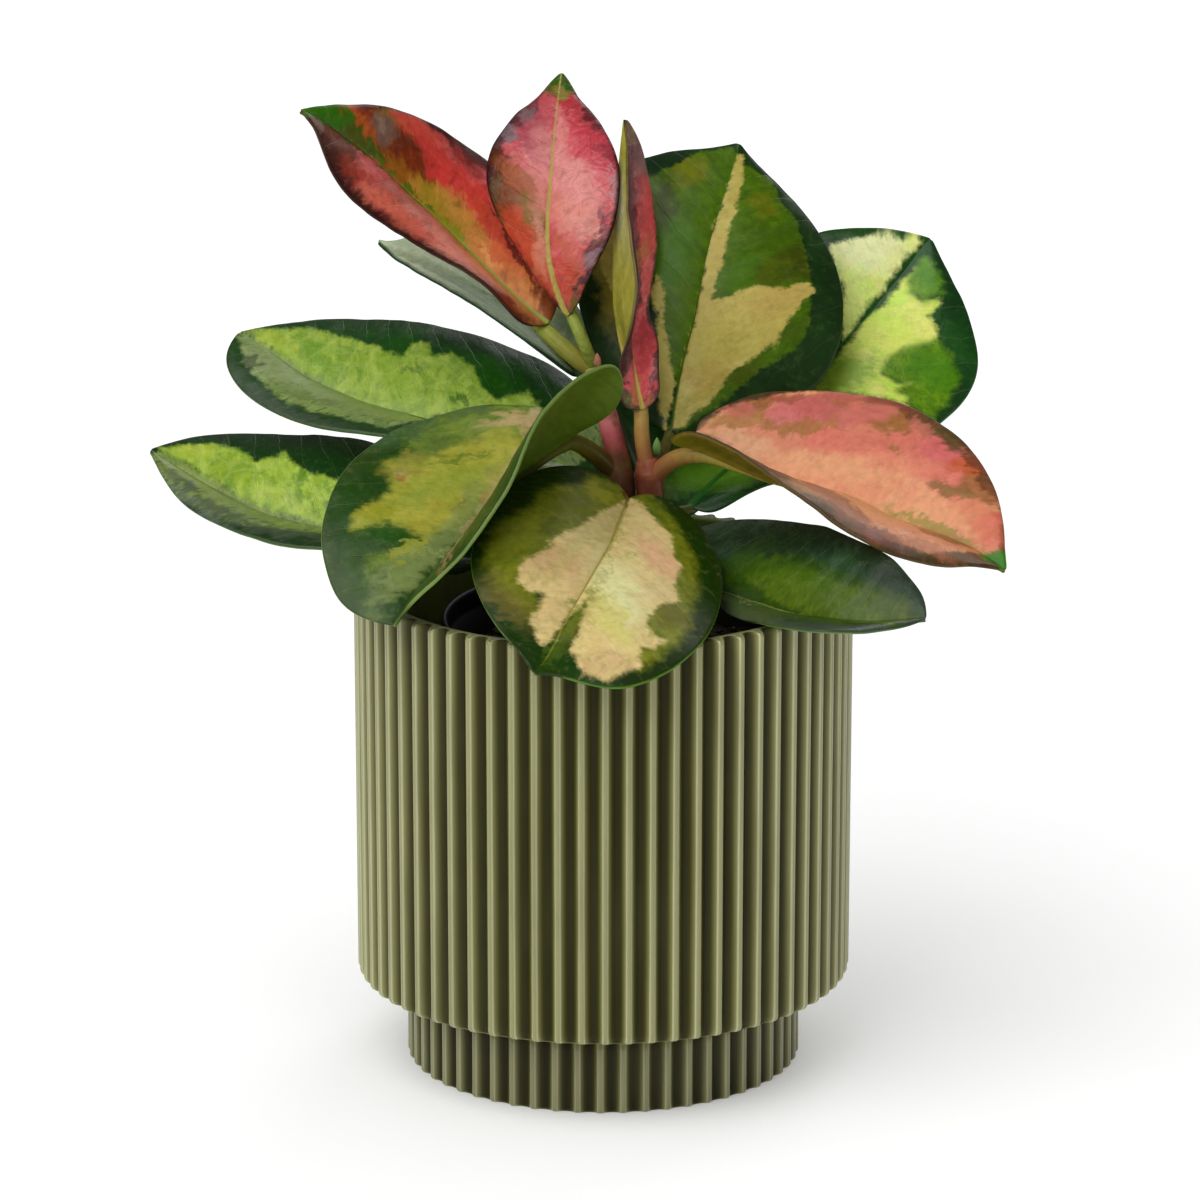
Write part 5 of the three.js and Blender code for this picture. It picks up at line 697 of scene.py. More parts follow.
    # stalk: round bar that runs on below the blade as a tapering rib
    stalk = np.array(lf["stalk"], float)
    Mi = spline(lf["mid"], np.linspace(0, 1, NROW)); Nm = N[:, w // 2]
    r0 = lf["stalk_r"]
    taper = (0.92, 0.80, 0.64, 0.48, 0.36, 0.24, 0.14, 0.07)
    run = [Mi[k2] - Nm[k2] * (0.30 * lf["thick"] + 0.85 * r0 * tp) for k2, tp in zip((4, 12, 22, 34, 48, 64, 86, 108), taper)]
    path = np.vstack([stalk[:-1], run])
    first = np.linspace(r0 * 1.06, r0, len(stalk) - 1)
    first[0] *= 0.80
    radii = np.r_[first, [r0 * tp for tp in taper]]
    tv, tf, tt, around = tube(path, radii, 20, 76)
    base = len(verts)
    verts = np.vstack([verts, tv]); faces += [[a + base for a in f] for f in tf]
    fl = np.vstack([fl, np.c_[around * 3.0, tt * 60.0]])
    sd = np.vstack([sd, np.full((len(tv), 3), -30.0)])
    rr = np.r_[rr, np.full(len(tv), 20.0)]; side = np.r_[side, np.zeros(len(tv))]
    pet = np.vstack([pet, np.c_[np.ones(len(tv)), tt]])
    ob = make_mesh("v_" + name, verts, faces, {
        "flat": ("FLOAT_VECTOR", np.c_[fl, side]),
        "patch": ("FLOAT_VECTOR", sd),
        "rimd": ("FLOAT", rr),
        "stalk": ("FLOAT", pet[:, 0]),
        "stalkt": ("FLOAT", pet[:, 1]),
    })
    settle(ob, name, look["slot"], leaf_material(name, look, length))
    return ob


def tube(points, radii, sides=16, steps=40, bumps=0.0, seed=0):
    """Closed bar along a smooth curve: verts, faces, along 0..1, around -1..1."""
    pts = np.asarray(points, float)
    c = np.r_[0, np.cumsum(np.linalg.norm(np.diff(pts, axis=0), axis=1) ** 0.5)]; c /= c[-1]
    tt = np.linspace(0, 1, steps)
    # resample to even parameters first, so the spline stays calm
    even = np.linspace(0, 1, 2 * len(pts) + 3)
    P0 = np.array([[np.interp(e, c, pts[:, k]) for k in range(3)] for e in even])
    for _ in range(2):
        P0[1:-1] = 0.25 * P0[:-2] + 0.5 * P0[1:-1] + 0.25 * P0[2:]
    C = spline(P0, tt)
    rad = np.interp(tt, c, radii)
    T = np.gradient(C, axis=0); T /= np.linalg.norm(T, axis=1)[:, None]
    ref = np.array([0.3, -1.0, 0.1]); verts, around, along = [], [], []
    a = np.cross(T[0], ref); a /= np.linalg.norm(a)
    for i in range(steps):
        a = a - T[i] * (a @ T[i]); a /= np.linalg.norm(a); b = np.cross(T[i], a)
        for k in range(sides):
            th = 2 * np.pi * k / sides
            d = math.cos(th) * a + math.sin(th) * b
            verts.append(C[i] + d * rad[i]); around.append(math.sin(th)); along.append(tt[i])
    verts = np.array(verts)
    if bumps:
        verts = verts + (verts - np.repeat(C, sides, axis=0)) * (bumps * fbm(verts / 1.6, seed, 3))[:, None]
    faces = []
    for i in range(steps - 1):
        for k in range(sides):
            k2 = (k + 1) % sides
            faces.append([i * sides + k, i * sides + k2, (i + 1) * sides + k2, (i + 1) * sides + k])
    s0, s1 = len(verts), len(verts) + 1
    verts = np.vstack([verts, C[0] - T[0] * rad[0] * 0.35, C[-1] + T[-1] * rad[-1] * 0.35])
    along += [0.0, 1.0]; around += [0.0, 0.0]
    for k in range(sides):
        k2 = (k + 1) % sides
        faces.append([s0, k2, k]); faces.append([s1, (steps - 1) * sides + k, (steps - 1) * sides + k2])
    return verts, faces, np.array(along), np.array(around)


def leaf_material(name, look, length):
    g = Nodes("mat_" + name)
    seed = float(look.get("seed", 1)) * 7.31
    X, Y, side = g.sep(g.attr("flat", True))
    sa, sb, sc = g.sep(g.attr("patch", True))
    rim = g.attr("rimd"); pet = g.attr("stalk"); pett = g.attr("stalkt")
    aX = g.math("ABSOLUTE", X)
    # veins leave the midrib at a slant: q is constant along one
    q = g.math("SUBTRACT", Y, g.math("MULTIPLY", aX, look.get("slant", 0.62)))
    sgn = g.math("SIGN", X)
    streak = g.comb(g.math("MULTIPLY", q, 0.24), g.math("MULTIPLY", aX, 0.12), g.math("ADD", g.math("MULTIPLY", sgn, 3.0), seed))
    plain = g.comb(g.math("MULTIPLY", X, 0.1), g.math("MULTIPLY", Y, 0.1), seed)
    warp = look.get("warp", 9.0)
    w1 = g.noise(plain, 2.3, 3.0, 0.55, 0.3, color=True)
    w2 = g.noise(streak, 1.6, 4.0, 0.62, 0.0, color=True)
    sh = g.new("ShaderNodeVectorMath"); sh.operation = "ADD"; g.link(w1, sh.inputs[0]); g.link(w2, sh.inputs[1])
    sh2 = g.new("ShaderNodeVectorMath"); sh2.operation = "MULTIPLY_ADD"; g.link(sh.outputs[0], sh2.inputs[0])
    sh2.inputs[1].default_value = (warp, warp, 0.0); sh2.inputs[2].default_value = (-warp, -warp, 0.0)
    sh3 = g.new("ShaderNodeVectorMath"); sh3.operation = "ADD"; g.link(sh2.outputs[0], sh3.inputs[0]); g.link(g.comb(X, Y, 0.0), sh3.inputs[1])
    flat0 = sh3.outputs[0]
    jag1 = g.math("SUBTRACT", g.noise(streak, 1.0, 3.0, 0.55), 0.5)
    jag2 = g.math("SUBTRACT", g.noise(plain, 4.5, 4.0, 0.62), 0.5)
    jag3 = g.math("SUBTRACT", g.noise(streak, 3.4, 4.0, 0.65), 0.5)
    jag4 = g.math("SUBTRACT", g.noise(plain, 14.0, 3.0, 0.6), 0.5)
    tone = g.noise(plain, 1.3, 3.0, 0.55)
    tone_s = g.noise(streak, 1.1, 4.0, 0.62)
    cells = g.noise(plain, look.get("cells", 3.4), 4.0, 0.6, 0.5)
    wob = g.math("ADD", g.math("MULTIPLY", jag1, look.get("wob", 0.6)), g.math("ADD", g.math("MULTIPLY", jag2, 0.6), g.math("MULTIPLY", jag3, 0.5)))
    tints = TINTS.get(name, [])

    def tinted(c, layer):
        for x, y, rx, ry, ang, hx, amount, soft, on in tints:
            if on == layer:
                c = g.mix(g.spot(flat0, x, y, rx, ry, ang, soft, amount, wob), c, lin(hx))
        return c
    bd = look["base"]
    col = g.mix(g.smooth(tone, 0.3, 0.7), lin(bd[0]), lin(bd[1]))
    if "base_rim" in look:
        col = g.mix(g.smooth(g.math("ADD", rim, g.math("MULTIPLY", jag1, 6.0)), 9.0, 1.0), col, lin(look["base_rim"]))
    col = tinted(col, "base")
    fields = {"a": sa, "b": sb, "c": sc}
    for zone in look["zones"]:
        z, c1, c2 = zone["z"], zone["c"][0], zone["c"][1]
        soft = zone.get("soft", 0.3) * 1.35
        d = g.math("ADD", fields[z], g.math("MULTIPLY", jag1, zone.get("jag", 3.6)))
        d = g.math("ADD", d, g.math("MULTIPLY", jag2, zone.get("jag2", 2.6)))
        d = g.math("ADD", d, g.math("MULTIPLY", jag3, zone.get("jag3", 1.0)))
        d = g.math("ADD", d, g.math("MULTIPLY", jag4, zone.get("jag4", 0.35)))
        d = g.math("ADD", d, zone.get("off", 0.0))
        m = g.smooth(d, -soft, soft)
        if zone.get("amount", 1.0) < 1.0:
            m = g.math("MULTIPLY", m, zone["amount"])
        zc = g.mix(g.smooth(tone_s, 0.32, 0.68), lin(c1), lin(c2))
        if len(zone["c"]) > 2:
            zc = g.mix(g.smooth(d, zone.get("in0", 3.0), zone.get("in1", 12.0)), zc, lin(zone["c"][2]))
        zc = g.mix(g.smooth(cells, 0.47, 0.60, 0.0, zone.get("mottle", 0.35)), zc, lin(zone.get("mc", bd[1])))
        if zone.get("dashes", 0) > 0:      # short dark strokes where the patch frays out
            zc = g.mix(g.math("MULTIPLY", g.smooth(jag3, 0.03, 0.11, 0.0, zone["dashes"]), g.smooth(fields[z], 10.0, 0.0)), zc, lin(bd[1]))
        zc = tinted(zc, z)
        col = g.mix(m, col, zc)
    col = tinted(col, "all")
    # small lighter and darker flecks in the tissue, so no field is one flat colour
    if "blotch" in look:
        hx, amount, lo, hi, scale = look["blotch"]
        patchy = g.math("ADD", g.math("MULTIPLY", g.noise(plain, scale, 5.0, 0.62, 0.6), 0.7), g.math("MULTIPLY", g.noise(streak, 1.7, 4.0, 0.6), 0.3))
        col = g.mix(g.smooth(patchy, lo, hi, 0.0, amount), col, lin(hx))
    col = g.mix(g.smooth(jag3, -0.25, 0.25), g.mix(1.0, col, (0.90, 0.90, 0.86, 1), "MULTIPLY"), col)
    col = g.mix(g.smooth(jag2, -0.25, 0.10), g.mix(1.0, col, (0.82, 0.84, 0.76, 1), "MULTIPLY"), col)
    col = g.mix(g.smooth(jag2, 0.02, 0.25, 0.0, look.get("lite", 0.10)), col, lin("#E6E6A0"))
    if look.get("specks", 0) > 0:
        sp = g.smooth(g.noise(plain, 15.0, 2.0, 0.5), 0.70, 0.75, 0.0, look["specks"])
        col = g.mix(g.math("MULTIPLY", sp, g.smooth(sa, 0.0, 2.0)), col, lin(bd[0]))
    # fine side veins and midrib
    vg = look.get("vein_gap", 10.0)
    qn = g.math("ADD", g.math("DIVIDE", g.math("SUBTRACT", q, g.math("MULTIPLY", g.math("MULTIPLY", aX, aX), 0.004)), vg),
                g.math("ADD", g.math("MULTIPLY", g.math("SUBTRACT", tone, 0.5), 0.35), g.math("MULTIPLY", g.math("GREATER_THAN", X, 0.0), 0.5)))
    fr = g.math("ABSOLUTE", g.math("SUBTRACT", g.math("FRACT", qn), 0.5))
    vein = g.math("MULTIPLY", g.smooth(fr, 0.475, 0.5), g.smooth(aX, 1.0, 4.0))
    col = g.mix(g.math("MULTIPLY", vein, look.get("vein", 0.07)), col, lin(look.get("vein_c", look.get("mid", bd[1]))))
    midw = g.math("SUBTRACT", look.get("mid_w", 0.8), g.math("MULTIPLY", Y, look.get("mid_w", 0.8) / (length * 1.15)))
    mm = g.smooth(g.math("SUBTRACT", g.math("ADD", midw, g.math("MULTIPLY", jag2, 0.5)), aX), -0.25, 0.25)
    col = g.mix(g.math("MULTIPLY", mm, look.get("mid_f", 0.85)), col, lin(look.get("mid", "#7C9440")))
    # margin line
    rimm = g.smooth(g.math("ADD", rim, g.math("MULTIPLY", jag2, 0.5)), look.get("rim_w", 0.7), 0.05, 0.0, look.get("rim_f", 0.8))
    col = g.mix(rimm, col, lin(look.get("rim", "#2A3A14")))
    if look.get("cellv", 0) > 0:
        net = g.voronoi(g.comb(g.math("ADD", g.math("MULTIPLY", X, 0.1), g.math("MULTIPLY", jag2, 0.12)), g.math("ADD", g.math("MULTIPLY", Y, 0.1), g.math("MULTIPLY", jag1, 0.12)), seed), look.get("cell_scale", 1.9), "DISTANCE_TO_EDGE", 1.0)
        netw = g.smooth(sa, -1.0, 3.0, look.get("cell_out", 0.15), 1.0)
        col = g.mix(g.math("MULTIPLY", g.math("MULTIPLY", g.smooth(net, 0.09, 0.0), netw), 0.24 * look["cellv"]), col, lin(look.get("cell_c", "#C8DC82")))
        col = g.mix(g.math("MULTIPLY", g.math("MULTIPLY", g.smooth(net, 0.08, 0.30), netw), 0.16 * look["cellv"]), col, g.mix(1.0, col, (0.72, 0.78, 0.62, 1), "MULTIPLY"))
    # tiny pale flecks on the wax
    fleck = g.voronoi(plain, 9.0, "F1", 1.0)
    fl_m = g.smooth(fleck, 0.045, 0.02, 0.0, look.get("flecks", 0.4))
    gate = g.smooth(g.noise(plain, 4.0, 1.0, 0.5), 0.55, 0.6)
    col = g.mix(g.math("MULTIPLY", fl_m, gate), col, lin("#D8DCC8"))
    # underside: duller and greyer, the patches only ghost through
    un = look["under"]
    ucol = g.mix(g.smooth(tone_s, 0.3, 0.7), lin(un[0]), lin(un[1]))
    ucol = g.mix(g.smooth(sa, -1.0, 2.0, 0.0, look.get("under_ghost", 0.3)), ucol, lin(un[2] if len(un) > 2 else un[1]))
    ucol = tinted(ucol, "under")
    ucol = g.mix(g.smooth(jag2, -0.2, 0.2), g.mix(1.0, ucol, (0.80, 0.83, 0.78, 1), "MULTIPLY"), ucol)
    ucol = g.mix(g.math("MULTIPLY", vein, 0.25), ucol, lin(look.get("under_vein", un[1])))
    ucol = g.mix(g.math("MULTIPLY", rimm, 0.8), ucol, lin(look.get("rim", "#2A3A14")))
    col = g.mix(g.smooth(side, 0.02, -0.02), col, ucol)
    # stalk
    st = look["stalk_c"]
    scol = g.mix(g.smooth(pett, 0.02, 0.42), lin(st[0]), lin(st[1]))
    scol = g.mix(g.smooth(pett, 0.5, 0.75), scol, lin(un[0]))
    scol = g.mix(g.smooth(g.noise(plain, 5.0, 3.0, 0.6), 0.45, 0.7, 0.0, 0.45), scol, lin(st[2] if len(st) > 2 else st[0]))
    col = g.mix(pet, col, scol)
    g.link(col, g.bsdf.inputs["Base Color"])
    rough = look.get("rough", 0.36)
    rg = g.math("ADD", g.math("MULTIPLY", g.math("SUBTRACT", g.noise(plain, 2.0, 3.0, 0.6), 0.5), 0.22), rough)
    rg = g.math("ADD", rg, g.smooth(side, 0.0, -0.5, 0.0, 0.10))
    g.link(rg, g.bsdf.inputs["Roughness"])
    g.bsdf.inputs["Specular IOR Level"].default_value = look.get("spec", 0.34)
    g.bsdf.inputs["IOR"].default_value = 1.45
    hgt = g.math("MULTIPLY", vein, -0.6)
    hgt = g.math("ADD", hgt, g.math("MULTIPLY", g.noise(plain, 11.0, 4.0, 0.6), 0.5))
    if look.get("crinkle", 0) > 0:
        cr = g.noise(g.comb(g.math("MULTIPLY", X, 0.1), g.math("MULTIPLY", Y, 0.1), seed + 3.0), look.get("cr_scale", 2.6), 2.0, 0.5, 1.1)
        ridg = g.math("ABSOLUTE", g.math("SUBTRACT", cr, 0.5))
        crk = g.math("MULTIPLY", g.smooth(ridg, 0.0, 0.16), look["crinkle"])
        if "cr_side" in look:      # the folds are deeper on one half of the blade
            crk = g.math("MULTIPLY", crk, g.smooth(g.math("MULTIPLY", X, look["cr_side"]), -5.0, 5.0, 0.25, 1.0))
        hgt = g.math("ADD", hgt, crk)
        if "cr_c" in look:         # folds catch a paler sheen along their ridges
            # painted sheen: a paler colour painted along the fold ridges, used when a look gives cr_c
            fold = g.math("MULTIPLY", g.smooth(ridg, 0.035, 0.0), g.smooth(g.math("MULTIPLY", X, look.get("cr_side", 1.0)), -4.0, 5.0, 0.1, 1.0))
            fold_sheen_col = g.mix(g.math("MULTIPLY", g.math("MULTIPLY", fold, 0.28), g.math("SUBTRACT", 1.0, pet)), col, lin(look["cr_c"]))
            g.link(fold_sheen_col, g.bsdf.inputs["Base Color"])
    if look.get("cellv", 0) > 0:   # quilting between the finest veins
        hgt = g.math("ADD", hgt, g.math("MULTIPLY", g.math("MULTIPLY", g.smooth(net, 0.0, 0.25), netw), 0.9 * look["cellv"]))
    g.link(g.bump(hgt, look.get("bump", 0.35), look.get("bump_d", 0.25)), g.bsdf.inputs["Normal"])
    return g.mat


# floor glow next to the pot, kept below FLOOR_FAR as painted shade around the pot
FLOOR_GLOW_NEAR_SHADED = 0.66
FLOOR_FAR = 0.73
WORLD = 0.115
# name, place, target, size (m), power (W)
LIGHTS = [
    ("key", (-1.08, -1.2, 2.3), (0, 0, 0.14), 2.6, 57),
    ("front", (-0.5, -2.6, 1.75), (0, 0, 0.12), 1.1, 11),
    ("rim", (0.85, 1.7, 1.5), (0, 0, 0.14), 1.2, 10),
    ("edge", (1.15, -1.5, 0.55), (0, 0, 0.12), 0.1, 0.35, 0.8),
]
LOOKS = {
    "leaf_pink_left": dict(slot="leaf_pink",
        seed=1,
        base=("#622018", "#852B20"),
        base_rim="#40150F",
        zones=[dict(z="a", c=("#C54144", "#DE5F5F", "#D65554"), soft=0.82, mottle=0.3, mc="#EF896E"),
              dict(z="b", c=("#71641C", "#8D7023"), soft=1.1, amount=0.85, mottle=0.4, mc="#BC5D34"),
              dict(z="c", c=("#678E1A", "#799E23"), soft=0.58)],
        mid="#8A9327",
        mid_w=1.1,
        mid_f=0.95,
        vein_c="#E28E52",
        vein=0.063,
        rim="#2A0D0A",
        rim_w=1.7,
        rim_f=0.95,
        under=("#877D3A", "#9A883D", "#BF7345"),
        stalk_c=("#8A8434", "#98A83C", "#7A7434"),
        rough=0.34,
        spec=0.24,
        crinkle=0.3,
        bump=0.3,
        bump_d=0.3,
        lite=0.04,
        warp=7,
        blotch=("#4A1614", 0.55, 0.5, 0.72, 2.2),
        lump=0.07,
        specks=0),
    "leaf_pink_top": dict(slot="leaf_pink",
        seed=2,
        base=("#48161D", "#672129"),
        base_rim="#38141E",
        zones=[dict(z="a", c=("#BD3F4B", "#DA676D", "#DF8584"), in0=4, in1=12, soft=0.88, mottle=0.35, mc="#E99B95"),
              dict(z="b", c=("#A44821", "#7C581B"), soft=0.94, amount=0.85, mottle=0.45, mc="#C35838"),
              dict(z="c", c=("#4D6515", "#677721"), soft=0.46)],
        mid="#B09F51",
        mid_w=1,
        mid_f=0.95,
        vein_c="#E38C7F",
        vein=0.077,
        rim="#25070A",
        rim_w=1.7,
        rim_f=0.97,
        under=("#87653C", "#966E41", "#B46551"),
        stalk_c=("#7F8A34", "#9EAA48", "#5A6A2A"),
        rough=0.32,
        spec=0.3,
        crinkle=1.15,
        cr_scale=1.5,
        cr_side=1,
        bump=0.45,
        bump_d=0.6,
        lite=0.05,
        warp=7,
        blotch=("#6A2230", 0.4, 0.52, 0.72, 2.4),
        lump=0.1,
        specks=0),
    "leaf_pink_twisted": dict(slot="leaf_pink",
        seed=3,
        base=("#642528", "#874345"),
        base_rim="#5F4040",
        zones=[dict(z="a", c=("#DE4F58", "#F66E74"), soft=0.64, mottle=0.25, mc="#F69193"),
              dict(z="b", c=("#D47540", "#AF8A40"), soft=0.7, amount=0.8),
              dict(z="c", c=("#8DB240", "#A1C64E"), soft=0.46)],
        mid="#C5B85A",
        mid_w=0.8,
        mid_f=0.9,
        vein_c="#F6B293",
        vein=0.052,
        rim="#442A28",
        rim_w=1.4,
        rim_f=0.92,
        under=("#A49C34", "#B4AA45", "#B4AA45"),
        stalk_c=("#96502E", "#C2AC56", "#A0683A"),
        rough=0.33,
        crinkle=0.4,
        bump=0.4,
        blotch=("#4A1A1C", 0.28, 0.52, 0.74, 2.6),
        lump=0.06),
    "leaf_cream_large": dict(slot="leaf_cream",
        seed=4,
        base=("#15300D", "#1D3E10"),
        zones=[dict(z="b", off=1, c=("#426301", "#577B03"), soft=0.46, mottle=0.3, mc="#385502"),
              dict(z="a", c=("#C1AE56", "#CFBE68"), soft=0.5, mottle=0.25, mc="#B7B54C"),
              dict(z="c", c=("#3D3601", "#524401"), soft=1.1, amount=0.5)],
        mid="#385F11",
        mid_w=0.45,
        mid_f=0.9,
        vein_c="#728B32",
        vein=0.035,
        rim="#25340B",
        rim_w=0.7,
        under=("#5C7512", "#6F8418", "#A39F23"),
        stalk_c=("#5A4A22", "#6A7A2A", "#4A3A1C"),
        rough=0.36,
        specks=0,
        lite=0.03,
        spec=0.26),
    "leaf_pale_back": dict(slot="leaf_green",
        seed=5,
        base=("#133F13", "#1D5216"),
        zones=[dict(z="b", c=("#D6F65D", "#F6F682"), soft=0.9, mottle=0.3, mc="#C0F64A"),
              dict(z="c", off=0.8, c=("#5D8707", "#77A410"), soft=1.2, mottle=0.45, mc="#396F08"),
              dict(z="a", c=("#E5F678", "#F6F699"), soft=0.8, mottle=0.5, mc="#C2F662")],
        mid="#2E6F23",
        mid_w=1.1,
        mid_f=0.9,
        vein_c="#E7F286",
        vein=0.035,
        rim="#205E10",
        rim_w=0.7,
        under=("#6D9540", "#85AD4F", "#BBD96C"),
        stalk_c=("#4E5A26", "#6C7A32", "#3A3A1C"),
        rough=0.33,
        crinkle=0.4,
        lite=0.02,
        warp=5,
        cellv=0.4,
        cell_out=0,
        cell_scale=1.3,
        cell_c="#E0ECB8"),
    "leaf_folded_front": dict(slot="leaf_green",
        seed=6,
        base=("#1C4102", "#274C04"),
        base_rim="#2E470D",
        zones=[dict(z="b", c=("#678027", "#809438"), soft=1.8, mottle=0.35, mc="#537127"),
              dict(z="a", c=("#A4A130", "#B9B546"), soft=1.5, mottle=0.3, mc="#96A438"),
              dict(z="c", c=("#B69C6B", "#C1AB78"), soft=0.64, amount=0.85)],
        mid="#98AC4C",
        mid_w=0.7,
        mid_f=0.7,
        vein_c="#B0B845",
        vein=0.06,
        rim="#7C964C",
        rim_w=0.5,
        under=("#4F6813", "#5D7518", "#677D1F"),
        under_vein="#80912E",
        stalk_c=("#4E3412", "#5E6018", "#54460F"),
        rough=0.34,
        lite=0.05,
        crinkle=0.25,
        vein_gap=11),
    "leaf_round_front": dict(slot="leaf_cream",
        seed=7,
        base=("#153301", "#1F4002"),
        base_rim="#1F3402",
        zones=[dict(z="b", off=2.2, c=("#757D15", "#8A8E1E"), soft=1.7, mottle=0.4, mc="#566711"),
              dict(z="a", c=("#E9CB88", "#F5DB9A"), soft=0.75, mottle=0.25, mc="#DED079"),
              dict(z="c", c=("#D8CC70", "#E1C08A"), soft=1.1, amount=0.4)],
        mid="#9C9534",
        mid_w=0.8,
        mid_f=0.6,
        vein_c="#BAA444",
        vein=0.056,
        rim="#538017",
        rim_w=0.5,
        under=("#546D26", "#657A30", "#9D9452"),
        stalk_c=("#6A3A2A", "#8A5A34", "#5A2A22"),
        rough=0.4,
        specks=0.1,
        lite=0.06,
        spec=0.22),
    "leaf_left_upper": dict(slot="leaf_green",
        seed=8,
        base=("#113B0D", "#1C4C12"),
        base_rim="#25441A",
        zones=[dict(z="b", off=1.2, c=("#788E4B", "#97AC60"), soft=0.7, mottle=0.4, dashes=0.8, mc="#668445"),
              dict(z="a", c=("#8EB139", "#B0CA54"), soft=0.8, mottle=0.55, mc="#719937")],
        mid="#8FAC3F",
        mid_w=0.6,
        mid_f=0.7,
        vein_c="#BDD764",
        vein=0.022,
        rim="#426126",
        rim_w=0.6,
        under=("#788E5C", "#8CA26F", "#9CAC75"),
        stalk_c=("#4E5A26", "#6C7A32", "#3A3A1C"),
        rough=0.34,
        specks=0.8,
        crinkle=0.3,
        lite=0.04,
        cells=2.4,
        cellv=0.6,
        cell_out=0,
        cell_scale=1.25),
    "leaf_left_lower": dict(slot="leaf_green",
        seed=9,
        base=("#0E380E", "#174411"),
        base_rim="#203C1A",
        zones=[dict(z="b", off=1.2, c=("#7B9148", "#97AB5C"), soft=0.7, mottle=0.4, dashes=0.8, mc="#698642"),
              dict(z="a", c=("#9EBE36", "#BED852"), soft=0.8, mottle=0.55, mc="#6E9B30")],
        mid="#44741C",
        mid_w=0.5,
        mid_f=0.8,
        vein_c="#DEEC78",
        vein=0.04,
        rim="#3D5C1F",
        rim_w=0.6,
        under=("#90A270", "#A0AF80", "#A0AF70"),
        stalk_c=("#4E5A26", "#6C7A32", "#3A3A1C"),
        rough=0.34,
        specks=0.8,
        crinkle=0.3,
        lite=0.04,
        cells=2.4,
        cellv=0.9,
        cell_out=0,
        cell_scale=1.4),
    "leaf_grey_back": dict(slot="leaf_green",
        seed=10,
        base=("#1C4718", "#2A551E"),
        zones=[dict(z="b", c=("#5E7E2A", "#6F8F38"), soft=0.58)],
        mid="#5E7E30",
        rim="#15321A",
        rim_w=0.7,
        under=("#B6CBA8", "#D0E5C2", "#D0E5C2"),
        under_vein="#E8F6CE",
        stalk_c=("#2A3A1C", "#3A4A24", "#20301A"),
        rough=0.4,
        crinkle=0.2,
        warp=2.5),
    "leaf_pink_right": dict(slot="leaf_pink",
        seed=11,
        base=("#634C24", "#534C22"),
        base_rim="#4E3C22",
        zones=[dict(z="a", c=("#E58E67", "#F5A878", "#F29E76"), soft=0.7, mottle=0.3, mc="#F6BB83"),
              dict(z="c", c=("#D96359", "#E8776B"), soft=1.1, amount=0.85, mottle=0.2, mc="#F2947A"),
              dict(z="b", c=("#905D28", "#A76B37"), soft=0.82, off=-1.5, amount=0.85, mottle=0.4, mc="#C86D4C")],
        mid="#C88E46",
        mid_w=0.9,
        mid_f=0.8,
        vein_c="#F6BB83",
        vein=0.056,
        rim="#4E3C1C",
        rim_w=0.8,
        under=("#907D22", "#A78E31", "#AF8E3D"),
        under_vein="#C09E44",
        stalk_c=("#98563A", "#ACA044", "#985838"),
        rough=0.38,
        spec=0.28,
        crinkle=0.15,
        bump=0.18,
        lite=0.03,
        warp=6,
        blotch=("#CC5C58", 0.35, 0.5, 0.72, 2.4)),
    "leaf_right_lower": dict(slot="leaf_green",
        seed=12,
        base=("#1F3D23", "#2D4E28"),
        base_rim="#414E41",
        zones=[dict(z="b", c=("#264705", "#3A5609"), soft=1.1, mottle=0.3, mc="#1F3B07"),
              dict(z="a", c=("#50680A", "#677C14"), soft=0.82, mottle=0.5, mc="#375509")],
        mid="#A0AA5A",
        mid_w=0.4,
        mid_f=0.7,
        vein_c="#839432",
        vein=0.035,
        rim="#375318",
        rim_w=0.6,
        under=("#8A9C78", "#98AA84", "#98AA84"),
        stalk_c=("#4E5A26", "#6C7A32", "#3A3A1C"),
        rough=0.31,
        specks=0.3,
        crinkle=0.3,
        lite=0,
        bump_d=0.25,
        spec=0.28,
        cellv=0.35,
        cell_scale=1.7,
        cell_c="#7F9C5A",
        cell_out=0.3),
}

for _name in LEAVES:
    leaf(_name, LEAVES[_name], LOOKS[_name])


# ------------------------------------------------------------------ stems ---
def stem_material(name, grad, lo, hi, spots):
    g = Nodes(name)
    pos = g.new("ShaderNodeTexCoord").outputs["Object"]
    x, y, z = g.sep(pos)
    t = g.smooth(z, lo * MM, hi * MM)
    tl = g.new("ShaderNodeMapRange"); g.link(z, tl.inputs["Value"])
    tl.inputs["From Min"].default_value = lo * MM; tl.inputs["From Max"].default_value = hi * MM
    ramp = g.new("ShaderNodeValToRGB"); g.link(tl.outputs["Result"], ramp.inputs[0])
    el = ramp.color_ramp.elements
    el[0].position, el[0].color = grad[0][0], lin(grad[0][1])
    el[1].position, el[1].color = grad[-1][0], lin(grad[-1][1])
    for p, c in grad[1:-1]:
        e = el.new(p); e.color = lin(c)
    n1 = g.noise(pos, 420.0, 4.0, 0.6)
    n2 = g.noise(pos, 150.0, 3.0, 0.6)
    col = g.mix(g.smooth(n2, 0.42, 0.68, 0.0, 0.6), ramp.outputs["Color"], lin(spots))
    pale = g.smooth(g.voronoi(pos, 900.0), 0.14, 0.06, 0.0, 0.4)
    col = g.mix(g.math("MULTIPLY", pale, g.smooth(n1, 0.5, 0.6)), col, lin("#B89A7A"))
    g.link(col, g.bsdf.inputs["Base Color"])
    g.link(g.math("ADD", g.math("MULTIPLY", n1, 0.2), 0.34), g.bsdf.inputs["Roughness"])
    g.bsdf.inputs["Specular IOR Level"].default_value = 0.22
    g.link(g.bump(g.math("ADD", n1, g.math("MULTIPLY", n2, 0.8)), 0.35, 0.25), g.bsdf.inputs["Normal"])
    return g.mat


for _name, st in STEMS.items():
    v, f, t, a = tube(st["path"], st["radii"], 40, 150, 0.03, 11)
    ob = make_mesh("v_" + _name, v, f)
    settle(ob, _name, "stem", stem_material("mat_" + _name, st["grad"], st["lo"], st["hi"], st["spots"]))

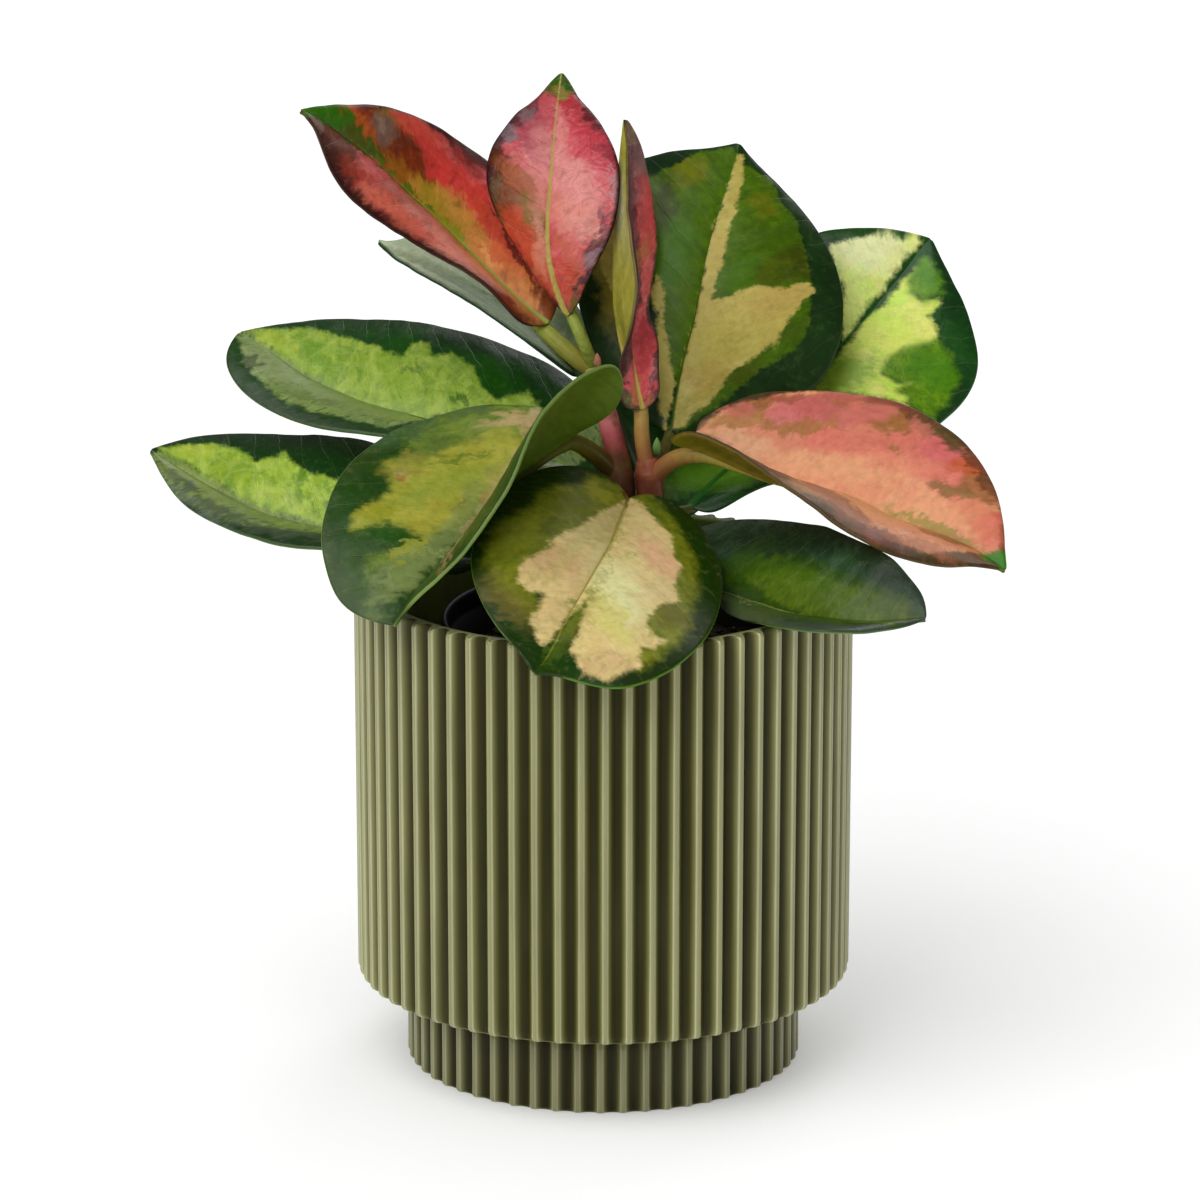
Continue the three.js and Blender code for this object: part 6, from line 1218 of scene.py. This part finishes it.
for _name, bd in BUDS.items():
    parts_v, parts_f, base = [], [], 0
    # two scales clasping a point
    for k, (dx, dy, tw) in enumerate(((0, 0, 0), (0.45, -0.25, 0.5), (-0.4, 0.2, -0.6))):
        c = np.array(bd["at"]); hgt = bd["h"] * (1.0 if k == 0 else 0.72)
        prof = [(-1.0, 0.0), (-0.8, 0.62), (-0.35, 0.95), (0.1, 0.9), (0.5, 0.6), (0.8, 0.3), (1.0, 0.0)]
        rings = 14; ns = 20
        zz = np.linspace(-1, 1, rings); rr = np.interp(zz, [p[0] for p in prof], [p[1] for p in prof])
        vv = [c + np.array([dx, dy, z * hgt - (0 if k == 0 else bd["h"] * 0.25)]) + np.array([math.cos(2 * math.pi * i / ns + tw * z) * r * bd["r"] * (1 if k == 0 else 0.62), math.sin(2 * math.pi * i / ns + tw * z) * r * bd["r"] * (0.8 if k == 0 else 0.55), 0]) for z, r in zip(zz, np.maximum(rr, 0.02)) for i in range(ns)]
        ff = [[j * ns + i, j * ns + (i + 1) % ns, (j + 1) * ns + (i + 1) % ns, (j + 1) * ns + i] for j in range(rings - 1) for i in range(ns)]
        ff += [list(range(ns))[::-1], [(rings - 1) * ns + i for i in range(ns)]]
        parts_v += vv; parts_f += [[a + base for a in fc] for fc in ff]; base += len(vv)
    ob = make_mesh("v_" + _name, np.array(parts_v), parts_f)
    settle(ob, _name, "bud", stem_material("mat_" + _name, [(0.0, bd["c"][0]), (1.0, bd["c"][1])], bd["at"][2] - bd["h"], bd["at"][2] + bd["h"], bd["c"][2]))


# -------------------------------------------------------------- cover pot ---
def rib_wave(phase, crest=0.24):
    """0 on the crest, 1 at the bottom of the flute; phase in -0.5..0.5 with the crest at 0."""
    p = np.abs(phase)
    lo = crest / 2
    cr = 0.12 * np.clip(p / lo, 0, 1) ** 2.6            # narrow rounded crest between two soft arrises
    t = np.clip((p - lo) / (0.5 - lo), 0, 1)
    flute = 1 - (1 - t) ** 2.0
    return np.clip(cr + (1 - 0.12) * flute, 0, 1)


def ribbed(ribs, per, phase_deg, rows, caps):
    """rows: (z, crest radius, rib depth). Depth 0 gives a plain circle.
    caps True closes both ends at the axis, False joins the last row to the first."""
    n = ribs * per
    k = np.arange(n)
    ph = (k / per) % 1.0
    ph = np.where(ph > 0.5, ph - 1, ph)
    wv = rib_wave(ph)
    ang = (k / per) * 2 * np.pi / ribs + math.radians(phase_deg - 90)
    verts, dep = [], []
    for z, r, d in rows:
        rr = r - d * wv
        verts.append(np.c_[rr * np.cos(ang), rr * np.sin(ang), np.full(n, z)])
        dep.append(wv * min(1.0, d / 2.0))
    m = len(rows)
    V = np.vstack(verts); Dp = np.concatenate(dep)
    last = m - 1 if caps else m
    F = []
    for j in range(last):
        j2 = (j + 1) % m
        a = j * n + k; b = j * n + (k + 1) % n; c = j2 * n + (k + 1) % n; d2 = j2 * n + k
        F += np.stack([a, b, c, d2], axis=-1).tolist()
    if caps:
        c0, c1 = len(V), len(V) + 1
        V = np.vstack([V, [0, 0, rows[0][0]], [0, 0, rows[-1][0]]]); Dp = np.r_[Dp, 0, 0]
        for i in range(n):
            j = (i + 1) % n
            F.append([c0, j, i]); F.append([c1, (m - 1) * n + i, (m - 1) * n + j])
    return V, F, Dp


def crest(z):
    return 70.02 - 0.0045 * (140 - z)


def arc(r, n, a0, a1):
    return [(r * math.cos(math.radians(a)), r * math.sin(math.radians(a))) for a in np.linspace(a0, a1, n)]


def pot_material(name, valley_shade, wall_shade_and_streak, crest_c, arris_highlight):
    """Plastic colour with painted shade: darker down the flute walls and darkest in the flute bottoms; a painted
    highlight runs as a lighter band along the arrises of the ribs.
    """
    g = Nodes(name)
    pos = g.new("ShaderNodeTexCoord").outputs["Object"]
    x, y, z = g.sep(pos)
    dep = g.attr("dep")
    tall = g.comb(g.math("MULTIPLY", x, 1.0), y, g.math("MULTIPLY", z, 0.12))
    n_tall = g.noise(tall, 160.0, 3.0, 0.55)
    n_big = g.noise(pos, 26.0, 3.0, 0.55)
    n_fine = g.noise(pos, 1500.0, 3.0, 0.6)
    d = g.math("ADD", dep, g.math("MULTIPLY", g.math("SUBTRACT", n_tall, 0.5), 0.10))
    # painted shade: the crest colour turns to the dark wall colour down the flute walls
    col = g.mix(g.smooth(d, 0.14, 0.88), lin(crest_c), lin(wall_shade_and_streak))
    # painted highlight: a lighter band along both arrises of each rib
    edge = g.math("MULTIPLY", g.smooth(d, 0.02, 0.10), g.smooth(d, 0.26, 0.13))
    col = g.mix(g.math("MULTIPLY", edge, 0.85), col, lin(arris_highlight))
    # painted shade: darkest colour in the bottom of the flutes
    col = g.mix(g.smooth(dep, 0.84, 1.0), col, lin(valley_shade))
    # streaks at random in the darker wall colour
    col = g.mix(g.smooth(n_tall, 0.4, 0.75, 0.0, 0.22), col, lin(wall_shade_and_streak))
    col = g.mix(g.smooth(n_big, 0.35, 0.75, 0.0, 0.08), col, lin("#7C7E58"))
    speck = g.smooth(g.voronoi(pos, 700.0), 0.10, 0.04, 0.0, 0.35)
    col = g.mix(g.math("MULTIPLY", speck, g.smooth(n_big, 0.5, 0.62)), col, lin("#5A5A3C"))
    g.link(col, g.bsdf.inputs["Base Color"])
    rg = g.math("ADD", g.math("MULTIPLY", n_fine, 0.12), g.math("ADD", g.math("MULTIPLY", n_tall, 0.10), POT_ROUGH))
    g.link(rg, g.bsdf.inputs["Roughness"])
    g.bsdf.inputs["Specular IOR Level"].default_value = 0.15
    g.link(g.smooth(dep, 0.45, 0.10, 0.0, 0.9), g.bsdf.inputs["Coat Weight"])
    g.bsdf.inputs["Coat Roughness"].default_value = 0.16
    g.link(g.bump(g.math("ADD", n_fine, g.math("MULTIPLY", n_tall, 0.6)), 0.10, 0.12), g.bsdf.inputs["Normal"])
    return g.mat


POT_ROUGH = 0.30
rows = [(24.9, 51.0, 0.0), (24.9, 55.0, 0.0), (24.9, 62.0, 0.0), (24.9, 66.0, 0.3)]
for dx, dz in arc(2.4, 9, -90, 0):
    zz = 24.9 + 2.4 + dz
    rows.append((zz, crest(zz) - 2.4 + dx, 3.0 * (0.12 + 0.88 * (dx / 2.4) ** 0.8)))
for zz in np.linspace(29.5, 137.5, 10):
    rows.append((zz, crest(zz), 3.0))
for dx, dz in arc(1.1, 7, 0, 90):
    zz = 138.9 + dz
    rows.append((zz, crest(zz) - 1.1 + dx, 3.0 - 0.7 * (1 - dx / 1.1)))
rows += [(140.0, 68.2, 1.7), (140.0, 66.0, 0.0), (140.0, 65.2, 0.0)]
for dx, dz in arc(0.9, 5, 90, 180)[1:]:
    rows.append((139.1 + dz, 65.2 + dx, 0.0))
for zz in (132.0, 120.0, 100.0, 70.0, 40.0, 30.0):
    rows.append((zz, 64.3 - 0.0045 * (140 - zz), 0.0))
rows += [(28.4, 63.5, 0.0), (28.0, 62.8, 0.0), (28.0, 51.4, 0.0), (27.6, 51.0, 0.0)]
V, F, Dp = ribbed(66, 22, 0.41, rows, False)
body = make_mesh("v_cover_pot", V, F, {"dep": ("FLOAT", Dp)})
# the valley and wall colours are painted shade, the arris colour a painted highlight
settle(body, "cover_pot", "cover_pot_plastic", pot_material("mat_cover_pot", "#2A280A", "#3D3B14", "#93925F", "#C2C394"))

rows = [(0.0, 40.0, 0.0), (0.0, 50.0, 0.0), (0.0, 53.0, 0.2)]
for dx, dz in arc(1.2, 6, -90, 0):
    zz = 1.2 + dz
    rows.append((zz, 55.5 - 1.2 + dx, 2.1 * (0.3 + 0.7 * dx / 1.2)))
for zz in (4.0, 10.0, 17.0, 24.6):
    rows.append((zz, 55.5, 2.1))
rows += [(24.6, 52.0, 0.0), (24.0, 51.0, 0.0), (4.0, 51.0, 0.0), (3.0, 50.0, 0.0), (3.0, 30.0, 0.0)]
V, F, Dp = ribbed(54, 22, -0.9, rows, True)
foot = make_mesh("v_pot_foot", V, F, {"dep": ("FLOAT", Dp)})
# the valley and wall colours are painted shade, the arris colour a painted highlight
settle(foot, "pot_foot", "cover_pot_plastic", pot_material("mat_pot_foot", "#211F07", "#33310F", "#84835A", "#A8A87A"))


# ------------------------------------------------------- growing pot, soil ---
GX, GY = 4.5, 0.0


def turned(profile, seg, cx, cy):
    n = seg
    th = np.linspace(0, 2 * np.pi, n, endpoint=False)
    V, F = [], []
    for r, z in profile:
        V.append(np.c_[cx + r * np.cos(th), cy + r * np.sin(th), np.full(n, z)])
    V = np.vstack(V); m = len(profile); k = np.arange(n)
    for j in range(m - 1):
        F += np.stack([j * n + k, j * n + (k + 1) % n, (j + 1) * n + (k + 1) % n, (j + 1) * n + k], axis=-1).tolist()
    F.append(list(range(n))[::-1]); F.append([(m - 1) * n + i for i in range(n)])
    return V, F


prof = [(2.0, 3.3), (37.5, 3.3), (38.4, 3.6), (39.0, 4.5), (42.2, 50.0), (45.4, 95.0), (47.9, 122.2), (48.2, 122.6), (49.6, 122.8), (50.0, 123.3),
        (50.0, 127.6), (49.8, 128.2), (49.3, 128.5), (48.9, 128.4), (48.5, 128.0), (48.2, 127.2), (48.1, 123.6), (47.8, 122.6), (46.8, 121.8),
        (44.1, 95.0), (40.9, 50.0), (37.8, 6.0), (37.0, 4.6), (2.0, 4.6)]
V, F = turned(prof, 192, GX, GY)
gp = make_mesh("v_growing_pot", V, F)
g = Nodes("mat_growing_pot")
pos = g.new("ShaderNodeTexCoord").outputs["Object"]
n1 = g.noise(pos, 60.0, 4.0, 0.6); n2 = g.noise(pos, 900.0, 3.0, 0.6)
dust = g.math("MULTIPLY", g.smooth(n1, 0.52, 0.72), g.smooth(n2, 0.5, 0.7))
g.link(g.mix(g.math("MULTIPLY", dust, 0.2), lin("#040404"), lin("#1E1A14")), g.bsdf.inputs["Base Color"])
g.link(g.math("ADD", 0.46, g.math("MULTIPLY", dust, 0.4)), g.bsdf.inputs["Roughness"])
g.bsdf.inputs["Specular IOR Level"].default_value = 0.12
g.link(g.bump(n1, 0.12, 0.4), g.bsdf.inputs["Normal"])
settle(gp, "growing_pot", "growing_pot_plastic", g.mat)

# soil: closed body with a crumbly top and loose crumbs of bark and fibre pressed in
nr, na = 64, 168
V, F = [], []
RS = 46.0
for j in range(nr):
    r = RS * (j + 1) / nr
    for i in range(na):
        th = 2 * math.pi * i / na
        V.append([GX + r * math.cos(th), GY + r * math.sin(th), 0.0])
V = np.array(V)
rad = np.hypot(V[:, 0] - GX, V[:, 1] - GY)
base_z = np.interp(rad, [0, 14, 30, 42, 46], [118.7, 118.3, 117.4, 116.2, 115.0])
V[:, 2] = base_z + 0.75 * fbm(np.c_[V[:, 0] / 7, V[:, 1] / 7, rad * 0], 5, 2) + 0.55 * fbm(np.c_[V[:, 0] / 1.9, V[:, 1] / 1.9, rad * 0 + 3], 6, 3)
V[:, 2] = np.minimum(V[:, 2], 121.0)
ring_mid = [GX, GY, 118.6]
F = []
for j in range(nr - 1):
    for i in range(na):
        i2 = (i + 1) % na
        F.append([j * na + i, (j + 1) * na + i, (j + 1) * na + i2, j * na + i2])
low = [(45.6, 112.0), (44.3, 90.0), (40.4, 40.0), (37.6, 8.0), (36.8, 4.9)]
Vl = []
for r, z in low:
    for i in range(na):
        th = 2 * math.pi * i / na
        Vl.append([GX + r * math.cos(th), GY + r * math.sin(th), z])
nb = len(V)
V = np.vstack([V, Vl, [ring_mid], [[GX, GY, 4.9]]])
for k in range(len(low)):
    a0 = (nr - 1) * na if k == 0 else nb + (k - 1) * na
    b0 = nb + k * na
    for i in range(na):
        i2 = (i + 1) % na
        F.append([a0 + i, b0 + i, b0 + i2, a0 + i2])
ct, cb = len(V) - 2, len(V) - 1
for i in range(na):
    i2 = (i + 1) % na
    F.append([ct, i, i2]); F.append([cb, nb + (len(low) - 1) * na + i2, nb + (len(low) - 1) * na + i])
rng = np.random.RandomState(7)
ico = None
phi = (1 + 5 ** 0.5) / 2
iv = np.array([[-1, phi, 0], [1, phi, 0], [-1, -phi, 0], [1, -phi, 0], [0, -1, phi], [0, 1, phi], [0, -1, -phi], [0, 1, -phi], [phi, 0, -1], [phi, 0, 1], [-phi, 0, -1], [-phi, 0, 1]], float)
iv /= np.linalg.norm(iv[0])
ifc = [(0, 11, 5), (0, 5, 1), (0, 1, 7), (0, 7, 10), (0, 10, 11), (1, 5, 9), (5, 11, 4), (11, 10, 2), (10, 7, 6), (7, 1, 8), (3, 9, 4), (3, 4, 2), (3, 2, 6), (3, 6, 8), (3, 8, 9), (4, 9, 5), (2, 4, 11), (6, 2, 10), (8, 6, 7), (9, 8, 1)]
tone = np.zeros(len(V))
allV, allF, allT = [V], list(F), [tone]
off = len(V)
for k in range(620):
    rr_ = 44.5 * math.sqrt(rng.rand()); th = rng.rand() * 2 * math.pi
    sx = 0.35 + 1.5 * rng.rand() ** 2.2; asp = 0.35 + 0.65 * rng.rand()
    long_ = 1.0 + 1.8 * (rng.rand() < 0.25)
    A = np.array(Matrix.Rotation(rng.rand() * 6.28, 3, "Z") @ Matrix.Rotation((rng.rand() - 0.5) * 0.9, 3, "X"))
    px, py = GX + rr_ * math.cos(th), GY + rr_ * math.sin(th)
    pz = np.interp(rr_, [0, 14, 30, 42, 46], [118.7, 118.3, 117.4, 116.2, 115.0]) + 0.2 + 0.3 * rng.rand()
    vv = iv * (1 + 0.28 * rng.randn(12, 1)).clip(0.55, 1.4) * np.array([sx * long_, sx * asp, sx * 0.5])
    vv = vv @ A.T + np.array([px, py, pz])
    allV.append(vv); allF += [[a + off for a in f] for f in ifc]; off += 12
    allT.append(np.full(12, 0.15 + 0.85 * rng.rand()))
soil = make_mesh("v_potting_soil", np.vstack(allV), allF, {"tone": ("FLOAT", np.concatenate(allT))})
g = Nodes("mat_soil")
pos = g.new("ShaderNodeTexCoord").outputs["Object"]
n1 = g.noise(pos, 500.0, 5.0, 0.65); n2 = g.noise(pos, 90.0, 3.0, 0.6)
tn = g.attr("tone")
col = g.mix(g.smooth(n1, 0.35, 0.7), lin("#120C08"), lin("#2A1E14"))
col = g.mix(g.smooth(tn, 0.1, 0.9, 0.0, 0.75), col, lin("#43301E"))
col = g.mix(g.smooth(tn, 0.88, 0.98), col, lin("#A08B6A"))
col = g.mix(g.smooth(n2, 0.5, 0.7, 0.0, 0.5), col, lin("#140E0A"))
g.link(col, g.bsdf.inputs["Base Color"])
g.bsdf.inputs["Roughness"].default_value = 0.92
g.link(g.bump(n1, 0.6, 0.6), g.bsdf.inputs["Normal"])
settle(soil, "potting_soil", "soil", g.mat)


# ------------------------------------------------------------------- stage ---
fl = bpy.data.meshes.new("floor")
S = 6.0
fl.from_pydata([(-S, -S, 0), (S, -S, 0), (S, S, 0), (-S, S, 0)], [], [(0, 1, 2, 3)])
floor = bpy.data.objects.new("floor", fl); scene.collection.objects.link(floor)
g = Nodes("mat_floor")
g.bsdf.inputs["Base Color"].default_value = (0.62, 0.62, 0.62, 1)
g.bsdf.inputs["Roughness"].default_value = 0.65
g.bsdf.inputs["Specular IOR Level"].default_value = 0.2
g.bsdf.inputs["Emission Color"].default_value = (1, 1, 1, 1)
_fx, _fy, _fz = g.sep(g.new("ShaderNodeTexCoord").outputs["Object"])
_r2 = g.math("SQRT", g.math("ADD", g.math("MULTIPLY", _fx, _fx), g.math("MULTIPLY", _fy, _fy)))
# painted shadow: the floor's glow is lower near the pot and dimmed again where ambient occlusion finds the pot,
# standing in for the pot's soft contact shadow
_contact_shadow_ao = g.new("ShaderNodeAmbientOcclusion"); _contact_shadow_ao.samples = 3; _contact_shadow_ao.inputs["Distance"].default_value = 0.22
g.link(g.math("MULTIPLY", g.smooth(_r2, 0.15, 1.2, FLOOR_GLOW_NEAR_SHADED, FLOOR_FAR), g.smooth(_contact_shadow_ao.outputs["AO"], 0.0, 1.0, 0.27, 1.0)), g.bsdf.inputs["Emission Strength"])
floor.data.materials.append(g.mat)

world = bpy.data.worlds.new("studio"); scene.world = world
world.use_nodes = True
bg = world.node_tree.nodes["Background"]
bg.inputs[0].default_value = (1.0, 1.0, 1.0, 1)
bg.inputs[1].default_value = WORLD


def area(name, loc, target, size, watts, sy=None):
    li = bpy.data.lights.new(name, "AREA"); li.energy = watts; li.size = size
    if sy:
        li.shape = "RECTANGLE"; li.size_y = sy
    ob = bpy.data.objects.new(name, li); scene.collection.objects.link(ob)
    ob.location = loc
    ob.rotation_euler = (Vector(target) - Vector(loc)).to_track_quat("-Z", "Y").to_euler()
    return ob


for _l in LIGHTS:
    area(*_l)

cam = bpy.data.cameras.new("cam"); cam_ob = bpy.data.objects.new("cam", cam); scene.collection.objects.link(cam_ob)
EL = math.radians(16.87)
cam.sensor_width = 36.0; cam.sensor_fit = "HORIZONTAL"; cam.lens = 8740.0 / 1200.0 * 36.0
cam.clip_start = 0.05; cam.clip_end = 50
cam_ob.location = (-0.00096, -2.45 * math.cos(EL), 0.133 + 2.45 * math.sin(EL))
cam_ob.rotation_euler = (math.pi / 2 - EL, 0, 0)
scene.camera = cam_ob
scene.view_settings.view_transform = "Standard"
scene.view_settings.look = "None"
